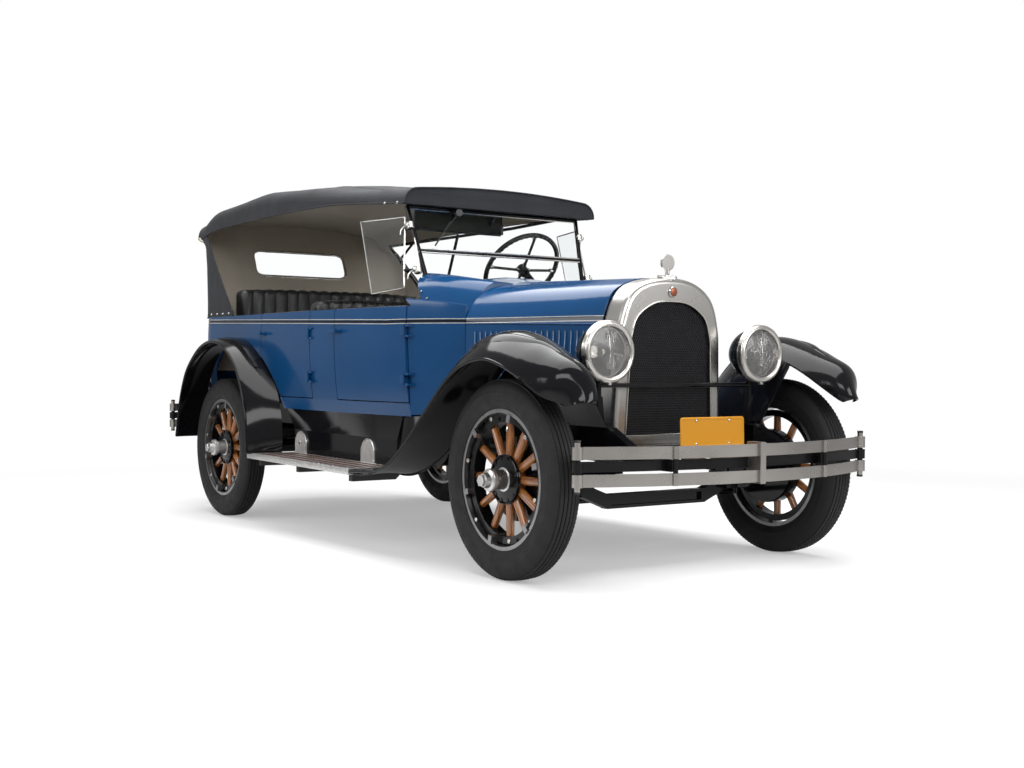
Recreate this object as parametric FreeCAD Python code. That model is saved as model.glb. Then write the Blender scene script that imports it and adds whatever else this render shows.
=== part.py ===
import FreeCAD, Part
import math
import os

# Touring car of the nineteen twenties with folding top, in millimetres.
# X points to the car's left, Y to the rear and Z up. Pieces are laid out from the middle of
# the wheelbase on the ground, and moved at export so that the origin is under the middle of
# the whole car.

V = FreeCAD.Vector
X_AXIS = V(1, 0, 0)
Y_AXIS = V(0, 1, 0)
Z_AXIS = V(0, 0, 1)

# Running gear
wheelbase = 2770.0
track = 1422.0
tyre_radius = 380.6
tyre_width = 134.0
tread_width = 84.0
bead_radius = 257.0
bead_width = 80.0
rim_lip_radius = 266.0
rim_width = 96.0
rim_thickness = 5.0
felloe_outer_radius = 243.0
felloe_inner_radius = 216.0
felloe_width = 52.0
spoke_count = 12
spoke_root_radius = 19.0
spoke_tip_radius = 15.0
hub_barrel_radius = 46.0
hub_flange_radius = 95.0
hub_flange_thickness = 6.0
drum_radius = 160.0
drum_depth = 48.0
drum_wall = 6.0
cap_reach = 123.0
cap_radius = 33.0
cap_collar_radius = 42.0
spindle_radius = 20.0
spindle_reach = 62.0
kingpin_inset = 122.0
kingpin_radius = 11.0
lug_count = 6
running_gap = 0.4
moving_gap = 6.0
seat_gap = 0.3

# Rake of the frame and of the hood line, nose down
frame_rake = 0.812
hood_rake = 2.085

# Frame and springs
rail_x = 385.0
rail_width = 42.0
rail_height = 105.0
rail_wall = 6.0
cross_member_places = (-240.0, 330.0, 1050.0, 1980.0)
front_member_y = -1545.0
front_member_height = 26.0
board_arm_places = (-300.0, 250.0, 700.0)
rail_bottom = 492.0
horn_y = -1745.0
frame_tail_y = 2040.0
cross_member_low = 20.0
cross_member_high = 101.0
outrigger_lift = 40.0
spring_width = 45.0
leaf_thickness = 7.0
leaf_count = 6
front_spring_half = 340.0
front_spring_radius = 2600.0
rear_spring_half = 620.0
rear_spring_radius = 3600.0
rear_spring_x = 470.0
spring_drop = 62.0
beam_bottom = 243.0
beam_height = 58.0
beam_width = 44.0
axle_tube_radius = 38.0

# Body, measured in the frame's own level
sill_z = 597.0
tub_top_z = 1088.0
tub_wall = 30.0
door_bottom_z = 655.0
pillar_half_width = 615.0
tub_half_width = 700.0
tub_back_y = 1960.0
tub_corner_radius = 260.0
turn_under = 26.0
front_door_front_y = -412.0
front_door_rear_y = 167.0
rear_door_front_y = 408.0
rear_door_rear_y = 990.0
door_gap = 5.0
hinge_stand_off = 12.0
hinge_barrel_radius = 6.5
hinge_pin_radius = 3.5
hinge_height = 36.0
hinge_ear = 10.0
hinge_places = (745.0, 960.0)
floor_thickness = 16.0

# Hood, cowl and radiator, measured along the hood line
belt_z = 1026.0
crown_z = 1218.0
cowl_wall = 20.0
cowl_front_y = -634.0
cowl_half_width = 462.0
hood_front_y = -1350.0
hood_front_half_width = 266.0
hood_sheet = 5.0
hood_bottom_z = 690.0
louvre_count = 20
louvre_radius = 5.5
shell_front_y = -1455.0
shell_base_z = 545.0
shell_base_half_width = 288.0
grille_half_width = 229.0
grille_top_half_width = 213.0
grille_top_z = 1124.0
grille_base_z = 585.0
shell_face = 12.0
shell_wall = 14.0

# Fenders and running boards
fender_edge_x = 862.0
fender_sheet = 7.0
board_top_z = 367.0
board_inner_x = 622.0
board_rear_y = 792.0
board_front_y = -345.0
board_seat_y = 728.0
board_seat_depth = 3.0
fender_foot_gap = 2.0
board_thickness = 24.0
kick_plate_places = (650.0, -75.0)
kick_plate_half = 66.0
apron_sheet = 6.0
apron_bend_z = 488.0
valance_drop = 8.0
valance_clear = 4.0

# Bumpers
bumper_end_x = 731.0
bumper_end_y = -1822.0
bumper_nose_y = -1984.0
bumper_upper_z = 525.0
bumper_lower_z = 428.0
bumper_bar_height = 45.0
bumper_bar_thickness = 9.0
bumper_bolt_radius = 11.0
backing_bar_gap = 14.0
rear_bumper_end_y = 2258.0
rear_bumper_nose_y = 2385.0
rear_bumper_lift = 28.0

# Power train
engine_half_width = 190.0
engine_front_y = -1270.0
engine_low_z = 440.0
engine_top_z = 960.0
housing_length = 150.0
housing_radius = 150.0
gearbox_half_width = 85.0
gearbox_half_height = 50.0
shaft_radius = 28.0
lever_radius = 9.0
lever_knob_radius = 22.0
exhaust_x = -250.0
exhaust_drop = 60.0
exhaust_front_y = -1000.0
exhaust_top_z = 540.0
exhaust_radius = 26.0
silencer_radius = 62.0
silencer_front_y = 100.0
silencer_rear_y = 620.0
tail_pipe_end_y = 1040.0
tank_y = 1840.0
tank_z = 470.0
tank_radius = 120.0
tank_half_length = 330.0
tank_strap_x = 250.0
tank_strap_width = 30.0
filler_x = 240.0
filler_radius = 22.0
spare_z = 800.0
spare_gap = 20.0
spare_plate_bore = 150.0
spare_spider_reach = 235.0
spare_spider_half = 30.0
spare_leg_x = 175.0
spare_pin_x = 130.0
spare_pin_z = 700.0
spare_pin_radius = 14.0
tail_lamp_x = -560.0
tail_lamp_y = 2010.0
tail_lamp_z = 690.0
tail_lamp_radius = 44.0
tail_lamp_depth = 62.0
tail_stem_x = -470.0
tail_stem_half = 8.0
engine_rear_y = -720.0
gearbox_rear_y = -262.0
shaft_z = 470.0
lever_foot = V(0, -330, 580)
lever_top = V(-20, -250, 1010)
seat_box_z = 812.0

# Windscreen and top
screen_top_y = -182.0
screen_top_z = 1561.0
screen_top_half_width = 488.0
screen_base_y = -290.0
screen_base_z = 1250.0
screen_base_half_width = 452.0
screen_foot_x = 520.0
screen_foot_y = -425.0
screen_foot_z = 1096.0
divider_z = 1354.0
post_radius = 11.0
glass_thickness = 6.0
wing_corners = (V(500, -185, 1510), V(580, 96, 1506), V(580, -20, 1158), V(521, -220, 1181))
wing_clamp_places = (1470.0, 1262.0)
top_front_y = -262.0
top_rear_y = 2140.0
header_low_z = 1568.0
top_half_width = 640.0
top_sheet = 12.0
bow_places = (-120.0, 560.0, 1130.0)
bow_radius = 12.0
rear_window_half_width = 308.0
rear_window_low_z = 1360.0
rear_window_high_z = 1523.0

# Steering wheel and column
wheel_centre = V(330.0, 62.0, 1325.0)
column_lean = 38.0
column_length = 1130.0
column_radius = 19.0
steering_wheel_radius = 205.0
wheel_hub_depth = 42.0

# Lamps
lamp_x = 400.0
lamp_face_y = -1591.0
lamp_z = 884.0
lamp_radius = 119.0
lamp_depth = 165.0
lens_radius = 97.0

# Every node's shape by name, until all are exported
nodes = {}

front_axle_y = -wheelbase / 2
rear_axle_y = wheelbase / 2
half_track = track / 2


# Helpers
def box(x0, x1, y0, y1, z0, z1):
    """A box between two corners."""
    return Part.makeBox(abs(x1 - x0), abs(y1 - y0), abs(z1 - z0),
                        V(min(x0, x1), min(y0, y1), min(z0, z1)))


def rod(a, b, radius):
    """A round bar between two points."""
    axis = b - a
    return Part.makeCylinder(radius, axis.Length, a, axis)


def bar(a, b, width, height):
    """A rectangular bar between two points, its width along X where it can be."""
    axis = b - a
    shape = Part.makeBox(width, height, axis.Length, V(-width / 2, -height / 2, 0))
    side = X_AXIS if abs(axis.x) < 0.9 * axis.Length else Y_AXIS
    up = axis.cross(side)
    turn = FreeCAD.Rotation(side, up, axis, "ZXY")
    shape.Placement = FreeCAD.Placement(a, turn)
    return shape


def fuse(shapes):
    """One solid from pieces that touch."""
    whole = shapes[0]
    for other in shapes[1:]:
        whole = whole.fuse(other)
    return whole.removeSplitter()


def mirrored(shape):
    """The same piece on the other side of the car."""
    return shape.mirror(V(0, 0, 0), X_AXIS)


def both(shape):
    """A piece and its mirror image, left apart."""
    return Part.makeCompound([shape, mirrored(shape)])


def polygon(points):
    """A flat face from corner points."""
    return Part.Face(Part.makePolygon([*points, points[0]]))


def raked(shape, degrees):
    """A sprung piece, turned nose down with the frame or the hood line."""
    turned = shape.copy()
    turned.rotate(V(0, 0, 0), X_AXIS, degrees)
    return turned


def export():
    """Writes every node, moved so that the origin is midway between the two bumpers."""
    front = nodes["front_bumper"].optimalBoundingBox(False).YMin
    rear = nodes["rear_bumper"].optimalBoundingBox(False).YMax
    to_origin = V(0, -(front + rear) / 2, 0)
    for name, shape in nodes.items():
        moved = shape.copy()
        moved.translate(to_origin)
        moved.exportStep("parts/" + name + ".step")
    print("moved to the origin by", round(to_origin.y, 3))


def ring(profile):
    """A solid of revolution about X from points of (radius, x)."""
    face = polygon([V(x, 0, r) for r, x in profile])
    return face.revolve(V(0, 0, 0), X_AXIS, 360)


# Wheels, built about the X axis with the outboard side on +X
def tyre():
    outline = [(bead_radius, -bead_width / 2), (bead_radius + 62, -tyre_width / 2),
               (tyre_radius, -tread_width / 2), (tyre_radius, tread_width / 2),
               (bead_radius + 62, tyre_width / 2), (bead_radius, bead_width / 2)]
    return ring(outline)


def rim():
    half = rim_width / 2
    inner = bead_radius - rim_thickness - seat_gap
    outline = [(inner, -half), (rim_lip_radius, -half), (rim_lip_radius, -half + 3),
               (bead_radius - seat_gap, -half + 3), (bead_radius - seat_gap, half - 3),
               (rim_lip_radius, half - 3), (rim_lip_radius, half), (inner, half)]
    solid = ring(outline)
    lugs = []
    for i in range(lug_count):
        lug = box(felloe_width / 2 - 2, half + 6, -11, 11, felloe_outer_radius - 20, inner + 2)
        lug = lug.cut(box(-50, felloe_width / 2 + 0.2, -20, 20, 0, felloe_outer_radius + seat_gap))
        nut = Part.makeCylinder(8, 12, V(felloe_width / 2 + 6, 0, felloe_outer_radius - 10), X_AXIS)
        lug = lug.fuse(nut)
        lug.rotate(V(0, 0, 0), X_AXIS, 15 + i * 360 / lug_count)
        lugs.append(lug)
    return fuse([solid, *lugs])


def felloe():
    half = felloe_width / 2
    return ring([(felloe_inner_radius, -half), (felloe_outer_radius, -half),
                 (felloe_outer_radius, half), (felloe_inner_radius, half)])


def hub():
    back = -hub_barrel_radius - drum_depth + 22
    bore = spindle_radius + running_gap
    drum_face = -spoke_root_radius - hub_flange_thickness
    outline = [(bore, back), (hub_barrel_radius, back), (hub_barrel_radius, drum_face - 4),
               (drum_radius - drum_wall, drum_face - 4), (drum_radius - drum_wall, drum_face - drum_depth),
               (drum_radius, drum_face - drum_depth), (drum_radius, drum_face),
               (hub_barrel_radius, drum_face), (hub_barrel_radius, spoke_root_radius),
               (hub_flange_radius, spoke_root_radius),
               (hub_flange_radius, spoke_root_radius + hub_flange_thickness),
               (cap_radius + 6, spoke_root_radius + hub_flange_thickness + 10),
               (cap_radius, cap_reach - 44), (cap_collar_radius, cap_reach - 40),
               (cap_collar_radius, cap_reach - 22), (cap_radius - 3, cap_reach - 18),
               (cap_radius - 7, cap_reach), (0, cap_reach), (0, spindle_reach + 3),
               (bore, spindle_reach + 3)]
    return ring(outline)


def spokes():
    pieces = [ring([(hub_barrel_radius + seat_gap, -spoke_root_radius + seat_gap),
                    (78, -spoke_root_radius + seat_gap), (78, spoke_root_radius - seat_gap),
                    (hub_barrel_radius + seat_gap, spoke_root_radius - seat_gap)])]
    start = 70.0
    for i in range(spoke_count):
        length = felloe_inner_radius - seat_gap - start
        spoke = Part.makeCone(spoke_root_radius - 1, spoke_tip_radius, length - 2 * seat_gap, V(0, 0, start))
        spoke.rotate(V(0, 0, 0), X_AXIS, i * 360 / spoke_count)
        pieces.append(spoke)
    return fuse(pieces)


def wheel_sets():
    places = {"fl": (half_track, front_axle_y), "rl": (half_track, rear_axle_y)}
    tools = {"tyre": tyre(), "spokes": spokes(),
             "hub": Part.makeCompound([rim(), felloe(), hub()])}
    for corner, (x, y) in places.items():
        for kind, shape in tools.items():
            left = shape.copy()
            left.translate(V(x, y, tyre_radius))
            nodes[kind + "_" + corner] = left
            nodes[kind + "_" + corner[0] + "r"] = mirrored(left)


# Front axle, knuckles and tie rod
kingpin_x = half_track - kingpin_inset
boss_radius = 24.0
knuckle_gap = 3.0
arm_rear = 150.0
tie_rod_z = tyre_radius - 92.0


def front_axle():
    """A dropped beam of I section with a boss round each kingpin."""
    middle = box(-260, 260, -beam_width / 2, beam_width / 2, beam_bottom, beam_bottom + beam_height)
    for side in (-1, 1):
        groove = box(-240, 240, side * 7, side * (beam_width / 2 + 1),
                     beam_bottom + 12, beam_bottom + beam_height - 12)
        middle = middle.cut(groove)
    pieces = [middle]
    for side in (-1, 1):
        top = beam_bottom + beam_height
        end_top = tyre_radius + 26
        end_bottom = tyre_radius - 26
        rise = polygon([V(side * 255, -beam_width / 2, beam_bottom), V(side * 255, -beam_width / 2, top),
                        V(side * (kingpin_x - 60), -beam_width / 2, end_top),
                        V(side * kingpin_x, -beam_width / 2, end_top),
                        V(side * kingpin_x, -beam_width / 2, end_bottom),
                        V(side * (kingpin_x - 60), -beam_width / 2, end_bottom)])
        pieces.append(rise.extrude(V(0, beam_width, 0)))
        pieces.append(Part.makeCylinder(boss_radius, 52, V(side * kingpin_x, 0, tyre_radius - 26)))
    beam = fuse(pieces)
    for side in (-1, 1):
        hole = Part.makeCylinder(kingpin_radius + running_gap, 300, V(side * kingpin_x, 0, tyre_radius - 150))
        beam = beam.cut(hole)
    for side in (-1, 1):
        seat = box(side * rail_x - 32, side * rail_x + 32, -55, 55,
                   beam_bottom + beam_height - 2, spring_seat_z(front_axle_y))
        beam = beam.fuse(seat)
    beam = beam.removeSplitter()
    beam.translate(V(0, front_axle_y, 0))
    return beam


def knuckle():
    """Left knuckle: a yoke above and below the axle boss, spindle, backing plate and arm."""
    x = kingpin_x
    low = tyre_radius - 26 - knuckle_gap
    high = tyre_radius + 26 + knuckle_gap
    pieces = [Part.makeCylinder(boss_radius, 24, V(x, 0, low - 24)),
              Part.makeCylinder(boss_radius, 24, V(x, 0, high)),
              Part.makeCylinder(kingpin_radius, high - low + 40, V(x, 0, low - 20))]
    yoke_x = x + boss_radius + moving_gap
    pieces.append(box(x, yoke_x + 14, -22, 22, high, high + 24))
    pieces.append(box(x, yoke_x + 14, -22, 22, low - 24, low))
    pieces.append(box(yoke_x, yoke_x + 14, -22, 22, low - 24, high + 24))
    plate_x = half_track - spoke_root_radius - hub_flange_thickness - drum_depth - moving_gap
    pieces.append(rod(V(yoke_x, 0, tyre_radius), V(plate_x + 4, 0, tyre_radius), hub_barrel_radius - 6))
    pieces.append(rod(V(plate_x - 4, 0, tyre_radius), V(plate_x, 0, tyre_radius), drum_radius - 4))
    pieces.append(rod(V(plate_x - 2, 0, tyre_radius),
                      V(half_track + spindle_reach, 0, tyre_radius), spindle_radius))
    eye = V(x, arm_rear, tie_rod_z)
    pieces.append(bar(V(x, 0, low - 12), V(x, 60, tie_rod_z), 26, 18))
    pieces.append(bar(V(x, 56, tie_rod_z), eye, 24, 16))
    pieces.append(Part.makeCylinder(16, 20, eye - V(0, 0, 10)))
    body = fuse(pieces)
    body = body.cut(Part.makeCylinder(7 + running_gap, 40, eye - V(0, 0, 20)))
    body.translate(V(0, front_axle_y, 0))
    return body


def tie_rod():
    reach = kingpin_x
    y = front_axle_y + arm_rear
    z = tie_rod_z - 26
    pieces = [rod(V(-reach, y, z), V(reach, y, z), 12)]
    for side in (-1, 1):
        pieces.append(Part.makeCylinder(7, 38, V(side * reach, y, z)))
        pieces.append(Part.makeCylinder(15, 24, V(side * reach, y, z - 12)))
    return fuse(pieces)


def rear_axle():
    """Banjo housing with tubes, spring seats and a backing plate at each end."""
    plate_x = half_track - spoke_root_radius - hub_flange_thickness - drum_depth - moving_gap
    pieces = [rod(V(-plate_x, 0, tyre_radius), V(plate_x, 0, tyre_radius), axle_tube_radius)]
    housing = Part.makeSphere(150, V(0, 0, tyre_radius))
    housing = housing.common(box(-95, 95, -150, 150, 0, 900))
    pieces.append(housing)
    for side in (-1, 1):
        pieces.append(rod(V(side * (plate_x - 4), 0, tyre_radius), V(side * plate_x, 0, tyre_radius),
                          drum_radius - 4))
        pieces.append(rod(V(side * plate_x, 0, tyre_radius),
                          V(side * (half_track + spindle_reach), 0, tyre_radius), spindle_radius))
        pieces.append(box(side * rear_spring_x - 32, side * rear_spring_x + 32, -55, 55,
                          tyre_radius, spring_seat_z(rear_axle_y)))
    axle = fuse(pieces)
    axle.translate(V(0, rear_axle_y, 0))
    return axle


# Leaf springs: concentric leaves, shorter ones below, hung under the rails
def spring_seat_z(axle_y):
    """Height of a spring's lowest leaf at its axle."""
    if axle_y > 0:
        return tyre_radius + axle_tube_radius + seat_gap
    return rail_bottom_at(axle_y) - spring_drop - leaf_count * leaf_thickness


def rail_bottom_at(y):
    """Height of the rail's lower face over the ground, with the frame's rake."""
    return over_ground(y, rail_bottom)


def over_ground(y, z):
    """Height over the ground of a place laid out level on the frame."""
    return z * math.cos(math.radians(frame_rake)) + y * math.sin(math.radians(frame_rake))


def leaf_spring(x, axle_y, half_length, bend):
    """A pack of leaves curved upwards at the ends."""
    base = spring_seat_z(axle_y)
    leaves = []
    for i in range(leaf_count):
        reach = half_length * (1 - i / (leaf_count + 1))
        top = base + (leaf_count - i) * leaf_thickness
        radius = bend + i * leaf_thickness
        centre_z = top - leaf_thickness + radius
        angle = math.asin(reach / radius)
        outer = [V(x, axle_y + radius * math.sin(t), centre_z - radius * math.cos(t))
                 for t in (-angle, 0, angle)]
        inner_radius = radius - leaf_thickness
        inner = [V(x, axle_y + inner_radius * math.sin(t), centre_z - inner_radius * math.cos(t))
                 for t in (angle, 0, -angle)]
        edges = [Part.Arc(*outer).toShape(), Part.LineSegment(outer[2], inner[0]).toShape(),
                 Part.Arc(*inner).toShape(), Part.LineSegment(inner[2], outer[0]).toShape()]
        face = Part.Face(Part.Wire(edges))
        face.translate(V(-spring_width / 2, 0, 0))
        leaves.append(face.extrude(V(spring_width, 0, 0)))
    return fuse(leaves)


def leaf_springs():
    """Four springs with eyes, shackles up to the frame and clamps round the axles."""
    springs = []
    eye_radius = 15.0
    for x, axle_y, half, bend in ((rail_x, front_axle_y, front_spring_half, front_spring_radius),
                                  (rear_spring_x, rear_axle_y, rear_spring_half, rear_spring_radius)):
        pieces = [leaf_spring(x, axle_y, half, bend)]
        base = spring_seat_z(axle_y)
        stack = leaf_count * leaf_thickness
        end_z = base + stack + bend - math.sqrt(bend**2 - half**2)
        for way in (-1, 1):
            eye_y = axle_y + way * half
            pieces.append(Part.makeCylinder(eye_radius, spring_width, V(x - spring_width / 2, eye_y, end_z), X_AXIS))
            hanger = over_ground(eye_y, rail_bottom + (outrigger_lift if axle_y > 0 else 0))
            if axle_y > 0 or way > 0:
                pieces.append(box(x - 16, x + 16, eye_y - 11, eye_y + 11, end_z, hanger - 2 * seat_gap))
        for clamp_y in (axle_y - 42, axle_y + 42):
            pieces.append(box(x - 30, x + 30, clamp_y - 7, clamp_y + 7, base, base + stack + 10))
        springs.append(fuse(pieces))
    return Part.makeCompound([springs[0], mirrored(springs[0]), springs[1], mirrored(springs[1])])


# Frame: channel rails with cross members and curved horns
def frame():
    """Inward-facing channel rails with curved horns, cross members, outriggers and board arms."""
    pieces = []
    half = rail_width / 2
    top = rail_bottom + rail_height
    straight_y = horn_y + 165
    for side in (-1, 1):
        x = side * rail_x
        outer = box(x - half, x + half, straight_y - 5, frame_tail_y, rail_bottom, top)
        hollow = box(x - side * (half + 1), x + side * (half - rail_wall), straight_y + 5, frame_tail_y - 10,
                     rail_bottom + rail_wall, top - rail_wall)
        pieces.append(outer.cut(hollow))
        horn = polygon([V(x - half, horn_y, rail_bottom - 22), V(x - half, horn_y, rail_bottom + 22),
                        V(x - half, straight_y, top), V(x - half, straight_y, rail_bottom)])
        pieces.append(horn.extrude(V(rail_width, 0, 0)))
        pieces.append(Part.makeCylinder(22, rail_width, V(x - half, horn_y, rail_bottom), X_AXIS))
        for y0, y1 in ((rear_axle_y - rear_spring_half - 50, rear_axle_y - rear_spring_half + 50),
                       (rear_axle_y + rear_spring_half - 40, frame_tail_y)):
            pieces.append(box(x + side * (half - 1), side * (rear_spring_x + 26), y0, y1,
                              rail_bottom + outrigger_lift, top - 7))
        for y in board_arm_places:
            pieces.append(board_arm(side, y))
    for y in cross_member_places:
        pieces.append(box(-rail_x + 10, rail_x - 10, y, y + 60,
                          rail_bottom + cross_member_low, rail_bottom + cross_member_high))
    pieces.append(box(-rail_x + 10, rail_x - 10, front_member_y, front_member_y + 60,
                      rail_bottom + 1, rail_bottom + 1 + front_member_height))
    return raked(fuse(pieces), frame_rake)


def board_arm(side, y):
    """A flat arm from a rail out under the running board."""
    under = board_top_z - board_thickness - seat_gap
    root = side * (rail_x + 10)
    arm = polygon([V(root, y, rail_bottom + 70), V(root, y, rail_bottom + 8),
                   V(side * (board_inner_x - 20), y, under - 34), V(side * (fender_edge_x - 40), y, under - 34),
                   V(side * (fender_edge_x - 40), y, under), V(side * (board_inner_x - 22), y, under)])
    return arm.extrude(V(0, 34, 0))


# Fenders: stations of outer edge, crown and inner edge, with a smooth skin through their arcs
def line_through(points, marks):
    """A smooth curve through points, with the same marks on each line of a sheet."""
    curve = Part.BSplineCurve()
    curve.interpolate(Points=points, Parameters=marks)
    return curve


def fender_lines(stations):
    """The marks of a fender's stations, and its outer, crown and inner lines."""
    marks = [0.0]
    for before, after in zip(stations, stations[1:]):
        marks.append(marks[-1] + sum((q - p).Length for p, q in zip(before, after)) / 3)
    return marks, [line_through(list(points), marks) for points in zip(*stations)]


def crowned_sheet(stations, sheet, rows=26, across=9):
    """A curved sheet through three-point arcs, with its thickness taken inwards."""
    marks, (outer_line, crown_line, inner_line) = fender_lines(stations)
    skin = []
    lining = []
    for i in range(rows):
        mark = marks[-1] * i / (rows - 1)
        run = crown_line.tangent(mark)[0]
        inward = V(0, run.z, -run.y)
        inward.normalize()
        arc = Part.Arc(outer_line.value(mark), crown_line.value(mark), inner_line.value(mark))
        first, last = arc.FirstParameter, arc.LastParameter
        row = [arc.value(first + (last - first) * k / (across - 1)) for k in range(across)]
        skin.append(row)
        lining.append([point + inward * sheet for point in row])
    faces = []
    for grid in (skin, lining):
        surface = Part.BSplineSurface()
        surface.interpolate(grid)
        faces.append(surface.toShape())
    rims = [Part.makeRuledSurface(a, b, 1) for a, b in zip(faces[0].Edges, faces[1].Edges)]
    shell = Part.makeShell([*faces, *rims])
    shell.sewShape()
    solid = Part.makeSolid(shell)
    if solid.Volume < 0:
        solid.reverse()
    return solid


def front_fender_stations():
    """Stations of the left front fender, from the running board over the wheel to the nose."""
    x = fender_edge_x
    front = front_axle_y + 5.0
    low = board_top_z - 14.0
    return [
        (V(x, board_front_y - 0.5, low), V(770, board_front_y - 0.5, low + 7), V(640, board_front_y - 0.5, low)),
        (V(x, front + 754, 385), V(770, front + 740, 400), V(630, front + 740, 392)),
        (V(x, front + 585, 479), V(775, front + 566, 507), V(622, front + 560, 500)),
        (V(x, front + 424, 609), V(785, front + 392, 652), V(612, front + 385, 640)),
        (V(x, front + 270, 738), V(795, front + 268, 790), V(602, front + 262, 770)),
        (V(x, front + 180, 798), V(798, front + 165, 872), V(590, front + 165, 848)),
        (V(x, front + 80, 836), V(798, front + 75, 914), V(572, front + 75, 890)),
        (V(x, front - 37, 849), V(786, front - 45, 929), V(560, front - 40, 902)),
        (V(x, front - 150, 826), V(752, front - 155, 918), V(552, front - 120, 872)),
        (V(x - 10, front - 255, 782), V(708, front - 230, 898), V(560, front - 210, 836)),
        (V(x - 44, front - 320, 728), V(696, front - 315, 862), V(586, front - 310, 776)),
        (V(x - 92, front - 372, 700), V(686, front - 405, 806), V(626, front - 400, 706)),
        (V(x - 127, front - 405, 690), V(680, front - 448, 700), V(650, front - 432, 692)),
    ]


def front_fenders():
    """Front fenders, from the running board over the wheel to the rounded nose."""
    sheet = crowned_sheet(front_fender_stations(), fender_sheet)
    return raked(both(sheet), frame_rake)


def rear_fender_stations():
    """Stations of the left rear fender, from the running board round the wheel to the tail."""
    x = fender_edge_x
    axle = rear_axle_y + 5.0
    body = tub_half_width - 8.0
    foot_z = board_top_z - board_seat_depth + fender_foot_gap
    return [
        (V(x, axle - 590, foot_z), V(790, axle - 610, foot_z), V(body, axle - 650, foot_z)),
        (V(x, axle - 566, 556), V(790, axle - 596, 556), V(body, axle - 640, 556)),
        (V(x, axle - 497, 706), V(790, axle - 532, 708), V(body, axle - 568, 704)),
        (V(x, axle - 388, 836), V(790, axle - 400, 853), V(body, axle - 404, 850)),
        (V(x, axle - 250, 914), V(790, axle - 253, 936), V(body, axle - 250, 932)),
        (V(x, axle - 90, 942), V(790, axle - 80, 966), V(body, axle - 70, 962)),
        (V(x, axle + 90, 905), V(790, axle + 110, 934), V(body, axle + 110, 930)),
        (V(x, axle + 268, 796), V(790, axle + 300, 812), V(body, axle + 300, 808)),
        (V(x, axle + 352, 687), V(790, axle + 385, 692), V(body, axle + 384, 690)),
        (V(x, axle + 405, 568), V(790, axle + 432, 568), V(body, axle + 430, 568)),
        (V(x, axle + 452, 400), V(790, axle + 475, 400), V(body, axle + 470, 400)),
    ]


def rear_fenders():
    sheet = crowned_sheet(rear_fender_stations(), fender_sheet)
    return raked(both(sheet), frame_rake)


def running_boards():
    """Board with a seat for the fender's foot and two arched kick plates along its inner edge."""
    board = box(board_inner_x, fender_edge_x, board_front_y, board_rear_y,
                board_top_z - board_thickness, board_top_z)
    board = board.cut(box(board_inner_x - 1, fender_edge_x + 1, board_seat_y, board_rear_y + 1,
                          board_top_z - board_seat_depth, board_top_z + 1))
    for y in kick_plate_places:
        plate = box(board_inner_x, board_inner_x + 5, y - kick_plate_half, y + kick_plate_half,
                    board_top_z - 1, board_top_z + 50)
        arch = Part.makeCylinder(kick_plate_half, 5, V(board_inner_x, y, board_top_z + 50), X_AXIS)
        board = fuse([board, plate, arch])
    return raked(both(board), frame_rake)


def aprons():
    """Splash aprons from the sill to the board, and valances from frame and hood to the fenders."""
    outer_foot = board_inner_x - seat_gap
    sections = []
    for y in (board_front_y, -100.0, 200.0, 735.0):
        sill = side_x(y) - turn_under - 8
        points = [V(sill, y, sill_z - seat_gap), V(sill - apron_sheet, y, sill_z - seat_gap),
                  V(outer_foot - apron_sheet, y, apron_bend_z),
                  V(outer_foot - apron_sheet, y, board_top_z - board_thickness),
                  V(outer_foot, y, board_top_z - board_thickness), V(outer_foot, y, apron_bend_z)]
        sections.append(Part.makePolygon([*points, points[0]]))
    apron = Part.makeLoft(sections, True, True)
    marks, (outer_line, crown_line, inner_line) = fender_lines(front_fender_stations())
    count = 22
    inner_edge = [inner_line.value(marks[9] * i / count) - V(valance_clear, 0, 0) for i in range(count + 1)]
    rail_top = rail_bottom + rail_height + valance_drop + seat_gap
    frame_edge = [V(590, board_front_y - 0.5, sill_z - 8), V(581, -420, rail_top - 8), V(534, -540, rail_top - 5),
                  V(455, -690, rail_top), V(rail_x + 30, -950, rail_top), V(rail_x + 22, -1250, rail_top),
                  V(rail_x + 22, -1575, rail_top)]
    upper = Part.BSplineCurve()
    upper.interpolate(frame_edge)
    quads = []
    for i, low in enumerate(inner_edge):
        share = i / (len(inner_edge) - 1)
        high = upper.value(upper.FirstParameter + share * (upper.LastParameter - upper.FirstParameter))
        drop = V(0, 0, valance_drop)
        quads.append(Part.makePolygon([low, high, high - drop, low - drop, low]))
    valance = Part.makeLoft(quads, True, False)
    return raked(Part.makeCompound([both(apron), both(valance)]), frame_rake)


def hood_ledges():
    """Ledges on the frame under the side leaves of the hood."""
    y0 = hood_front_y + 1
    y1 = cowl_front_y - 1
    low = 631.0
    inner = 20.0
    ledge = polygon([V(hood_front_half_width + 4, y0, low), V(cowl_half_width + 4, y1, low),
                     V(cowl_half_width - inner, y1, low), V(hood_front_half_width - inner, y0, low)])
    ledge = ledge.extrude(V(0, 0, hood_bottom_z - moving_gap - low))
    shelf = polygon([V(hood_front_half_width - inner, y0, low), V(rail_x + 24, y0, low),
                     V(cowl_half_width + 4, y1, low), V(cowl_half_width - inner, y1, low)])
    shelf = shelf.extrude(V(0, 0, 6))
    return raked(both(fuse([ledge, shelf])), hood_rake)


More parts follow.
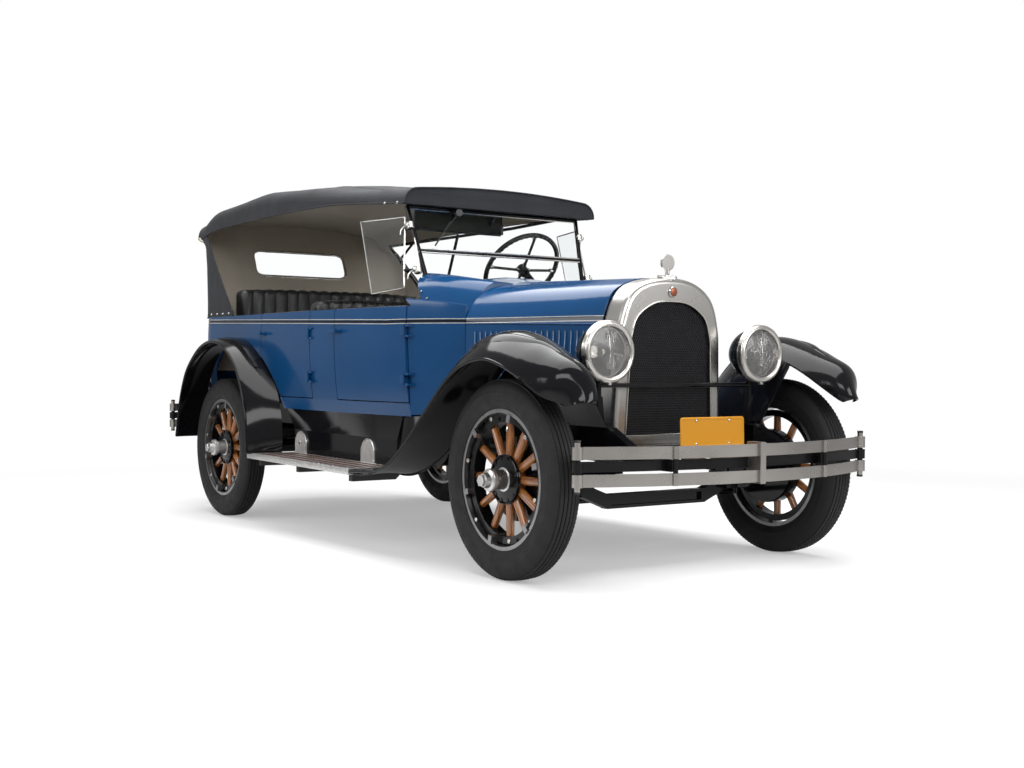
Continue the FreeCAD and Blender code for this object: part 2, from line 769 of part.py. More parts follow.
# Bumpers: two spring bars bowed forwards, a backing bar, end bolts and a centre clamp
def bowed_bar(end_x, end_y, nose_y, z, height, thickness):
    """One flat bar bent to an arc in plan, with an eye round the bolt at each end."""
    circle = Part.Arc(V(-end_x, end_y, 0), V(0, nose_y, 0), V(end_x, end_y, 0)).toShape().Curve
    radius = circle.Radius
    centre = circle.Center
    way = 1 if centre.y > nose_y else -1
    ring_outer = Part.makeCylinder(radius, height, V(centre.x, centre.y, z - height / 2))
    ring_inner = Part.makeCylinder(radius - thickness, height + 2, V(centre.x, centre.y, z - height / 2 - 1))
    band = ring_outer.cut(ring_inner)
    if way > 0:
        window = box(-end_x, end_x, nose_y - 5, end_y + 60, z - height, z + height)
    else:
        window = box(-end_x, end_x, end_y - 60, nose_y + 5, z - height, z + height)
    band = band.common(window)
    pieces = [band]
    for side in (-1, 1):
        eye = Part.makeCylinder(bumper_bolt_radius + thickness, height, V(side * end_x, end_y, z - height / 2))
        pieces.append(eye)
    solid = fuse(pieces)
    for side in (-1, 1):
        solid = solid.cut(Part.makeCylinder(bumper_bolt_radius, height + 4, V(side * end_x, end_y, z - height / 2 - 2)))
    return solid


def bumper(end_y, nose_y, lift, mount_y, arm_x):
    """A double-bar bumper on two arms, with its nose at nose_y."""
    upper = bumper_upper_z + lift
    lower = bumper_lower_z + lift
    way = -1 if nose_y < end_y else 1
    pieces = []
    for z in (upper, lower):
        pieces.append(bowed_bar(bumper_end_x, end_y, nose_y, z, bumper_bar_height, bumper_bar_thickness))
    middle = (upper + lower) / 2
    back = bowed_bar(bumper_end_x, end_y, nose_y - way * 52, middle,
                     upper - lower - bumper_bar_height - backing_bar_gap, bumper_bar_thickness)
    pieces.append(back)
    for side in (-1, 1):
        bolt = Part.makeCylinder(bumper_bolt_radius, upper - lower + bumper_bar_height + 30,
                                 V(side * bumper_end_x, end_y, lower - bumper_bar_height / 2 - 15))
        pieces.append(bolt)
        arm = bar(V(side * arm_x, mount_y + way * seat_gap, middle), V(side * arm_x, nose_y - way * 56, middle), 12, 44)
        pieces.append(arm)
        link_y = nose_y - way * 40
        pieces.append(Part.makeCylinder(9, upper - lower + bumper_bar_height,
                                        V(side * arm_x, link_y, lower - bumper_bar_height / 2)))
    y0 = nose_y + way * 10
    y1 = nose_y - way * 62
    clamp = box(-14, 14, y0, y1, lower - bumper_bar_height / 2 - 6, upper + bumper_bar_height / 2 + 6)
    pieces.append(clamp)
    return raked(fuse(pieces), frame_rake)


# Body plan: half outline from the front pillar round the rear corner
def side_curve(w, p, front_y, back, r, z):
    """The side's line in plan, from the front pillar to where the rear corner starts."""
    curve = Part.BSplineCurve()
    curve.interpolate([V(p, front_y, z), V(p + 44, -100, z), V(w - 14, 250, z), V(w, 800, z),
                       V(w, back - r, z)], FinalTangent=V(0, 300, 0), InitialTangent=V(60, 300, 0))
    return curve


def side_x(y):
    """Half width of the body at one place along it."""
    curve = side_curve(tub_half_width, pillar_half_width, front_door_front_y, tub_back_y,
                       tub_corner_radius, 0)
    cut = Part.makeLine(V(0, y, 0), V(2 * tub_half_width, y, 0))
    return curve.toShape().distToShape(cut)[1][0][0].x


def plan_face(inset, z, front_y):
    """The body's outline at one height, inset from its widest line."""
    w = tub_half_width - inset
    p = pillar_half_width - inset
    back = tub_back_y - inset
    r = tub_corner_radius
    left_side = side_curve(w, p, front_y, back, r, z)
    corner_mid = V(w - r + r * math.cos(math.radians(45)), back - r + r * math.sin(math.radians(45)), z)
    corner = Part.Arc(V(w, back - r, z), corner_mid, V(w - r, back, z))
    edges = [left_side.toShape(), corner.toShape()]
    half = Part.Wire(edges)
    other = half.mirror(V(0, 0, 0), X_AXIS)
    across = Part.LineSegment(V(w - r, back, z), V(-w + r, back, z)).toShape()
    front = Part.LineSegment(V(-p, front_y, z), V(p, front_y, z)).toShape()
    return Part.Wire(Part.__sortEdges__([*half.Edges, across, *other.Edges, front]))


def body_shell(inset, front_y, low, high):
    """The closed volume inside the body's outline, narrower at the foot."""
    levels = [(low, turn_under), (low + 150, 6.0), (high, 0.0)]
    wires = [plan_face(inset + under, z, front_y) for z, under in levels]
    return Part.makeLoft(wires, True, False)


def body_wall():
    """The body side as a wall of door thickness, open at the front, the top and the bottom."""
    outer = body_shell(0, front_door_front_y, sill_z, tub_top_z)
    inner = body_shell(tub_wall, front_door_front_y, sill_z - 1, tub_top_z + 1)
    return outer.cut(inner)


def arch_tool(extra):
    """What the rear fender takes out of the body side: its inner line, grown by a margin."""
    points = [inner for outer, crown, inner in rear_fender_stations()]
    grown = []
    for i, point in enumerate(points):
        run = points[min(i + 1, len(points) - 1)] - points[max(i - 1, 0)]
        away = V(0, -run.z, run.y)
        away.normalize()
        grown.append(V(-fender_edge_x, point.y, point.z) + away * extra)
    curve = Part.BSplineCurve()
    curve.interpolate(grown)
    foot_z = 300.0
    low = [V(-fender_edge_x, grown[-1].y, foot_z), V(-fender_edge_x, grown[0].y, foot_z)]
    edges = [curve.toShape(), Part.LineSegment(grown[-1], low[0]).toShape(),
             Part.LineSegment(low[0], low[1]).toShape(), Part.LineSegment(low[1], grown[0]).toShape()]
    return Part.Face(Part.Wire(edges)).extrude(V(2 * fender_edge_x, 0, 0))


def door(wall, front_y, rear_y, low_z):
    """A door cut out of the wall on the left side, with its gap all round."""
    window = box(0, 1000, front_y + door_gap, rear_y - door_gap, low_z + door_gap, tub_top_z + 10)
    return wall.common(window)


def handle(y, z):
    """An escutcheon with a lever that points to the rear."""
    x = side_x(y) - 6
    plate = Part.makeCylinder(13, 14, V(x, y, z), X_AXIS)
    stem = Part.makeCylinder(8, 46, V(x, y, z), X_AXIS)
    lever = bar(V(x + 38, y - 8, z), V(x + 38, y + 82, z), 12, 16)
    return fuse([plate, stem, lever])


def door_hinge(y, z):
    """One hinge on the left side: the door's barrel with its strap, and the body's ears with the pin."""
    x = side_x(y) + hinge_stand_off
    barrel = Part.makeCylinder(hinge_barrel_radius, hinge_height, V(x, y, z))
    strap = box(side_x(y) - 10, x, y, y + 34, z, z + hinge_height)
    door_side = fuse([barrel, strap]).cut(Part.makeCylinder(hinge_pin_radius + seat_gap, hinge_height, V(x, y, z)))
    body_side = [Part.makeCylinder(hinge_pin_radius, hinge_height + 2 * hinge_ear, V(x, y, z - hinge_ear))]
    for low in (z - hinge_ear, z + hinge_height + seat_gap):
        ear = hinge_ear - seat_gap
        body_side.append(Part.makeCylinder(hinge_barrel_radius, ear, V(x, y, low)))
        body_side.append(box(side_x(y) - 22, x, y - 34, y, low, low + ear))
    return door_side, fuse(body_side)


def tub_parts():
    wall = body_wall()
    cut_front = box(0, 1000, front_door_front_y, front_door_rear_y, door_bottom_z, tub_top_z + 10)
    cut_rear = box(0, 1000, rear_door_front_y, rear_door_rear_y, door_bottom_z, tub_top_z + 10)
    rear = wall.cut(arch_tool(4.0))
    fixed = rear.cut(cut_front).cut(mirrored(cut_front)).cut(cut_rear).cut(mirrored(cut_rear))
    return wall, fixed


def arch_wire(half_width, foot_half_width, foot_z, edge_z, crown, y):
    """A body section: straight sides, then a rounded crown, from the left foot to the right foot."""
    h = crown - edge_z
    right = [V(half_width, y, edge_z), V(half_width * 0.965, y, edge_z + h * 0.27),
             V(half_width * 0.83, y, edge_z + h * 0.66), V(half_width * 0.45, y, edge_z + h * 0.94),
             V(0, y, crown)]
    left = [V(-p.x, p.y, p.z) for p in reversed(right[:-1])]
    curve = Part.BSplineCurve()
    curve.interpolate([*right, *left], InitialTangent=V(0, 0, h), FinalTangent=V(0, 0, -h))
    edges = [Part.LineSegment(V(foot_half_width, y, foot_z), right[0]).toShape(), curve.toShape(),
             Part.LineSegment(left[-1], V(-foot_half_width, y, foot_z)).toShape(),
             Part.LineSegment(V(-foot_half_width, y, foot_z), V(foot_half_width, y, foot_z)).toShape()]
    return Part.Wire(edges)


def arch_loft(sections):
    return Part.makeLoft([arch_wire(*s) for s in sections], True, False)


def cowl_sections(grow):
    """The cowl's outline at four places from the hood to behind the windscreen, grown by a margin."""
    foot = sill_z + 30
    rear = pillar_half_width
    front = cowl_front_y
    g = grow
    return [(cowl_half_width + g, cowl_half_width - 6 + g, foot, belt_z, crown_z + g, front),
            (rear - 70 + g, rear - 84 + g, foot - 6, belt_z, crown_z + 9 + g, front + 110),
            (rear - 4 + g, rear - 22 + g, foot - 14, belt_z - 2, crown_z + 22 + g, front + 240),
            (rear + 26 + g, rear + 6 + g, foot - 20, belt_z - 4, crown_z + 36 + g, front + 400)]


def cowl():
    """Cowl from the hood to the windscreen, with firewall and instrument board."""
    foot = sill_z + 30
    front = cowl_front_y
    outer = arch_loft(cowl_sections(0.0))
    inner = arch_loft([(w, fw, z - 60, edge, crown, y + (1 if y > front else -1))
                       for w, fw, z, edge, crown, y in cowl_sections(-cowl_wall)])
    firewall = outer.common(box(-900, 900, front + 4, front + 12, foot - 40, crown_z + 40))
    board = outer.common(box(-900, 900, front + 300, front + 318, belt_z - 20, crown_z + 60))
    body = raked(fuse([outer.cut(inner), firewall, board]), hood_rake)
    door_line = box(-900, 900, front_door_front_y - seat_gap, 900, sill_z - 60, tub_top_z + seat_gap)
    slope = polygon([V(-900, screen_foot_y - 6, tub_top_z), V(-900, screen_foot_y - 6 + 160, tub_top_z + 160),
                     V(-900, 900, tub_top_z + 200), V(-900, 900, tub_top_z)])
    tunnel = box(-150, 150, front - 20, front + 30, foot - 60, 690)
    column = rod(column_foot(), wheel_centre, column_radius + door_gap)
    cutter = raked(fuse([door_line, slope.extrude(V(1800, 0, 0)), tunnel, column]), frame_rake)
    return body.cut(cutter)


# Hood: two top leaves on a centre rod, each with a louvred side leaf hinged to its edge
hinge_radius = 5.0
leaf_inner_x = 14.0
knuckle_length = 36.0
knuckle_radius = 7.5


def hood_top(side):
    """A top leaf, a tapered curved sheet from the centre rod to a rod along the belt."""
    sections = []
    y0 = hood_front_y + moving_gap
    y1 = cowl_front_y - moving_gap
    edge = belt_z + 3
    for y, w in ((y0, hood_front_half_width), (y1, cowl_half_width)):
        outer = arch_curve(w, edge, crown_z, y, 0)
        inner = arch_curve(w, edge, crown_z, y, hood_sheet)
        edges = [outer.toShape(), Part.LineSegment(outer.EndPoint, inner.StartPoint).toShape(),
                 inner.toShape(), Part.LineSegment(inner.EndPoint, outer.StartPoint).toShape()]
        sections.append(Part.Wire(edges))
    leaf = Part.makeLoft(sections, True, True)
    half = hood_sheet / 2
    belt_rod = rod(V(hood_front_half_width - half, y0, belt_z), V(cowl_half_width - half, y1, belt_z), hinge_radius)
    knuckles = []
    axis_z = crown_z - hood_sheet
    for i in range(3):
        y = y0 + 40 + 290 * i + (0 if side > 0 else knuckle_length + 2)
        barrel = Part.makeCylinder(knuckle_radius, knuckle_length, V(0, y, axis_z), Y_AXIS)
        strap = box(6, leaf_inner_x + 4, y, y + knuckle_length, axis_z - 1, axis_z + 3)
        knuckle_piece = fuse([barrel, strap])
        knuckles.append(knuckle_piece.cut(Part.makeCylinder(hinge_radius + seat_gap, knuckle_length, V(0, y, axis_z), Y_AXIS)))
    return fuse([leaf, belt_rod, *knuckles])


def arch_curve(w, edge_z, crown, y, inset):
    """Half an arch from the belt to the centre rod, or back again when inset."""
    h = crown - edge_z
    points = [V(w - inset, y, edge_z), V(w * 0.965 - inset, y, edge_z + h * 0.27 - inset * 0.2),
              V(w * 0.83 - inset * 0.6, y, edge_z + h * 0.66 - inset * 0.7),
              V(w * 0.45 - inset * 0.2, y, edge_z + h * 0.94 - inset), V(leaf_inner_x, y, crown - inset)]
    curve = Part.BSplineCurve()
    if inset:
        points.reverse()
        curve.interpolate(points, InitialTangent=V(h, 0, 0), FinalTangent=V(0, 0, -h))
    else:
        curve.interpolate(points, InitialTangent=V(0, 0, h), FinalTangent=V(-h, 0, 0))
    return curve


def hood_side():
    """The left side leaf, a flat louvred panel that hangs from the belt hinge."""
    y0 = hood_front_y + moving_gap
    y1 = cowl_front_y - moving_gap
    top = belt_z - hinge_radius - seat_gap
    x0 = hood_front_half_width
    x1 = cowl_half_width
    face = polygon([V(x0, y0, top), V(x1, y1, top), V(x1 - hood_sheet, y1, top), V(x0 - hood_sheet, y0, top)])
    panel = face.extrude(V(0, 0, hood_bottom_z - top))
    slope = (x1 - x0) / (y1 - y0)
    pieces = [panel]
    first = y0 + 62
    pitch = (y1 - 80 - first) / (louvre_count - 1)
    for i in range(louvre_count):
        y = first + i * pitch
        x = x0 + slope * (y - y0) - 2
        pieces.append(Part.makeCylinder(louvre_radius, 190, V(x, y, hood_bottom_z + 62)))
    return fuse(pieces)


def ridge_rod():
    """The rod along the hood's ridge, from the radiator shell to the firewall."""
    axis_z = crown_z - hood_sheet
    return rod(V(0, hood_front_y + seat_gap, axis_z), V(0, cowl_front_y + 10, axis_z), hinge_radius)


# Radiator
def shell_arch(half_width, foot_half_width, foot_z, spring_z, crown, y0, y1):
    """A round-headed slab between two planes."""
    wire = arch_wire(half_width, foot_half_width, foot_z, spring_z, crown, y0)
    return Part.Face(wire).extrude(V(0, y1 - y0, 0))


def radiator_shell():
    """A nickelled shell with a rounded front edge, its arched opening and the filler cap."""
    y0 = shell_front_y
    y1 = hood_front_y
    spring = 960.0
    body = shell_arch(272, shell_base_half_width, shell_base_z, spring, crown_z, y0, y1)
    front_edges = [e for e in body.Edges
                   if abs(e.BoundBox.YMin - y0) < 1 and abs(e.BoundBox.YMax - y0) < 1 and e.BoundBox.ZMax > shell_base_z + 5]
    body = body.makeFillet(24, front_edges)
    w = shell_wall
    cavity = shell_arch(272 - w, shell_base_half_width - w, shell_base_z + w, spring, crown_z - w,
                        y0 + shell_face, y1 + 1)
    body = body.cut(cavity)
    opening = shell_arch(grille_top_half_width, grille_half_width, grille_base_z, 940, grille_top_z,
                         y0 - 30, y0 + 60)
    body = body.cut(opening)
    neck_y = y0 + 34
    neck = Part.makeCylinder(25, 12, V(0, neck_y, crown_z - 10))
    cap = Part.makeCone(31, 26, 20, V(0, neck_y, crown_z - 10))
    knob = Part.makeCylinder(9, 30, V(0, neck_y, crown_z + 10))
    disc = Part.makeCylinder(33, 12, V(0, neck_y + 6, crown_z + 62), V(0, -1, 0))
    ears = rod(V(-48, neck_y, crown_z + 4), V(48, neck_y, crown_z + 4), 6)
    body = fuse([body, neck, cap, knob, disc, ears])
    badge = Part.makeCylinder(20, 8, V(0, y0 + 4, 1161.0), V(0, -1, 0))
    body = body.fuse(badge)
    return raked(body, hood_rake)


def radiator_core():
    """The core block with a lattice face set in the shell's opening."""
    w = shell_wall + seat_gap
    y0 = shell_front_y + shell_face + seat_gap
    block = shell_arch(272 - w, shell_base_half_width - w, shell_base_z + w, 960, crown_z - w - 1, y0, y0 + 64)
    return raked(block, hood_rake)


# Lamps
def headlamps():
    """Bowl-shaped black shells on posts, with nickelled rims and a tie bar."""
    pieces = []
    for side in (-1, 1):
        profile = [V(0, lamp_depth, 0), V(0, lamp_depth, 12)]
        centre = V(side * lamp_x, lamp_face_y, lamp_z)
        curve = Part.BSplineCurve()
        curve.interpolate([V(0, lamp_depth, 0.1), V(0, lamp_depth - 14, 46), V(0, lamp_depth - 62, 88), V(0, 40, 106)],
                          InitialTangent=V(0, 0, 60), FinalTangent=V(0, -60, 8))
        edges = [curve.toShape(), Part.makeLine(V(0, 40, 106), V(0, 34, 112)),
                 Part.makeLine(V(0, 34, 112), V(0, 28, lamp_radius)),
                 Part.makeLine(V(0, 28, lamp_radius), V(0, 8, lamp_radius)),
                 Part.makeLine(V(0, 8, lamp_radius), V(0, 0, lamp_radius - 8)),
                 Part.makeLine(V(0, 0, lamp_radius - 8), V(0, 4, lens_radius)),
                 Part.makeLine(V(0, 4, lens_radius), V(0, 34, lens_radius)),
                 Part.makeLine(V(0, 34, lens_radius), V(0, lamp_depth - 30, 0.1)),
                 Part.makeLine(V(0, lamp_depth - 30, 0.1), V(0, lamp_depth, 0.1))]
        bowl = Part.Face(Part.Wire(edges)).revolve(V(0, 0, 0), Y_AXIS, 360)
        plug = Part.makeCylinder(3, 40, V(0, lamp_depth - 34, 0), Y_AXIS)
        bowl = bowl.fuse(plug)
        bowl.translate(centre)
        post = Part.makeCylinder(13, lamp_z - 100 - 700, V(side * lamp_x, lamp_face_y + 78, 700))
        pieces.extend([bowl, post])
        pieces.append(bar(V(side * lamp_x, lamp_face_y + 78, 712), V(side * (rail_x + 4), lamp_face_y + 78, rail_bottom + rail_height + 1.5), 26, 26))
    tie = rod(V(-lamp_x, lamp_face_y + 78, lamp_z - 128), V(lamp_x, lamp_face_y + 78, lamp_z - 128), 9)
    return raked(fuse([*pieces, tie]), frame_rake)


def headlamp_lenses():
    lens = Part.makeCylinder(lens_radius - seat_gap, 8, V(lamp_x, lamp_face_y + 10, lamp_z), Y_AXIS)
    return raked(both(lens), frame_rake)


# Windscreen
def screen_point(side, z):
    """The place on a post of the windscreen at one height."""
    share = (z - screen_base_z) / (screen_top_z - screen_base_z)
    return V(side * (screen_base_half_width + share * (screen_top_half_width - screen_base_half_width)),
             screen_base_y + share * (screen_top_y - screen_base_y), z)


def screen_foot(side):
    """The lower end of a post and the place on the cowl that its bent foot reaches."""
    base = screen_point(side, screen_base_z - 30)
    return base, V(side * screen_foot_x, screen_foot_y, screen_foot_z - 20)


def windscreen_frame():
    """Two posts with feet on the cowl, a header bar, the divider and the clamps of the wind wings."""
    pieces = []
    for side in (-1, 1):
        top = screen_point(side, screen_top_z)
        base, foot = screen_foot(side)
        pieces.append(rod(top, base, post_radius))
        pieces.append(Part.makeSphere(post_radius + 1, base))
        pieces.append(rod(base, foot, post_radius + 1))
        pieces.append(rod(foot, foot + (base - foot) * 0.42, 2 * post_radius))
        for z in wing_clamp_places:
            post = screen_point(side, z)
            edge = wing_edge(z)
            edge.x = side * edge.x
            run = edge - post
            run.normalize()
            pieces.append(rod(post, edge - run * seat_gap, 7))
    pieces.append(rod(screen_point(-1, screen_top_z), screen_point(1, screen_top_z), post_radius))
    pieces.append(rod(screen_point(-1, divider_z), screen_point(1, divider_z), 7))
    cowl_skin = raked(arch_loft(cowl_sections(seat_gap)), hood_rake)
    return raked(fuse(pieces), frame_rake).cut(cowl_skin)


def windscreen_glass():
    """Upper pane, lower pane cut to the cowl's curve, and a wind wing at each post."""
    lean = math.atan2(screen_top_y - screen_base_y, screen_top_z - screen_base_z)
    through = V(0, glass_thickness * math.cos(lean), -glass_thickness * math.sin(lean))
    inset = post_radius + seat_gap
    panes = []
    for z0, z1 in ((screen_base_z - 110, divider_z - 8), (divider_z + 8, screen_top_z - inset)):
        corners = []
        for z, side in ((z0, -1), (z0, 1), (z1, 1), (z1, -1)):
            corner = screen_point(side, z)
            corners.append(corner - V(side * inset, 0, 0) - through / 2)
        panes.append(polygon(corners).extrude(through))
    for side in (-1, 1):
        panes[0] = panes[0].cut(rod(*screen_foot(side), post_radius + 1 + seat_gap))
        panes[0] = panes[0].cut(Part.makeSphere(post_radius + 1 + seat_gap, screen_foot(side)[0]))
    lower = raked(panes[0], frame_rake).cut(raked(arch_loft(cowl_sections(2.0)), hood_rake))
    lower = max(lower.Solids, key=lambda solid: solid.Volume)
    wing = raked(wind_wing(), frame_rake)
    return Part.makeCompound([lower, raked(panes[1], frame_rake), wing, mirrored(wing)])


def wing_edge(z):
    """The place on the left wing's front edge at one height."""
    low, high = wing_corners[3], wing_corners[0]
    return low + (high - low) * ((z - low.z) / (high.z - low.z))


def wind_wing():
    """The left wing, a flat pane outside the post."""
    a, b, c, d = wing_corners
    normal = (b - a).cross(c - a)
    normal.normalize()
    if normal.x < 0:
        normal = normal * -1
    level = d - normal * normal.dot(d - a)
    return polygon([a, b, c, level]).extrude(normal * glass_thickness)


# Seats
def cushion(x, y0, y1, z0, z1, radius):
    """A soft block with rounded edges."""
    block = box(-x, x, y0, y1, z0, z1)
    return block.makeFillet(radius, block.Edges)


def seat(front_y, base_z, half_width, back_y, top_z):
    """A bench of two cushions on a box that stands on the floor."""
    bottom = cushion(half_width, front_y, back_y - seat_gap, base_z, base_z + 150, 38)
    back = cushion(half_width, back_y, back_y + 130, base_z + 60, top_z, 46)
    return bottom, back


# Folding top
def top_arch(y, half_width, edge_z, crown, low_z, sheet):
    """A section of the top: a hanging valance, a rounded shoulder and a shallow crown."""
    def half(w, edge, crest, inset):
        r = 70.0 - inset
        mid = V(w - r + r * math.cos(math.radians(45)), y, edge - r + r * math.sin(math.radians(45)))
        return w, edge, crest, r, mid
    w, edge, crest, r, mid = half(half_width, edge_z, crown, 0)
    iw, iedge, icrest, ir, imid = half(half_width - sheet, edge_z - sheet, crown - sheet, sheet)
    def flip(p):
        return V(-p.x, p.y, p.z)
    low = V(w, y, low_z)
    shoulder_low = V(w, y, edge - r)
    shoulder_top = V(w - r, y, edge)
    crest_point = V(0, y, crest)
    in_low = V(iw, y, low_z)
    in_shoulder_low = V(iw, y, iedge - ir)
    in_shoulder_top = V(iw - ir, y, iedge)
    in_crest = V(0, y, icrest)
    edges = [Part.LineSegment(low, shoulder_low).toShape(), Part.Arc(shoulder_low, mid, shoulder_top).toShape(),
             Part.Arc(shoulder_top, crest_point, flip(shoulder_top)).toShape(),
             Part.Arc(flip(shoulder_top), flip(mid), flip(shoulder_low)).toShape(),
             Part.LineSegment(flip(shoulder_low), flip(low)).toShape(),
             Part.LineSegment(flip(low), flip(in_low)).toShape(),
             Part.LineSegment(flip(in_low), flip(in_shoulder_low)).toShape(),
             Part.Arc(flip(in_shoulder_low), flip(imid), flip(in_shoulder_top)).toShape(),
             Part.Arc(flip(in_shoulder_top), in_crest, in_shoulder_top).toShape(),
             Part.Arc(in_shoulder_top, imid, in_shoulder_low).toShape(),
             Part.LineSegment(in_shoulder_low, in_low).toShape(), Part.LineSegment(in_low, low).toShape()]
    return Part.Wire(edges)


def canopy_sections():
    """The top's outline from front to rear: place, half width, shoulder, crown and lower edge."""
    w = top_half_width
    return [(top_front_y, w - 96, 1640, 1662, header_low_z), (300, w - 34, 1692, 1738, 1606),
            (900, w - 6, 1748, 1796, 1614), (1420, w, 1750, 1800, 1610), (1850, w - 4, 1724, 1770, 1600),
            (top_rear_y, w - 24, 1660, 1694, 1572)]


def canopy():
    """The raised top with its header, side valances, rear quarters, rear curtain and window opening."""
    w = top_half_width
    sections = canopy_sections()
    roof = Part.makeLoft([top_arch(*section, top_sheet) for section in sections], True, False)
    header = top_slab(*sections[0], top_sheet)
    tail = top_slab(*sections[-1], -top_sheet)
    low = tub_top_z + 1.0
    levels = ((low, w + 50, tub_back_y - 8, 190), (1400, w + 22, tub_back_y + 46, 150),
              (1668, w - 20, top_rear_y - 6, 110))
    outer = Part.makeLoft([curtain_wire(half, back, r, z) for z, half, back, r in levels], True, False)
    t = top_sheet
    inner = Part.makeLoft([curtain_wire(half - t, back - t, r - t, z + (z - 1400) * 0.01)
                           for z, half, back, r in levels], True, False)
    wall = outer.cut(inner)
    slant = polygon([V(-900, 900, low - 50), V(-900, 1400, low - 50), V(-900, 1415, low + 20),
                     V(-900, 1990, 1600), V(-900, 1990, 1800), V(-900, 900, 1800)])
    wall = wall.cut(slant.extrude(V(1800, 0, 0)))
    half = rear_window_half_width
    window = box(-half, half, 1800, 2200, rear_window_low_z, rear_window_high_z)
    window = window.makeFillet(40, [e for e in window.Edges if abs(e.BoundBox.YLength - 400) < 1])
    whole = fuse([roof, header, tail, wall.cut(window)])
    return raked(max(whole.Solids, key=lambda solid: solid.Volume), frame_rake)


def top_slab(y, half_width, edge_z, crown, low_z, depth):
    """The closed end of the roof, as thick as the fabric and just inside its outline."""
    lap = top_sheet / 3
    wire = top_arch(y, half_width - lap, edge_z - lap, crown - lap, low_z, top_sheet)
    w = half_width - lap
    filled = Part.Face(wire)
    under = polygon([V(-w + 2, y, low_z), V(w - 2, y, low_z), V(w - 2, y, edge_z - 74), V(w - 74, y, edge_z - lap - 4),
                     V(-w + 74, y, edge_z - lap - 4), V(-w + 2, y, edge_z - 74)])
    crest = Part.Face(Part.Wire([Part.Arc(V(-w + 74, y, edge_z - lap - 4), V(0, y, crown - lap - 4),
                                          V(w - 74, y, edge_z - lap - 4)).toShape(),
                                 Part.LineSegment(V(w - 74, y, edge_z - lap - 4),
                                                  V(-w + 74, y, edge_z - lap - 4)).toShape()]))
    return fuse([face.extrude(V(0, depth, 0)) for face in (filled, under, crest)])


def curtain_wire(half_width, back_y, radius, z):
    """Plan of the rear curtain with its rounded corners, closed at the front."""
    front = 1300.0
    c = math.cos(math.radians(45)) * radius
    def half(side):
        return (V(side * half_width, front, z), V(side * half_width, back_y - radius, z),
                V(side * (half_width - radius + c), back_y - radius + c, z), V(side * (half_width - radius), back_y, z))
    a0, a1, a2, a3 = half(1)
    b0, b1, b2, b3 = half(-1)
    return Part.Wire([Part.LineSegment(a0, a1).toShape(), Part.Arc(a1, a2, a3).toShape(),
                      Part.LineSegment(a3, b3).toShape(), Part.Arc(b3, b2, b1).toShape(),
                      Part.LineSegment(b1, b0).toShape(), Part.LineSegment(b0, a0).toShape()])


def top_bows():
    """Slanted irons at the rear quarters, side rails, and bows that lie under the fabric."""
    pieces = []
    fabric = raked(canopy(), -frame_rake)
    w = top_half_width - 34
    for y in bow_places:
        line = Part.makeLine(V(0, y, 1500), V(0, y, 2000))
        crown = fabric.common(line).BoundBox.ZMin - bow_radius - seat_gap
        half = w - (60 if y < 0 else 0)
        arch = Part.Arc(V(-half + 10, y, crown - 80), V(0, y, crown), V(half - 10, y, crown - 80)).toShape()
        start = arch.Vertexes[0].Point
        run = arch.tangentAt(arch.FirstParameter)
        hoop = Part.Wire([arch]).makePipeShell([Part.Wire(Part.makeCircle(bow_radius, start, run))], True, True)
        pieces.append(hoop)
        for side in (-1, 1):
            pieces.append(rod(V(side * (half - 10), y, crown - 80), V(side * (half - 6), y, 1590), bow_radius))
            pieces.append(Part.makeSphere(bow_radius, V(side * (half - 10), y, crown - 80)))
    for side in (-1, 1):
        x = side * w
        front_x = side * (w - 82)
        pivot = V(side * (top_half_width - 8), 1380, tub_top_z + 40)
        pieces.append(rod(pivot, V(x, 1960, 1588), 10))
        pieces.append(rod(pivot, V(x, 1130, 1600), 9))
        pieces.append(rod(V(x, 1660, 1592), V(x, 1838, 1489), 8))
        pieces.append(rod(V(x, 560, 1590), V(x, 1960, 1590), 9))
        pieces.append(rod(V(front_x, -120, 1590), V(x, 560, 1590), 9))
        pieces.append(box(side * (top_half_width - 22), side * (tub_half_width - tub_wall + 8), 1362, 1398,
                          tub_top_z + seat_gap, tub_top_z + 44))
    return raked(fuse(pieces), frame_rake)


# Steering: a column through the firewall with a four-spoked wheel on its end
def column_axis():
    """Direction of the column, up and to the rear."""
    lean = math.radians(column_lean)
    return V(0, math.cos(lean), math.sin(lean))


def column_foot():
    return wheel_centre - column_axis() * column_length


def steering_wheel():
    axis = column_axis()
    rim_ring = Part.makeTorus(steering_wheel_radius, 12, wheel_centre, axis)
    hub_disc = rod(wheel_centre - axis * wheel_hub_depth, wheel_centre + axis * 6, 26)
    other = axis.cross(X_AXIS)
    pieces = [rim_ring, hub_disc]
    for way in (X_AXIS, other, X_AXIS * -1, other * -1):
        pieces.append(rod(wheel_centre - axis * 14 + way * 14, wheel_centre + way * steering_wheel_radius, 7))
    return raked(fuse(pieces), frame_rake)


def steering_column():
    """Column tube, steering box at its foot and the box's foot on the rail."""
    foot = column_foot()
    tube = rod(foot, wheel_centre - column_axis() * (wheel_hub_depth + running_gap), column_radius)
    gear_box = Part.makeCylinder(58, 90, foot - V(62, 0, 0), X_AXIS)
    top = rail_bottom + rail_height + seat_gap
    plate = box(foot.x + 5, rail_x - 5, foot.y - 30, foot.y + 30, top, top + 15)
    return raked(fuse([tube, gear_box, plate]), frame_rake)


# Power train and the rest below
def engine():
    """The engine as one plain block."""
    block = box(-engine_half_width, engine_half_width, engine_front_y, engine_rear_y, engine_low_z, engine_top_z)
    return raked(block, frame_rake)


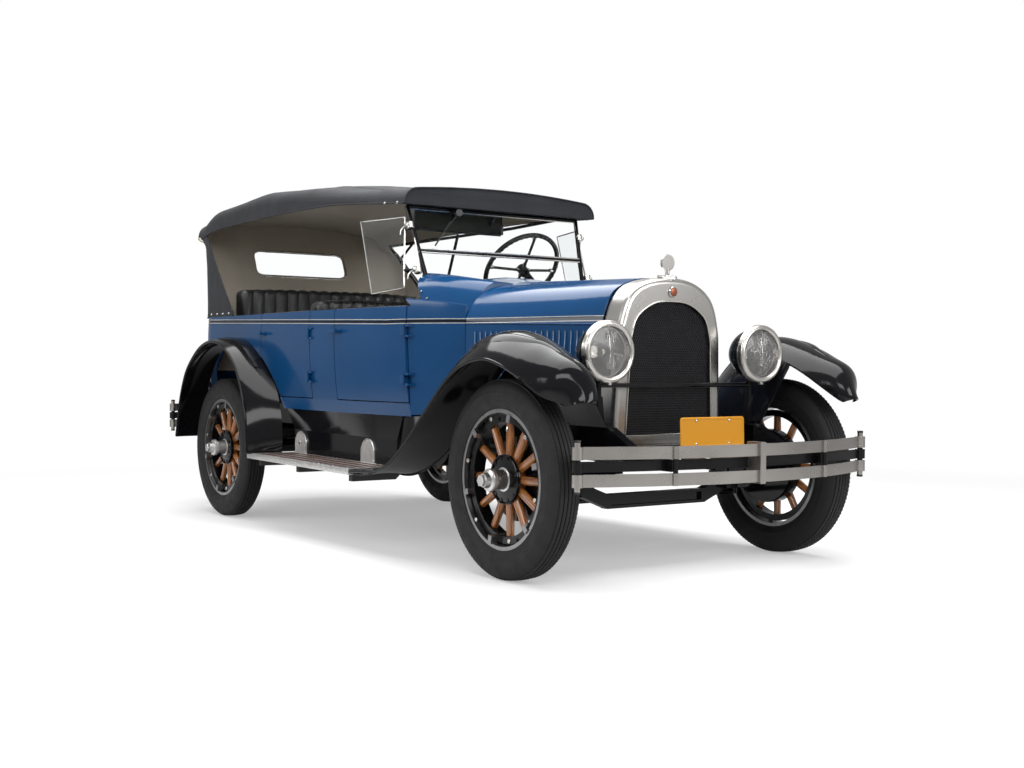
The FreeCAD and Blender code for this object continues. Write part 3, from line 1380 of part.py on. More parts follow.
def driveline():
    """Clutch housing, gearbox on its legs, gear lever and propeller shaft to the rear axle."""
    housing = Part.makeCone(housing_radius, 60, housing_length,
                            V(0, engine_rear_y + seat_gap, shaft_z + 40), Y_AXIS)
    gearbox = box(-gearbox_half_width, gearbox_half_width, engine_rear_y + housing_length - 2, gearbox_rear_y,
                  shaft_z - gearbox_half_height, sill_z - 9)
    end = V(0, rear_axle_y - 152, tyre_radius - 12)
    shaft = rod(V(0, gearbox_rear_y - 2, shaft_z), end, shaft_radius)
    lever = rod(lever_foot, lever_top, lever_radius)
    knob = Part.makeSphere(lever_knob_radius, lever_top)
    flange_z = rail_bottom + rail_wall + seat_gap
    legs = [box(side * 70, side * (rail_x + 8), -430, -380, flange_z, flange_z + 40) for side in (-1, 1)]
    return raked(fuse([housing, gearbox, shaft, lever, knob, *legs]), frame_rake)


def exhaust():
    """Pipe from the engine's right side, silencer and tail pipe, hung from a cross member."""
    x = exhaust_x
    pipe_z = rail_bottom - exhaust_drop
    front = V(x, exhaust_front_y, pipe_z)
    top = V(x, exhaust_front_y, exhaust_top_z)
    manifold = V(-engine_half_width - seat_gap, exhaust_front_y, exhaust_top_z)
    pieces = [rod(V(x, silencer_front_y, pipe_z), V(x, silencer_rear_y, pipe_z), silencer_radius),
              rod(front, V(x, silencer_front_y + 10, pipe_z), exhaust_radius),
              rod(front, top, exhaust_radius), rod(top, manifold, exhaust_radius),
              rod(V(x, silencer_rear_y - 10, pipe_z), V(x, tail_pipe_end_y, pipe_z - 6), exhaust_radius - 2),
              Part.makeSphere(exhaust_radius, front), Part.makeSphere(exhaust_radius, top),
              box(x - 8, x + 8, 345, 365, pipe_z, rail_bottom + cross_member_low - seat_gap)]
    return raked(fuse(pieces), frame_rake)


def fuel_tank():
    """A round tank across the tail, with straps to the last cross member and a filler."""
    y = tank_y
    z = tank_z
    tank = rod(V(-tank_half_length, y, z), V(tank_half_length, y, z), tank_radius)
    tail = cross_member_places[-1] - seat_gap
    straps = [box(x - tank_strap_width / 2, x + tank_strap_width / 2, y, tail, z + tank_radius - 30, z + tank_radius)
              for x in (-tank_strap_x, tank_strap_x)]
    filler = rod(V(filler_x, y + 100, z - 30), V(filler_x, y + 180, z), filler_radius)
    return raked(fuse([tank, *straps, filler]), frame_rake)


def floor_pan():
    """Floor and toe boards, seat riser, the pan over the axle, wheelhouse sides and front seat box."""
    t = floor_thickness
    low = sill_z + seat_gap
    riser_y = 1060.0
    pan_z = 800.0
    front = front_door_front_y
    inset = turn_under + tub_wall + 3
    floor = Part.Face(plan_face(inset, low, front)).extrude(V(0, 0, t))
    floor = floor.common(box(-900, 900, front - 10, riser_y + t, low, low + t))
    toe = polygon([V(-420, -588, low), V(-500, -510, low), V(-548, front + 1, low),
                   V(548, front + 1, low), V(500, -510, low), V(420, -588, low)]).extrude(V(0, 0, t))
    riser = box(-640, 640, riser_y, riser_y + t, low, pan_z)
    pan = Part.Face(plan_face(tub_wall + 8, pan_z - t, front)).extrude(V(0, 0, t))
    pan = pan.common(box(-900, 900, riser_y, 3000, pan_z - t, pan_z))
    arch = arch_tool(15.0).common(box(-900, 900, riser_y, 1700, pan_z - t, 1100))
    house_sides = [arch.common(box(side * 655, side * 660, 0, 3000, 0, 1100)) for side in (-1, 1)]
    seat_box = box(-520, 520, 215, 640, low, seat_box_z)
    lever_hole = rod(lever_foot, lever_top, 16)
    return raked(fuse([floor, toe, riser, pan, *house_sides, seat_box]).cut(lever_hole), frame_rake)


def spare():
    """Spare wheel upright behind the body, on a carrier bolted to the last cross member."""
    tail = frame_tail_y + seat_gap
    y = frame_tail_y + spare_gap + tyre_width / 2
    z = spare_z
    tyre_shape = tyre()
    tyre_shape.rotate(V(0, 0, 0), Z_AXIS, 90)
    tyre_shape.translate(V(0, y, z))
    bore = spare_plate_bore
    reach = spare_spider_reach
    half = spare_spider_half
    plate = ring([(bore, -7), (bead_radius - 3, -7), (bead_radius - 3, 7), (bore, 7)])
    spider = [box(-7, 7, -half, half, -reach, reach), box(-7, 7, -reach, reach, -half, half)]
    wheel = fuse([rim(), plate, *spider])
    wheel.rotate(V(0, 0, 0), Z_AXIS, 90)
    wheel.translate(V(0, y, z))
    legs = []
    for side in (-1, 1):
        inner = side * (spare_pin_x - 20)
        outer = side * (spare_leg_x + 60)
        foot = side * spare_leg_x
        leg = polygon([V(foot, tail, 520), V(outer, tail, 520), V(outer, tail, 590),
                       V(side * 155, tail, spare_pin_z + 16), V(inner, tail, spare_pin_z + 16),
                       V(inner, tail, spare_pin_z - 10), V(foot, tail, 585)])
        legs.append(leg.extrude(V(0, 10, 0)))
        pin = side * spare_pin_x
        legs.append(rod(V(pin, tail + 8, spare_pin_z), V(pin, y, spare_pin_z), spare_pin_radius))
    carrier = fuse([wheel, *legs])
    return raked(tyre_shape, frame_rake), raked(carrier, frame_rake)


def tail_lamp():
    """A round lamp on a bent stem that stands on the right rear outrigger."""
    top = rail_bottom + rail_height - 7 + seat_gap
    y = tail_lamp_y
    half = tail_stem_half
    body = Part.makeCylinder(tail_lamp_radius, tail_lamp_depth, V(tail_lamp_x, y - 20, tail_lamp_z), Y_AXIS)
    stem = box(tail_stem_x - half, tail_stem_x + half, y - half, y + half, top, tail_lamp_z + half)
    across = box(tail_lamp_x, tail_stem_x + half, y - half, y + half, tail_lamp_z - half, tail_lamp_z + half)
    return raked(fuse([body, stem, across]), frame_rake)


def main():
    os.makedirs("parts", exist_ok=True)
    wheel_sets()
    nodes["front_axle"] = front_axle()
    left = knuckle()
    nodes["knuckle_left"] = left
    nodes["knuckle_right"] = mirrored(left)
    nodes["tie_rod"] = tie_rod()
    nodes["rear_axle"] = rear_axle()
    nodes["leaf_springs"] = leaf_springs()
    nodes["frame"] = frame()
    nodes["front_fenders"] = front_fenders()
    nodes["rear_fenders"] = rear_fenders()
    nodes["running_boards"] = running_boards()
    nodes["splash_aprons"] = Part.makeCompound([aprons(), hood_ledges()])
    nodes["front_bumper"] = bumper(bumper_end_y, bumper_nose_y, 0, horn_y - 22, rail_x)
    nodes["rear_bumper"] = bumper(rear_bumper_end_y, rear_bumper_nose_y, rear_bumper_lift, frame_tail_y, rail_x)
    wall, fixed = tub_parts()
    between = box(-1000, 1000, front_door_rear_y - 60, rear_door_front_y + 60, door_bottom_z, 2000)
    nodes["body_tub"] = raked(fixed.cut(between), frame_rake)
    pins = {"front": [], "rear": []}
    for name, front_y, rear_y in (("front", front_door_front_y, front_door_rear_y),
                                  ("rear", rear_door_front_y, rear_door_rear_y)):
        panel = door(wall.cut(arch_tool(door_gap + 5.0)), front_y, rear_y, door_bottom_z)
        hinges = [door_hinge(front_y + door_gap / 2, z) for z in hinge_places]
        for leaf_side, body_side in hinges:
            pins[name].append(raked(both(body_side), frame_rake))
        leaf = raked(fuse([panel, handle(rear_y - 60, 985), *[pair[0] for pair in hinges]]), frame_rake)
        nodes["door_" + name + "_left"] = leaf
        nodes["door_" + name + "_right"] = mirrored(leaf)
    nodes["centre_pillars"] = raked(fixed.common(between), frame_rake).fuse(pins["rear"]).removeSplitter()
    nodes["cowl"] = cowl().fuse([raked(ridge_rod(), hood_rake), *pins["front"]])
    side = raked(hood_side(), hood_rake)
    nodes["hood_top_left"] = raked(hood_top(1), hood_rake)
    nodes["hood_top_right"] = mirrored(raked(hood_top(-1), hood_rake))
    nodes["hood_side_left"] = side
    nodes["hood_side_right"] = mirrored(side)
    nodes["radiator_shell"] = radiator_shell()
    nodes["radiator_core"] = radiator_core()
    nodes["headlamps"] = headlamps()
    nodes["headlamp_lenses"] = headlamp_lenses()
    nodes["windscreen_frame"] = windscreen_frame()
    nodes["windscreen_glass"] = windscreen_glass()
    front_bottom, front_back = seat(200, seat_box_z + seat_gap, 560, 600, 1165)
    rear_bottom, rear_back = seat(1080, 800 + seat_gap, 600, 1500, 1262)
    nodes["front_seat"] = raked(Part.makeCompound([front_bottom, front_back]), frame_rake)
    nodes["rear_seat"] = raked(Part.makeCompound([rear_bottom, rear_back]), frame_rake)
    nodes["canopy"] = canopy()
    nodes["top_bows"] = top_bows()
    nodes["steering_wheel"] = steering_wheel()
    nodes["steering_column"] = steering_column()
    nodes["engine"] = engine()
    nodes["driveline"] = driveline()
    nodes["exhaust"] = exhaust()
    nodes["fuel_tank"] = fuel_tank()
    nodes["floor_pan"] = floor_pan()
    spare_tyre, spare_carrier = spare()
    nodes["spare_tyre"] = spare_tyre
    nodes["spare_carrier"] = spare_carrier
    nodes["tail_lamp"] = tail_lamp()
    export()


main()
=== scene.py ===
# %% [markdown]
# # A touring car of the nineteen twenties
# The car stands on a pale studio floor. Its metal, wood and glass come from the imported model,
# which is loaded first and never moved. Everything that is added here is built round it, in
# metres, with X to the car's left, Y to its rear and Z up.

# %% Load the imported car
import bpy, bmesh, math
from mathutils import Matrix, Vector, noise


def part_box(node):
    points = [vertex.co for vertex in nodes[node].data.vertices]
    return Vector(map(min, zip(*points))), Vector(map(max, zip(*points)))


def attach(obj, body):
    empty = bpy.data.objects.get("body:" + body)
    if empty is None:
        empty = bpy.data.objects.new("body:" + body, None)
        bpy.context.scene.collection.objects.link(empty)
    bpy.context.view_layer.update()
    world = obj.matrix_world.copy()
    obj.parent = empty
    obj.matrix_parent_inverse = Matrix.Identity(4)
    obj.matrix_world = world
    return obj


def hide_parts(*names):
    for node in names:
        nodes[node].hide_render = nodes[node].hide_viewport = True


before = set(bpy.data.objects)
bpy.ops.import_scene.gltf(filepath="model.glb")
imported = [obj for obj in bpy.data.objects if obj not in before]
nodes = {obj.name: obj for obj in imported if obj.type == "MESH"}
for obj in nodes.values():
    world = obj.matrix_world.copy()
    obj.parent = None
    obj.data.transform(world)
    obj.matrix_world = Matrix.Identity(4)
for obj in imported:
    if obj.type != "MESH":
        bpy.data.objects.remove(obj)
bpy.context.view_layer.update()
ROOT = "chassis_and_body"

# %% [markdown]
# ## Places that the pieces share
# The sprung parts of the car lean a little nose down on their springs, and the hood line leans a
# little more. Points are laid out level and then turned by these two rakes, about the axis across
# the car on the ground, midway between the axles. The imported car's own origin lies a little
# further back than that axis, so every laid-out point is moved by the same shift.

# %% Rakes, the shift to the car's origin, and sizes that several pieces share
SHIFT = -0.193529
BODY_RAKE = math.radians(0.812)
HOOD_RAKE = math.radians(2.085)
HALF_TRACK, AXLE, WHEEL_Z = 0.711, 1.385, 0.3806
FRONT_AXLE, REAR_AXLE = -AXLE, AXLE
BELT_HOOD, BELT_BODY = 1.0267, 1.0205
BELT_BEAD = 0.0095
LAMP_X, LAMP_Y, LAMP_Z = 0.400, -1.591, 0.884
ORIGIN, UP = (0, 0, 0), (0, 0, 1)


def raked(x, y, z, rake=BODY_RAKE):
    """A point laid out level, turned nose down and moved to the car's own frame."""
    return Vector((x, y * math.cos(rake) - z * math.sin(rake) + SHIFT,
                   y * math.sin(rake) + z * math.cos(rake)))


# %% [markdown]
# ## Camera
# The photograph was taken from the right front at waist height. The lens and place were solved
# from the four wheels, so the camera is set by those numbers and needs no shift.

# %% Camera
camera_data = bpy.data.cameras.new("camera")
camera_data.sensor_width = 36.0
camera_data.lens = 45.014
camera = bpy.data.objects.new("camera", camera_data)
bpy.context.scene.collection.objects.link(camera)
camera.location = (-3.4304, -5.3812 + SHIFT, 0.7605)
camera.rotation_euler = Vector((0.5636, 0.8260, -0.0043)).to_track_quat("-Z", "Y").to_euler()
bpy.context.scene.camera = camera
print("camera at", tuple(round(v, 3) for v in camera.location))

# %% [markdown]
# ## Studio
# Gloss black fenders show whatever stands round them, so the light comes from a few broad soft
# panels: one overhead, one in front, one at the car's right and one from the camera's side. The
# floor is a large pale sheet.
# Camera and glass rays see a pale backdrop. The world's own light, and what mirrors show of it,
# stay modest, so that enamel looks deep and its highlights come from the panels.

# %% Studio lights, floor and backdrop
def soft_panel(name, place, aim, size, power):
    """A rectangular area lamp at a place, turned to a point."""
    lamp = bpy.data.lights.new(name, "AREA")
    lamp.shape = "RECTANGLE"
    lamp.size, lamp.size_y = size
    lamp.energy = power
    panel = bpy.data.objects.new(name, lamp)
    panel.location = place
    panel.rotation_euler = (Vector(aim) - Vector(place)).to_track_quat("-Z", "Y").to_euler()
    bpy.context.scene.collection.objects.link(panel)
    return panel


soft_panel("overhead_panel", (0.0, 0.0, 4.6), (0, 0, 0.6), (4.6, 6.5), 430)
soft_panel("front_panel", (1.8, -6.8, 2.6), (0, -1.5, 0.7), (3.2, 2.2), 150)
soft_panel("right_panel", (-6.2, 0.6, 2.7), (0, 0.2, 0.8), (5.5, 1.6), 120)
soft_panel("camera_side_panel", (-3.4, -5.4, 3.7), (-0.5, -1.2, 0.9), (3.2, 1.5), 95)

world = bpy.data.worlds.new("studio_world")
world.use_nodes = True
bpy.context.scene.world = world
links = world.node_tree.links
background = world.node_tree.nodes["Background"]
path = world.node_tree.nodes.new("ShaderNodeLightPath")
seen = world.node_tree.nodes.new("ShaderNodeMath")
seen.operation = "ADD"
seen.use_clamp = True
links.new(path.outputs["Is Camera Ray"], seen.inputs[0])
links.new(path.outputs["Is Transmission Ray"], seen.inputs[1])
level = world.node_tree.nodes.new("ShaderNodeMapRange")
level.inputs["To Min"].default_value = 0.36
level.inputs["To Max"].default_value = 1.0
links.new(seen.outputs[0], level.inputs["Value"])
mirrored = world.node_tree.nodes.new("ShaderNodeMath")
mirrored.operation = "MULTIPLY_ADD"
mirrored.inputs[1].default_value = 0.04
links.new(path.outputs["Is Glossy Ray"], mirrored.inputs[0])
links.new(level.outputs["Result"], mirrored.inputs[2])
background.inputs["Color"].default_value = (1.0, 1.0, 1.0, 1)
links.new(mirrored.outputs[0], background.inputs["Strength"])
bpy.context.scene.view_settings.view_transform = "Standard"

floor_mesh = bpy.data.meshes.new("studio_floor")
floor_mesh.from_pydata([(-30, -30, 0), (30, -30, 0), (30, 30, 0), (-30, 30, 0)], [], [(0, 1, 2, 3)])
studio_floor = bpy.data.objects.new("studio_floor", floor_mesh)
bpy.context.scene.collection.objects.link(studio_floor)

# %% [markdown]
# ## A short way to write materials
# Each finish below is a Principled shader with a few nodes in front of it. `finish` makes the
# material and sets the plain numbers on the shader's own sockets, and `wire` joins two sockets.

# %% Material helpers
def finish(name, color, roughness, metallic=0.0, **sockets):
    """A node material whose plain values sit on the Principled shader itself."""
    material = bpy.data.materials.new(name)
    material.use_nodes = True
    shader = material.node_tree.nodes["Principled BSDF"]
    shader.inputs["Base Color"].default_value = (*color, 1)
    shader.inputs["Roughness"].default_value = roughness
    shader.inputs["Metallic"].default_value = metallic
    for key, value in sockets.items():
        shader.inputs[key.replace("_", " ")].default_value = value
    material.diffuse_color = (*color, 1)
    return material


def add_node(material, kind, **values):
    """A node in a material, with some of its inputs or settings given by name."""
    node = material.node_tree.nodes.new(kind)
    for key, value in values.items():
        if hasattr(node, key):
            setattr(node, key, value)
        else:
            node.inputs[key.replace("_", " ")].default_value = value
    return node


def wire(material, source, target):
    material.node_tree.links.new(source, target)


def shader_of(material):
    return material.node_tree.nodes["Principled BSDF"]


# %% [markdown]
# ## Effects that many finishes share
# Two small node groups are used again and again. `surface_film` gives the faint cloudy change
# in gloss that dust and polish leave on paint, and `fine_grain` makes a height for bumps from
# fine noise. Each takes its sizes as named inputs.

# %% Shared effect groups
def effect_group(name, inputs, outputs):
    """An empty shader node group with named sockets."""
    group = bpy.data.node_groups.new(name, "ShaderNodeTree")
    for key, value in inputs.items():
        socket = group.interface.new_socket(key, in_out="INPUT", socket_type="NodeSocketFloat")
        socket.default_value = value
    for key, kind in outputs.items():
        group.interface.new_socket(key, in_out="OUTPUT", socket_type=kind)
    start = group.nodes.new("NodeGroupInput")
    end = group.nodes.new("NodeGroupOutput")
    return group, start, end


def film_group():
    """Cloudy variation: a roughness and a mask that drift over some centimetres."""
    group, start, end = effect_group("surface_film", {"Scale": 3.0, "Low": 0.05, "High": 0.15},
                                     {"Roughness": "NodeSocketFloat", "Mask": "NodeSocketFloat"})
    place = group.nodes.new("ShaderNodeTexCoord")
    noise = group.nodes.new("ShaderNodeTexNoise")
    noise.inputs["Detail"].default_value = 6.0
    noise.inputs["Roughness"].default_value = 0.62
    ramp = group.nodes.new("ShaderNodeMapRange")
    ramp.inputs["From Min"].default_value = 0.35
    ramp.inputs["From Max"].default_value = 0.68
    group.links.new(place.outputs["Object"], noise.inputs["Vector"])
    group.links.new(start.outputs["Scale"], noise.inputs["Scale"])
    group.links.new(noise.outputs["Fac"], ramp.inputs["Value"])
    group.links.new(start.outputs["Low"], ramp.inputs["To Min"])
    group.links.new(start.outputs["High"], ramp.inputs["To Max"])
    group.links.new(ramp.outputs["Result"], end.inputs["Roughness"])
    group.links.new(noise.outputs["Fac"], end.inputs["Mask"])
    return group


def grain_group():
    """A fine grain that is used as a bump height."""
    group, start, end = effect_group("fine_grain", {"Scale": 400.0}, {"Height": "NodeSocketFloat"})
    place = group.nodes.new("ShaderNodeTexCoord")
    noise = group.nodes.new("ShaderNodeTexNoise")
    noise.inputs["Detail"].default_value = 3.0
    group.links.new(place.outputs["Object"], noise.inputs["Vector"])
    group.links.new(start.outputs["Scale"], noise.inputs["Scale"])
    group.links.new(noise.outputs["Fac"], end.inputs["Height"])
    return group


SURFACE_FILM = film_group()
FINE_GRAIN = grain_group()


def place_group(material, group, **values):
    """Puts one shared effect into a material with its own values."""
    node = material.node_tree.nodes.new("ShaderNodeGroup")
    node.node_tree = group
    for key, value in values.items():
        node.inputs[key].default_value = value
    return node


def film(material, scale, low, high):
    """Lets the surface film drive a material's roughness."""
    node = place_group(material, SURFACE_FILM, Scale=scale, Low=low, High=high)
    wire(material, node.outputs["Roughness"], shader_of(material).inputs["Roughness"])
    return node


def grain(material, scale, distance, strength=1.0):
    """Gives a material a fine bump."""
    bumped(material, place_group(material, FINE_GRAIN, Scale=scale).outputs["Height"], strength,
           distance)


def clouded(material, scale, low, high, dark, light):
    """A tone that drifts between two colours with the same film that drives the gloss."""
    cloud = film(material, scale, low, high)
    return blend_color(material, cloud.outputs["Mask"], dark, light)


def bumped(material, height, strength, distance):
    """Lets a height stand up from the surface."""
    bump = add_node(material, "ShaderNodeBump", Strength=strength, Distance=distance)
    wire(material, height, bump.inputs["Height"])
    set_shader(material, Normal=bump.outputs["Normal"])


# %% [markdown]
# ## Paint, metal and wood
# The blue enamel carries the belt stripe: a black band between two pale lines. The stripe follows
# the belt moulding, which on hood and cowl runs with the hood's rake. So a mask measures each
# point's height above that line, from Object coordinates, and the band and lines are cut out of
# it by comparisons. The same way of masking colours the parts of a wheel by their distance from
# the wheel's middle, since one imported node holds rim, felloe, flange and cap.

# %% Mask helpers
def measure(material, expression):
    """Builds math nodes for an expression tree of tuples, such as ("ADD", a, b)."""
    if isinstance(expression, (int, float)) or hasattr(expression, "links"):
        return expression
    operation, *terms = expression
    node = add_node(material, "ShaderNodeMath", operation=operation)
    for i, term in enumerate(terms):
        value = measure(material, term)
        if isinstance(value, (int, float)):
            node.inputs[i].default_value = value
        else:
            wire(material, value, node.inputs[i])
    return node.outputs[0]


def object_axes(material):
    """The three Object coordinates of the point, as sockets."""
    place = add_node(material, "ShaderNodeTexCoord")
    split = add_node(material, "ShaderNodeSeparateXYZ")
    wire(material, place.outputs["Object"], split.inputs[0])
    return split.outputs["X"], split.outputs["Y"], split.outputs["Z"]


def blend_color(material, mask, base, other):
    """A colour that changes from base to other where the mask is one."""
    mix = material.node_tree.nodes.new("ShaderNodeMix")
    mix.data_type = "RGBA"
    wire(material, mask, mix.inputs["Factor"])
    for socket, value in ((mix.inputs[6], base), (mix.inputs[7], other)):
        if hasattr(value, "links"):
            wire(material, value, socket)
        else:
            socket.default_value = (*value, 1)
    return mix.outputs[2]


def blend_value(material, mask, base, other):
    """A number that changes from base to other where the mask is one."""
    mix = material.node_tree.nodes.new("ShaderNodeMix")
    mix.data_type = "FLOAT"
    wire(material, mask, mix.inputs["Factor"])
    for socket, value in ((mix.inputs[2], base), (mix.inputs[3], other)):
        if hasattr(value, "links"):
            wire(material, value, socket)
        else:
            socket.default_value = value
    return mix.outputs[0]


def set_shader(material, **sources):
    for key, value in sources.items():
        wire(material, value, shader_of(material).inputs[key.replace("_", " ")])


# %% Colours, in linear light
BLUE = (0.006, 0.062, 0.178)
BLACK = (0.0045, 0.0045, 0.0055)
STRIPE_PALE = (0.52, 0.50, 0.44)
NICKEL = (0.62, 0.60, 0.565)
ALUMINIUM = (0.62, 0.61, 0.60)
RIM_PAINT = (0.30, 0.30, 0.30)
RUBBER = (0.012, 0.012, 0.013)

# %% Blue enamel with the belt stripe
def belt_height(material):
    """Height above the belt line: hood rake ahead of the cowl's rear, body rake behind it."""
    x, y, z = object_axes(material)
    ahead = ("ADD", BELT_HOOD, ("MULTIPLY", ("SUBTRACT", y, SHIFT), math.tan(HOOD_RAKE)))
    behind = ("ADD", BELT_BODY, ("MULTIPLY", ("SUBTRACT", y, SHIFT), math.tan(BODY_RAKE)))
    return measure(material, ("SUBTRACT", z, ("MAXIMUM", ahead, behind)))


def blue_enamel():
    material = finish("blue_enamel_paint", BLUE, 0.16, Specular_IOR_Level=0.38)
    height = belt_height(material)
    away = measure(material, ("ABSOLUTE", height))
    band = measure(material, ("LESS_THAN", away, 0.0055))
    line = measure(material, ("LESS_THAN", ("ABSOLUTE", ("SUBTRACT", away, BELT_BEAD)), 0.0016))
    tone = clouded(material, 2.2, 0.10, 0.20, (0.003, 0.044, 0.135), (0.006, 0.064, 0.186))
    striped = blend_color(material, line, tone, STRIPE_PALE)
    set_shader(material, Base_Color=blend_color(material, band, striped, BLACK))
    return material


# %% Gloss black, nickel, aluminium and plain dark metal
def gloss_black(name="gloss_black_enamel"):
    material = finish(name, BLACK, 0.10, Specular_IOR_Level=0.26)
    set_shader(material, Base_Color=clouded(material, 2.6, 0.07, 0.15, (0.0035, 0.0035, 0.0045),
                                            (0.006, 0.006, 0.0075)))
    return material


def plated(name, color, low, high, scale=9.0):
    """A plated or polished metal with drifting gloss."""
    material = finish(name, color, low, 1.0)
    darker = tuple(0.97 * c for c in color)
    set_shader(material, Base_Color=clouded(material, scale, low, high, darker, color))
    return material


def cast_metal():
    material = finish("painted_iron", (0.06, 0.06, 0.062), 0.55, 0.3)
    film(material, 14.0, 0.45, 0.75)
    grain(material, 260.0, 0.0004)
    return material


# %% Rubber
def tyre_rubber():
    """Matt black rubber with patches of pale dust that drift at random."""
    material = finish("tyre_rubber", RUBBER, 0.6, Specular_IOR_Level=0.3)
    set_shader(material, Base_Color=clouded(material, 18.0, 0.52, 0.78, (0.006, 0.006, 0.007),
                                            (0.019, 0.0185, 0.018)))
    grain(material, 700.0, 0.00012)
    return material


# %% Wood of the spokes, with its grain along each spoke
def wheel_axes(material):
    """Radius from the wheel's middle, height above it, and distance outside the wheel's plane."""
    x, y, z = object_axes(material)
    along = ("SUBTRACT", ("ABSOLUTE", ("SUBTRACT", y, SHIFT)), AXLE)
    up = ("SUBTRACT", z, WHEEL_Z)
    radius = measure(material, ("SQRT", ("ADD", ("MULTIPLY", along, along), ("MULTIPLY", up, up))))
    angle = measure(material, ("ARCTAN2", measure(material, along), up))
    outside = measure(material, ("SUBTRACT", ("ABSOLUTE", x), HALF_TRACK))
    return radius, angle, outside


def spoke_wood():
    material = finish("varnished_spoke_wood", (0.16, 0.055, 0.018), 0.22, Coat_Weight=0.8,
                      Coat_Roughness=0.08)
    radius, angle, outside = wheel_axes(material)
    vector = add_node(material, "ShaderNodeCombineXYZ")
    for source, socket in ((("MULTIPLY", radius, 5.0), "X"), (("MULTIPLY", angle, 22.0), "Y"),
                           (("MULTIPLY", outside, 90.0), "Z")):
        wire(material, measure(material, source), vector.inputs[socket])
    noise = add_node(material, "ShaderNodeTexNoise", Scale=1.0, Detail=7.0, Roughness=0.65)
    wire(material, vector.outputs[0], noise.inputs["Vector"])
    ramp = add_node(material, "ShaderNodeValToRGB")
    ramp.color_ramp.elements[0].position = 0.36
    ramp.color_ramp.elements[0].color = (0.105, 0.030, 0.008, 1)
    ramp.color_ramp.elements[1].position = 0.66
    ramp.color_ramp.elements[1].color = (0.50, 0.19, 0.048, 1)
    wire(material, noise.outputs["Fac"], ramp.inputs["Fac"])
    set_shader(material, Base_Color=ramp.outputs["Color"])
    bumped(material, noise.outputs["Fac"], 0.25, 0.0004)
    return material


def wheel_metal():
    """Rim and lugs pale, felloe and drum black, cap of aluminium, by place on the wheel."""
    material = finish("wheel_metal", BLACK, 0.2, Specular_IOR_Level=0.3)
    radius, angle, outside = wheel_axes(material)
    rim = measure(material, ("GREATER_THAN", radius, 0.2437))
    lug = measure(material, ("MULTIPLY", ("GREATER_THAN", radius, 0.2165),
                             ("GREATER_THAN", outside, 0.0262)))
    cap = measure(material, ("MULTIPLY", ("LESS_THAN", radius, 0.0455),
                             ("GREATER_THAN", outside, 0.0262)))
    bare = measure(material, ("MINIMUM", 1.0, ("ADD", rim, lug)))
    cloud = place_group(material, SURFACE_FILM, Scale=8.0, Low=0.24, High=0.42)
    color = blend_color(material, bare, BLACK, RIM_PAINT)
    color = blend_color(material, cap, color, ALUMINIUM)
    shiny = measure(material, ("MAXIMUM", bare, cap))
    set_shader(material, Base_Color=color, Metallic=shiny,
               Roughness=blend_value(material, shiny, 0.16, cloud.outputs["Roughness"]))
    return material


# %% Headlamp shells: a bright rim, black bowls and posts
def lamp_metal():
    material = finish("lamp_metal", BLACK, 0.14, Specular_IOR_Level=0.3)
    x, y, z = object_axes(material)
    face = raked(0, LAMP_Y, LAMP_Z)
    rim = measure(material, ("LESS_THAN", y, face.y + 0.0335))
    cloud = place_group(material, SURFACE_FILM, Scale=8.0, Low=0.16, High=0.30)
    set_shader(material, Base_Color=blend_color(material, rim, BLACK, NICKEL), Metallic=rim,
               Roughness=blend_value(material, rim, 0.14, cloud.outputs["Roughness"]))
    return material


# %% Bumper colours by place
def bumper_metal():
    """Nickel bars, and black for the backing bar, arms and links between and behind them."""
    material = finish("bumper_metal", NICKEL, 0.28, 1.0, Specular_IOR_Level=0.3)
    x, y, z = object_axes(material)
    rise = ("MULTIPLY", ("SUBTRACT", y, SHIFT), math.tan(BODY_RAKE))
    level = measure(material, ("SUBTRACT", z, rise))
    # Rear and front bumpers sit 28 mm apart in height; both gaps are measured from their own bars.
    lift = ("MULTIPLY", ("GREATER_THAN", y, 0.0), 0.028)
    from_middle = measure(material, ("ABSOLUTE", ("SUBTRACT", ("SUBTRACT", level, 0.4765), lift)))
    centre_clamp = measure(material, ("LESS_THAN", ("ABSOLUTE", x), 0.0145))
    black = measure(material, ("MULTIPLY", ("LESS_THAN", from_middle, 0.0258),
                               ("SUBTRACT", 1.0, centre_clamp)))
    cloud = place_group(material, SURFACE_FILM, Scale=3.0, Low=0.25, High=0.33)
    set_shader(material, Base_Color=blend_color(material, black, (0.46, 0.435, 0.41), BLACK),
               Metallic=measure(material, ("SUBTRACT", 1.0, black)),
               Roughness=cloud.outputs["Roughness"])
    return material


# %% Running board: aluminium frame, the brown panels are pieces of their own
def brushed_aluminium():
    """Aluminium with fine brushing along the board."""
    material = finish("brushed_aluminium", ALUMINIUM, 0.34, 1.0)
    place = add_node(material, "ShaderNodeTexCoord")
    stretch = add_node(material, "ShaderNodeMapping")
    stretch.inputs["Scale"].default_value = (900.0, 6.0, 900.0)
    noise = add_node(material, "ShaderNodeTexNoise", Scale=1.0, Detail=3.0)
    wire(material, place.outputs["Object"], stretch.inputs["Vector"])
    wire(material, stretch.outputs["Vector"], noise.inputs["Vector"])
    bumped(material, noise.outputs["Fac"], 0.3, 0.0001)
    film(material, 7.0, 0.28, 0.46)
    return material


def brown_lino():
    material = finish("brown_lino", (0.085, 0.042, 0.027), 0.45)
    set_shader(material, Base_Color=clouded(material, 24.0, 0.36, 0.60, (0.060, 0.028, 0.018),
                                            (0.125, 0.066, 0.044)))
    grain(material, 500.0, 0.0002)
    return material


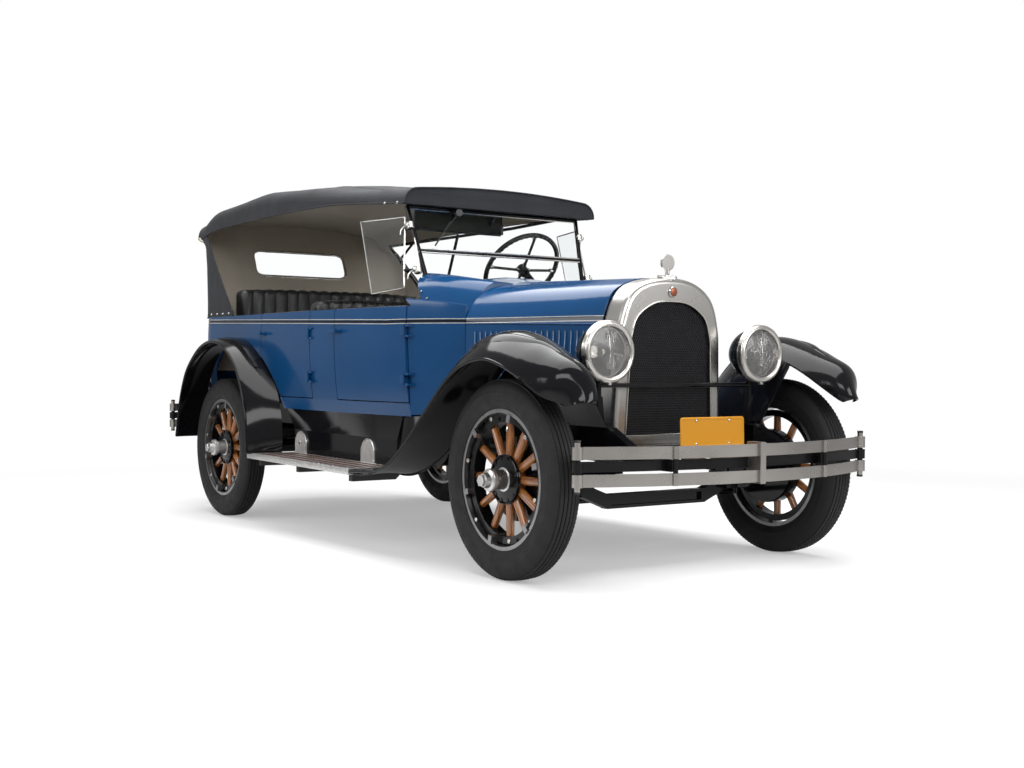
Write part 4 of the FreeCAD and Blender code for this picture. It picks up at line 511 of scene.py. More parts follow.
# %% Cloth, leather and lining
def woven(name, color, light, scale, distance, roughness):
    """A plain weave: two crossed waves make threads, noise makes some of them paler."""
    material = finish(name, color, roughness, Sheen_Weight=0.05, Sheen_Roughness=0.5)
    place = add_node(material, "ShaderNodeTexCoord")
    waves = []
    for axis in ("X", "Y", "Z"):
        wave = add_node(material, "ShaderNodeTexWave", bands_direction=axis, Scale=scale,
                        Distortion=0.6,
                        Detail=1.0)
        wire(material, place.outputs["Object"], wave.inputs["Vector"])
        waves.append(wave.outputs["Fac"])
    weave = measure(material, ("MULTIPLY", ("ADD", waves[0], waves[2]), waves[1]))
    bumped(material, weave, 0.5, distance)
    set_shader(material, Base_Color=clouded(material, 5.0, roughness - 0.08, roughness + 0.08,
                                            color, light))
    return material


def leather(name, color, light):
    """Leather: small cells raised between fine creases, with polish and tone that drift at random.
    """
    material = finish(name, color, 0.38, Coat_Weight=0.15, Coat_Roughness=0.3)
    place = add_node(material, "ShaderNodeTexCoord")
    cells = add_node(material, "ShaderNodeTexVoronoi", Scale=230.0)
    cells.feature = "DISTANCE_TO_EDGE"
    wire(material, place.outputs["Object"], cells.inputs["Vector"])
    bumped(material, cells.outputs["Distance"], 0.5, 0.0006)
    set_shader(material, Base_Color=clouded(material, 9.0, 0.30, 0.52, color, light))
    return material


# %% Glass
def clear_glass(name, tint, roughness, index=1.45):
    material = finish(name, tint, roughness, Transmission_Weight=1.0, IOR=index)
    film(material, 4.0, roughness, roughness + 0.03)
    return material


def floor_boards():
    """Dark boards under the feet, with seams every ten centimetres."""
    material = finish("floor_boards", (0.035, 0.026, 0.020), 0.6)
    x, y, z = object_axes(material)
    seam = measure(material, ("LESS_THAN", ("PINGPONG", ("ADD", y, 10.0), 0.06), 0.0015))
    tone = clouded(material, 12.0, 0.5, 0.75, (0.026, 0.019, 0.014), (0.062, 0.046, 0.034))
    set_shader(material, Base_Color=blend_color(material, seam, tone, (0.006, 0.005, 0.004)))
    return material


# %% All finishes, by name
paint_blue = blue_enamel()
paint_black = gloss_black()
metal_nickel = plated("satin_nickel", NICKEL, 0.265, 0.285, 1.6)
metal_shell = plated("shell_nickel", (0.55, 0.535, 0.51), 0.265, 0.285, 1.2)
metal_bright = plated("bright_trim", (0.66, 0.65, 0.63), 0.12, 0.24)
metal_dark = plated("dark_steel", (0.055, 0.055, 0.058), 0.32, 0.50)
metal_copper = plated("aged_copper", (0.34, 0.12, 0.07), 0.26, 0.44)
# Louvre lips: a pale blue finish that is a painted highlight, standing in for the gloss on their
# rolled edges.
louvre_painted_highlight = plated("louvre_painted_highlight", (0.30, 0.45, 0.70), 0.22, 0.30)
# Lamp dishes and the mirror's face: a pale base that is only partly metallic, so much of their
# brightness is a painted reflection.
mirror_painted_reflection = plated("silvered_painted_reflection", (0.88, 0.85, 0.80), 0.16, 0.24, 6.0)
shader_of(mirror_painted_reflection).inputs["Metallic"].default_value = 0.35
metal_board = brushed_aluminium()
metal_wheel = wheel_metal()
metal_lamp = lamp_metal()
metal_bumper = bumper_metal()
iron = cast_metal()
rubber = tyre_rubber()
rubber_hard = plated("hard_rubber", (0.016, 0.016, 0.016), 0.30, 0.48)
shader_of(rubber_hard).inputs["Metallic"].default_value = 0.0
wood_spoke = spoke_wood()
wood_floor = floor_boards()
lino = brown_lino()
cloth_top = woven("navy_black_canvas", (0.0045, 0.0052, 0.0088), (0.0085, 0.0096, 0.0150), 420.0,
                  0.0004, 0.72)
cloth_lining = woven("tan_lining", (0.50, 0.45, 0.37), (0.60, 0.54, 0.45), 380.0, 0.0003, 0.85)
hide_black = leather("black_leather_hide", (0.012, 0.012, 0.013), (0.026, 0.026, 0.028))
hide_trim = leather("trim_leather", (0.016, 0.016, 0.018), (0.030, 0.030, 0.033))
glass_clear = clear_glass("window_glass", (0.95, 0.97, 0.97), 0.0, 1.12)
glass_lamp = clear_glass("lamp_glass", (0.98, 0.97, 0.96), 0.05, 1.30)
shader_of(glass_lamp).inputs["Transmission Weight"].default_value = 0.94
glass_red = clear_glass("red_glass", (0.55, 0.02, 0.01), 0.08)
dark_glass = clear_glass("visor_glass", (0.06, 0.08, 0.07), 0.03, 1.2)
plate_paint = finish("plate_amber", (0.62, 0.27, 0.018), 0.35, Specular_IOR_Level=0.3)
film(plate_paint, 20.0, 0.28, 0.45)
dial_face = finish("dial_face", (0.55, 0.53, 0.46), 0.4)
film(dial_face, 30.0, 0.3, 0.5)

# %% The studio floor's paint
def studio_paint():
    """Pale floor that keeps the shadow near the car and melts into the backdrop further out."""
    material = finish("studio_floor_paint", (0.86, 0.86, 0.86), 0.8, Specular_IOR_Level=0.1)
    film(material, 0.8, 0.75, 0.85)
    x, y, z = object_axes(material)
    reach = measure(material, ("SQRT", ("ADD", ("MULTIPLY", x, x), ("MULTIPLY", y, y))))
    far = add_node(material, "ShaderNodeMapRange")
    far.interpolation_type = "SMOOTHSTEP"
    far.inputs["From Min"].default_value = 2.6
    far.inputs["From Max"].default_value = 6.5
    wire(material, reach, far.inputs["Value"])
    path = add_node(material, "ShaderNodeLightPath")
    seen = measure(material, ("MINIMUM", 1.0, ("ADD",
                                               ("ADD", path.outputs["Is Camera Ray"],
                                                path.outputs["Is Transmission Ray"]),
                                               ("MULTIPLY", path.outputs["Is Glossy Ray"], 0.3))))
    shader_of(material).inputs["Emission Strength"].default_value = 1.0
    glow = blend_color(material, far.outputs["Result"], (0.36, 0.36, 0.36), (1.0, 1.0, 1.0))
    set_shader(material, Base_Color=blend_color(material, far.outputs["Result"], (0.60, 0.60, 0.60),
                                                (0.0, 0.0, 0.0)),
               Emission_Color=blend_color(material, seen, (0.0, 0.0, 0.0), glow))
    return material


studio_floor.data.materials.append(studio_paint())

# %% [markdown]
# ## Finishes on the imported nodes
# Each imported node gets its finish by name. Nodes whose detailed piece replaces them are given a
# finish as well, so nothing is left bare.

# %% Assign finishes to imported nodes
node_finish = {
    "tyre_": rubber, "spokes_": wood_spoke, "hub_": metal_wheel, "door_": paint_blue,
               "hood_": paint_blue,
    "body_tub": paint_blue, "cowl": paint_blue, "centre_pillars": paint_blue,
               "front_bumper": metal_bumper,
    "rear_bumper": metal_bumper, "radiator_shell": metal_shell, "radiator_core": metal_dark,
    "headlamps": metal_lamp, "headlamp_lenses": glass_lamp, "windscreen_glass": glass_clear,
    "running_boards": metal_board, "front_seat": hide_black, "rear_seat": hide_black,
               "canopy": cloth_top,
    "steering_wheel": rubber_hard, "engine": iron, "driveline": iron, "exhaust": iron,
    "floor_pan": wood_floor, "spare_tyre": rubber,
}
for name in nodes:
    packed = bpy.data.objects[name]
    chosen = [value for key, value in node_finish.items() if name.startswith(key)]
    packed.data.materials.clear()
    packed.data.materials.append(chosen[0] if chosen else paint_black)
print("finished nodes", len(nodes))

# %% [markdown]
# ## How the added pieces are made
# A form is a pair of lists, points and faces. Small functions sweep a round bar along a path,
# turn a profile round an axis, or cut a block with chamfered edges. `build` joins forms into one
# mesh, merges doubled points, turns all faces outward and lets the piece ride on its body.
# Things that repeat, such as rivets and bolts, are one small form that a Geometry Nodes tree
# puts at every point of a list, turned as each point says.

# %% Forms: bar, turned part, block and sheet
def frame_of(direction):
    """Two directions square to a given one."""
    direction = direction.normalized()
    helper = Vector((0, 0, 1)) if abs(direction.z) < 0.9 else Vector((0, 1, 0))
    side = direction.cross(helper).normalized()
    return side, direction.cross(side).normalized()


def sweep(points, radius, sides=10, closed=False, squash=1.0):
    """A bar of round or flattened section along a path."""
    points = [Vector(p) for p in points]
    count = len(points)
    verts, faces = [], []
    side = None
    for i, p in enumerate(points):
        before = points[i - 1] if i or closed else p
        after = points[(i + 1) % count] if i < count - 1 or closed else p
        run = (after - before).normalized()
        if side is None:
            side, up = frame_of(run)
        side = (side - run * side.dot(run)).normalized()
        up = run.cross(side)
        for k in range(sides):
            a = 2 * math.pi * k / sides
            verts.append(p + side * radius * math.cos(a) + up * radius * squash * math.sin(a))
    rings = count if closed else count - 1
    for i in range(rings):
        for k in range(sides):
            a, b = i * sides + k, i * sides + (k + 1) % sides
            c, d = ((i + 1) % count) * sides + (k + 1) % sides, ((i + 1) % count) * sides + k
            faces.append((a, b, c, d))
    if not closed:
        faces.append(tuple(range(sides)))
        faces.append(tuple(range((count - 1) * sides, count * sides)))
    return verts, faces


def turned(profile, centre, axis, sides=32):
    """A solid of revolution: the profile gives distance along the axis and radius."""
    centre, axis = Vector(centre), Vector(axis).normalized()
    side, up = frame_of(axis)
    verts, faces = [], []
    for along, radius in profile:
        for k in range(sides):
            a = 2 * math.pi * k / sides
            verts.append(centre + axis * along + (side * math.cos(a) + up * math.sin(a)) * radius)
    for i in range(len(profile) - 1):
        for k in range(sides):
            a, b = i * sides + k, i * sides + (k + 1) % sides
            faces.append((a, b, b + sides, a + sides))
    return verts, faces


def block(low, high, chamfer=0.0015, turn=None):
    """A block between two corners with chamfered edges, laid out level; turn is its rake."""
    low, high = Vector(low), Vector(high)
    mesh = bmesh.new()
    bmesh.ops.create_cube(mesh, size=1.0)
    for v in mesh.verts:
        v.co = Vector([(low[i] + high[i]) / 2 + v.co[i] * (high[i] - low[i]) for i in range(3)])
    bmesh.ops.bevel(mesh, geom=mesh.edges[:], offset=chamfer, segments=2, affect="EDGES",
                    profile=0.5)
    verts = [v.co.copy() if turn is None else raked(*v.co, turn) for v in mesh.verts]
    faces = [tuple(v.index for v in f.verts) for f in mesh.faces]
    mesh.free()
    return verts, faces


def grid(rows):
    """A sheet from rows of points."""
    across = len(rows[0])
    verts = [Vector(p) for row in rows for p in row]
    faces = [(i * across + k, i * across + k + 1, (i + 1) * across + k + 1, (i + 1) * across + k)
             for i in range(len(rows) - 1) for k in range(across - 1)]
    return verts, faces


def flipped(form):
    """The same form on the other side of the car."""
    verts, faces = form
    return [Vector((-v.x, v.y, v.z)) for v in verts], [tuple(reversed(f)) for f in faces]


def both(forms):
    """Forms together with the same forms on the other side of the car."""
    return forms + [flipped(form) for form in forms]


def through(p0, p1, p2, p3, t):
    """The Catmull-Rom rule: a smooth way from p1 to p2 that heeds their neighbours."""
    return 0.5 * ((2 * p1) + (p2 - p0) * t + (2 * p0 - 5 * p1 + 4 * p2 - p3) * t * t
                  + (3 * p1 - p0 - 3 * p2 + p3) * t ** 3)


def smooth_line(points, steps):
    """A smooth curve through points, by the Catmull-Rom rule."""
    points = [Vector(p) for p in points]
    line = []
    for i in range(len(points) - 1):
        p0 = points[max(i - 1, 0)]
        p1, p2 = points[i], points[i + 1]
        p3 = points[min(i + 2, len(points) - 1)]
        for k in range(steps):
            line.append(through(p0, p1, p2, p3, k / steps))
    line.append(points[-1])
    return line


# %% Build a piece from forms
def mesh_from(name, forms, material, angle=40, outward=True):
    mesh = bmesh.new()
    for verts, faces in forms:
        made = [mesh.verts.new(v) for v in verts]
        for face in faces:
            corners = [made[i] for i in face]
            if len(set(corners)) > 2:
                mesh.faces.new(corners)
    bmesh.ops.remove_doubles(mesh, verts=mesh.verts, dist=0.00002)
    if outward:
        bmesh.ops.recalc_face_normals(mesh, faces=mesh.faces)
    data = bpy.data.meshes.new(name)
    mesh.to_mesh(data)
    mesh.free()
    data.materials.append(material)
    data.shade_smooth()
    data.set_sharp_from_angle(angle=math.radians(angle))
    return data


def build(name, forms, material, body=ROOT, angle=40, outward=True):
    """One piece of joined forms that rides on a body."""
    piece = bpy.data.objects.new(name, mesh_from(name, forms, material, angle, outward))
    bpy.context.scene.collection.objects.link(piece)
    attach(piece, body)
    return piece


# %% Geometry Nodes tree that repeats a form at points
def repeat_tree():
    tree = bpy.data.node_groups.new("repeat_at_points", "GeometryNodeTree")
    tree.interface.new_socket("Places", in_out="INPUT", socket_type="NodeSocketGeometry")
    tree.interface.new_socket("Form", in_out="INPUT", socket_type="NodeSocketObject")
    tree.interface.new_socket("Size", in_out="INPUT", socket_type="NodeSocketFloat")
    tree.interface.new_socket("Finish", in_out="INPUT", socket_type="NodeSocketMaterial")
    tree.interface.new_socket("Geometry", in_out="OUTPUT", socket_type="NodeSocketGeometry")
    start = tree.nodes.new("NodeGroupInput")
    end = tree.nodes.new("NodeGroupOutput")
    form = tree.nodes.new("GeometryNodeObjectInfo")
    turn = tree.nodes.new("GeometryNodeInputNamedAttribute")
    turn.data_type = "FLOAT_VECTOR"
    turn.inputs["Name"].default_value = "turn"
    spread = tree.nodes.new("GeometryNodeInstanceOnPoints")
    real = tree.nodes.new("GeometryNodeRealizeInstances")
    coat = tree.nodes.new("GeometryNodeSetMaterial")
    tree.links.new(start.outputs["Form"], form.inputs["Object"])
    tree.links.new(start.outputs["Places"], spread.inputs["Points"])
    tree.links.new(form.outputs["Geometry"], spread.inputs["Instance"])
    tree.links.new(turn.outputs[0], spread.inputs["Rotation"])
    tree.links.new(start.outputs["Size"], spread.inputs["Scale"])
    tree.links.new(spread.outputs[0], real.inputs[0])
    tree.links.new(real.outputs[0], coat.inputs[0])
    tree.links.new(start.outputs["Finish"], coat.inputs["Material"])
    tree.links.new(coat.outputs[0], end.inputs[0])
    return tree


REPEAT = repeat_tree()
SOCKET = {item.name: item.identifier for item in REPEAT.interface.items_tree
          if item.in_out == "INPUT"}


def repeat(name, form, places, material, body=ROOT, size=1.0, angle=40):
    """The form, made round its own Z axis, at each place: a point and its Z direction."""
    seed_mesh = mesh_from(name + "_form", [form], material, angle)
    seed_form = bpy.data.objects.new(name + "_form", seed_mesh)
    cloud = bpy.data.meshes.new(name + "_places")
    cloud.from_pydata([Vector(p) for p, z in places], [], [])
    turns = cloud.attributes.new("turn", "FLOAT_VECTOR", "POINT")
    for i, (p, z) in enumerate(places):
        turned_to = z if isinstance(z, Matrix) else Vector(z).to_track_quat("Z", "Y")
        turns.data[i].vector = turned_to.to_euler()
    carrier = bpy.data.objects.new(name + "_carrier", cloud)
    for thing in (carrier, seed_form):
        bpy.context.scene.collection.objects.link(thing)
    modifier = carrier.modifiers.new("repeat", "NODES")
    modifier.node_group = REPEAT
    modifier[SOCKET["Form"]] = seed_form
    modifier[SOCKET["Size"]] = size
    modifier[SOCKET["Finish"]] = material
    ready = carrier.evaluated_get(bpy.context.evaluated_depsgraph_get())
    result = bpy.data.meshes.new_from_object(ready)
    result.name = name
    for thing in (carrier, seed_form):
        bpy.data.objects.remove(thing)
    result.set_sharp_from_angle(angle=math.radians(angle))
    piece = bpy.data.objects.new(name, result)
    bpy.context.scene.collection.objects.link(piece)
    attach(piece, body)
    return piece


RIVET = turned([(0, 0.0044), (0.0008, 0.0044), (0.0018, 0.0036), (0.0026, 0.002), (0.0028, 0.0)],
               ORIGIN, UP, 10)
HEX_BOLT = turned([(0, 0.0092), (0.001, 0.0098), (0.0055, 0.0098), (0.0068, 0.0086), (0.0068, 0.0)],
                  ORIGIN, UP, 6)
SNAP = turned([(0, 0.0076), (0.002, 0.0076), (0.0042, 0.006), (0.0046, 0.0036), (0.0036, 0.0026),
               (0.0036, 0.0)],
              ORIGIN, UP, 14)

# %% [markdown]
# ## Tyres
# A balloon tyre of the time has a tall round sidewall and a narrow tread of five ribs. Each rib
# has a fine zigzag edge and short cross cuts. The section is turned round the wheel's axis in
# small steps, and every second step the rib edges and shoulders draw in a little, which makes the
# cuts. Raised rings on the sidewall stand where lettering would be.

# %% Tyres
TYRE_R, BEAD_R = 0.3804, 0.2572


def tyre_section():
    """Half the tyre's section from the tread's middle to the bead: offset, radius, cut depth."""
    rows = []
    for centre, half in ((0.0, 0.0062), (0.0164, 0.0060), (0.0330, 0.0068)):
        crown = 0.0032 * (centre / 0.04) ** 2
        for offset in (-half - 0.0016, -half, -half * 0.6, half * 0.6, half, half + 0.0016):
            deep = abs(offset) > half
            if centre + offset >= -0.0001:
                rows.append((centre + offset, TYRE_R - crown - (0.0075 if deep else 0.0),
                             0.0 if deep else
                             (0.0028 if abs(offset) == half else 0.0008)))
    rows += [(0.0432, TYRE_R - 0.0058, 0.0026), (0.0478, TYRE_R - 0.0094, 0.0030),
             (0.0520, TYRE_R - 0.0150, 0.0022),
             (0.0566, TYRE_R - 0.0222, 0.0), (0.0606, TYRE_R - 0.0310, 0.0),
             (0.0638, TYRE_R - 0.0410, 0.0)]
    for offset, radius in ((0.0656, 0.331), (0.0668, 0.3275), (0.0668, 0.3255), (0.0660, 0.3235),
                           (0.0666, 0.316),
                           (0.0658, 0.305), (0.0641, 0.2975), (0.0646, 0.2955), (0.0640, 0.2935),
                           (0.0622, 0.291),
                           (0.0596, 0.284), (0.0560, 0.2765), (0.0526, 0.2715), (0.0524, 0.2690),
                           (0.0500, 0.2668),
                           (0.0462, 0.2660), (0.0440, 0.2630), (0.0398, BEAD_R)):
        rows.append((offset, radius, 0.0))
    return rows


def tyre_mesh(centre, steps=264):
    half = tyre_section()
    section = [(-o, r, c) for o, r, c in reversed(half)] + [row for row in half if row[0] > 0.0001]
    rows = []
    for i in range(steps + 1):
        a = 2 * math.pi * (i % steps) / steps
        row = []
        for offset, radius, cut in section:
            r = radius - (cut if i % 2 else 0.0)
            row.append((centre[0] + offset, centre[1] + r * math.sin(a),
                        centre[2] + r * math.cos(a)))
        row.append(row[0])
        rows.append(row)
    return grid(rows)


corners = {"fl": (1, -1), "fr": (-1, -1), "rl": (1, 1), "rr": (-1, 1)}
for corner, (side, end) in corners.items():
    centre = (side * HALF_TRACK, end * AXLE + SHIFT, WHEEL_Z)
    piece = build("ribbed_tyre_" + corner, [tyre_mesh(centre)], rubber, "wheel_" + corner, angle=28)
    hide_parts("tyre_" + corner)
print("tyre points", len(piece.data.vertices))

# %% [markdown]
# ## Wheel fittings
# The hub flange is held by twelve bolts, one between each pair of spokes, and the long cap ends
# in a hexagon. Every lug of the rim has its nut, and a valve stem comes through the felloe.

# %% Wheel fittings
for corner, (side, end) in corners.items():
    body = "wheel_" + corner
    centre = Vector((side * HALF_TRACK, end * AXLE + SHIFT, WHEEL_Z))
    out = Vector((side, 0, 0))

    def around(radius, degrees, outward):
        a = math.radians(degrees)
        return centre + out * outward + Vector((0, radius * math.sin(a), radius * math.cos(a)))

    repeat("flange_bolts_" + corner, HEX_BOLT, [(around(0.080, 15 + 30 * i, 0.0248),
                                                 out) for i in range(12)],
           paint_black, body, size=0.86)
    repeat("rim_nuts_" + corner, HEX_BOLT, [(around(0.233, 15 + 60 * i, 0.0432),
                                             out) for i in range(6)],
           metal_nickel, body, size=0.95)
    hexagon = turned([(0.1225, 0.0), (0.1225, 0.019), (0.1225, 0.0215), (0.124, 0.0232),
                      (0.136, 0.0232), (0.1378, 0.0205),
                      (0.1378, 0.0)], centre, out, 6)
    collar = turned([(0.0832, 0.0424), (0.0850, 0.0436), (0.0880, 0.0428), (0.0906, 0.0436),
                     (0.0936, 0.0428),
                     (0.0966, 0.0436), (0.0992, 0.0424)], centre, out, 40)
    ring = turned([(0.0258, 0.0895), (0.0285, 0.0940), (0.0312, 0.0940), (0.0330, 0.0905),
                   (0.0300, 0.0880)], centre, out, 48)
    build("cap_hexagon_" + corner, [hexagon, collar], metal_board, body, angle=30)
    build("flange_edge_" + corner, [ring], paint_black, body)
    stem = sweep([around(0.216, 0, 0.005), around(0.196, 0, 0.012), around(0.186, 0, 0.014)],
                 0.0042, 8)
    stem_cap = sweep([around(0.189, 0, 0.0135), around(0.180, 0, 0.0145)], 0.0058, 8)
    build("valve_" + corner, [stem, stem_cap], metal_bright, body)

# %% [markdown]
# ## Fender beads and the raised crown
# Each fender's free edge is rolled round a wire, so a bead runs along its outer lip. The crown of
# the front fender carries a raised teardrop rib that fades out toward the running board. Both
# follow the fender's own stations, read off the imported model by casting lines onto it.

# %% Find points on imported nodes
def cast(node, start, direction):
    """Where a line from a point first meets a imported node, with the surface's direction there."""
    packed = bpy.data.objects[node]
    hit, place, normal, _ = packed.ray_cast(Vector(start), Vector(direction).normalized())
    return (place, normal) if hit else (None, None)


# %% Fender beads
front = FRONT_AXLE + 0.005
rear = REAR_AXLE + 0.005
front_lip = [(0.862, -0.345, 0.353), (0.862, front + 0.754, 0.385), (0.862, front + 0.585, 0.479),
             (0.862, front + 0.424, 0.609), (0.862, front + 0.270, 0.738),
             (0.862, front + 0.180, 0.798),
             (0.862, front + 0.080, 0.836), (0.862, front - 0.037, 0.849),
             (0.862, front - 0.150, 0.826),
             (0.852, front - 0.255, 0.782)]
rear_lip = [(0.862, rear - 0.590, 0.369), (0.862, rear - 0.566, 0.556),
            (0.862, rear - 0.497, 0.706),
            (0.862, rear - 0.388, 0.836), (0.862, rear - 0.250, 0.914),
            (0.862, rear - 0.090, 0.942),
            (0.862, rear + 0.090, 0.905), (0.862, rear + 0.268, 0.796),
            (0.862, rear + 0.352, 0.687),
            (0.862, rear + 0.405, 0.568), (0.862, rear + 0.452, 0.400)]
for name, lip in (("front_fender_bead", front_lip), ("rear_fender_bead", rear_lip)):
    line = [raked(x - 0.003, y, z + 0.003) for x, y, z in lip]
    bead = sweep(smooth_line(line, 8), 0.0062, 10)
    build(name, both([bead]), paint_black)

front_crown = [(0.795, front + 0.268, 0.790), (0.798, front + 0.165, 0.872),
               (0.798, front + 0.075, 0.914),
               (0.786, front - 0.045, 0.929), (0.752, front - 0.155, 0.918),
               (0.708, front - 0.230, 0.898),
               (0.697, front - 0.300, 0.870)]
crown_rows = []
line = smooth_line([raked(*p) for p in front_crown], 8)
for i, p in enumerate(line):
    share = i / (len(line) - 1)
    half = 0.004 + 0.026 * math.sin(math.pi * min(1.0, share * 0.94 + 0.03)) ** 0.8
    row = []
    for k in range(13):
        across = (k / 6.0 - 1.0)
        x = p.x + across * half
        place, normal = cast("front_fenders", (x, p.y, 1.3), (0, 0, -1))
        if place is None:
            place = Vector((x, p.y, p.z))
        rise = 0.0075 * (1 - across * across) * math.sin(math.pi * share) ** 0.5 - 0.0006
        row.append(place + Vector((0, 0, rise)))
    crown_rows.append(row)
crown = grid(crown_rows)
build("fender_crown_rib", both([crown]), paint_black, angle=60)

# %% [markdown]
# ## Running boards
# The board's tread is brown linoleum between bright aluminium bands, with a row of small rivets
# along the two outer bands and another along its edge. The kick plates are ribbed, and the near
# rear one carries a small lock.

# %% Running boards
board_top = 0.367
panels, bands, places, ribs = [], [], [], []
band_lines = (0.636, 0.690, 0.744, 0.798, 0.852)
for x in band_lines:
    wide = 0.0075 if x < 0.85 else 0.0095
    bands.append(block((x - wide, -0.340, board_top + 0.0004),
                       (x + wide, 0.724, board_top + 0.0038), 0.0012, BODY_RAKE))
for x0, x1 in zip(band_lines, band_lines[1:]):
    panels.append(block((x0 + 0.0066, -0.338, board_top + 0.0003),
                        (x1 - 0.0066, 0.722, board_top + 0.0026), 0.0006, BODY_RAKE))
    for k in range(4):
        x = x0 + 0.0144 + k * 0.0084
        ribs.append(block((x - 0.0014, -0.335, board_top + 0.002),
                          (x + 0.0014, 0.719, board_top + 0.0040), 0.0006, BODY_RAKE))
edge = block((0.8610, -0.343, board_top - 0.0235), (0.8655, 0.727, board_top + 0.0042), 0.0016,
             BODY_RAKE)
ends = [block((0.626, y0, board_top + 0.0004), (0.860, y1, board_top + 0.0040), 0.001, BODY_RAKE)
        for y0, y1 in ((-0.344, -0.330), (0.714, 0.7275))]
for x in (0.636, 0.852):
    for i in range(22):
        places.append((raked(x, -0.315 + i * 0.0485, board_top + 0.0036), (0, 0, 1)))
for i in range(28):
    places.append((raked(0.8652, -0.325 + i * 0.0378, board_top - 0.010), (1, 0, 0)))
mirror_places = [((-p[0], p[1], p[2]), (-z[0], z[1], z[2])) for p, z in places]
build("board_lino", both(panels + ribs), lino)
build("board_bands", both(bands + ends + [edge]), metal_board)
repeat("board_rivets", RIVET, places + mirror_places, metal_bright, size=0.8)

kick_ribs, kick_rims, kick_bolts = [], [], []
for y in (0.650, -0.075):
    for k in range(9):
        dy = (k - 4) * 0.0125
        top = board_top + 0.050 + math.sqrt(max(0.0, 0.060 ** 2 - dy ** 2))
        kick_ribs.append(sweep([raked(0.6278, y + dy, board_top + 0.006),
                                raked(0.6278, y + dy, top - 0.004)], 0.0022, 6))
    arc = [raked(0.6276, y + 0.0635 * math.cos(a), board_top + 0.050 + 0.0635 * math.sin(a))
           for a in [math.pi * i / 20 for i in range(21)]]
    foot = board_top + 0.004
    arc = [raked(0.6276, y + 0.0635, foot)] + arc + [raked(0.6276, y - 0.0635, foot)]
    kick_rims.append(sweep(arc, 0.0030, 8))
    for dy, dz in ((-0.053, 0.012), (0.053, 0.012), (0.0, 0.104)):
        kick_bolts.append((raked(0.6274, y + dy, board_top + dz), (1, 0, 0)))
kick_bolts += [((-p[0], p[1], p[2]), (-1, 0, 0)) for p, z in kick_bolts]
build("kick_plate_ribs", both(kick_ribs + kick_rims), metal_board)
repeat("kick_plate_screws", RIVET, kick_bolts, metal_bright, size=1.1)
lock = turned([(0, 0.013), (0.003, 0.013), (0.0052, 0.0115), (0.0058, 0.006), (0.0048, 0.004),
               (0.0048, 0)],
              raked(-0.627, 0.662, board_top + 0.055), (-1, 0, 0), 20)
build("kick_plate_lock", [lock], metal_bright)

# %% [markdown]
# ## Radiator
# The core is a curtain of small cells. One cell is a short six-sided tube, pointed at top and
# bottom, and the repeat tree sets it in staggered columns inside the shell's arched opening. A
# thin bead frames the opening, and the badge place holds a bare disc with a raised ring.

# %% Radiator core cells and frame
CORE_Y, CELL_W, CELL_H = -1.4445, 0.0098, 0.0132


def cell_form():
    """One core cell seen from the front: a six-sided ring whose inside slopes back."""
    outline = [(0, 0.5), (0.5, 0.26), (0.5, -0.26), (0, -0.5), (-0.5, -0.26), (-0.5, 0.26)]
    verts, faces = [], []
    for scale, depth in ((1.0, 0.0), (0.82, 0.0012), (0.74, -0.010)):
        for x, z in outline:
            verts.append(Vector((x * CELL_W * scale, z * CELL_H * scale, depth)))
    for ring in range(2):
        for k in range(6):
            a, b = ring * 6 + k, ring * 6 + (k + 1) % 6
            faces.append((a, b, b + 6, a + 6))
    faces.append(tuple(range(12, 18)))
    return verts, faces


OPENING_ARCH = smooth_line([(0.213 * w, 0.0, 0.940 + 0.184 * h) for w, h in
                            ((1.0, 0.0), (0.965, 0.27), (0.83, 0.66), (0.45, 0.94), (0.0, 1.0),
                             (-0.45, 0.94))], 12)[:49]


def arch_half_width(z):
    """Half width of the shell's opening at one height along the hood line's own level."""
    low_z, spring = 0.585, 0.940
    if z <= spring:
        return 0.229 - 0.016 * (z - low_z) / (spring - low_z)
    for p, q in zip(OPENING_ARCH, OPENING_ARCH[1:]):
        if p.z <= z <= q.z:
            return p.x + (q.x - p.x) * (z - p.z) / max(q.z - p.z, 1e-6)
    return 0.0


front_way = raked(0, -1, 0, HOOD_RAKE) - raked(0, 0, 0, HOOD_RAKE)
up_way = raked(0, 0, 1, HOOD_RAKE) - raked(0, 0, 0, HOOD_RAKE)
cell_turn = Matrix((Vector((1, 0, 0)), up_way, front_way)).transposed()
cells = []
row = 0
z = 0.592
while z < 1.116:
    half = arch_half_width(z) - 0.003
    shift = CELL_W / 2 if row % 2 else 0.0
    count = int((half - shift) / CELL_W)
    for k in range(-count - (1 if shift else 0), count + 1):
        x = k * CELL_W + shift
        if abs(x) < half:
            cells.append((raked(x, CORE_Y, z, HOOD_RAKE), cell_turn))
    z += CELL_H * 0.76
    row += 1
repeat("radiator_cells", cell_form(), cells, metal_dark)
print("core cells", len(cells))

right_leg = [(-arch_half_width(0.588 + 0.0176 * i) + 0.0015, 0.588 + 0.0176 * i) for i in range(20)]
arch = [(-p.x, p.z) for p in OPENING_ARCH[1:]]
half_outline = right_leg + arch
outline = half_outline + [(-x, z) for x, z in reversed(half_outline[:-1])]
opening = [raked(x, -1.4562, z, HOOD_RAKE) for x, z in outline]
frame_bead = sweep(opening, 0.0042, 8, closed=True)
build("opening_bead", [frame_bead], metal_nickel, angle=60)
badge = turned([(0.0, 0.0215), (0.0034, 0.0215), (0.0050, 0.0200), (0.0050, 0.0178),
                (0.0034, 0.0166), (0.0040, 0.0)],
               raked(0, -1.4590, 1.161, HOOD_RAKE), front_way, 40)
build("badge_ring", [badge], metal_bright)
badge_field = turned([(0.0, 0.0160), (0.0016, 0.0156), (0.0024, 0.010), (0.0026, 0.0)],
                     raked(0, -1.4630, 1.161, HOOD_RAKE), front_way, 32)
build("badge_field", [badge_field], metal_copper)
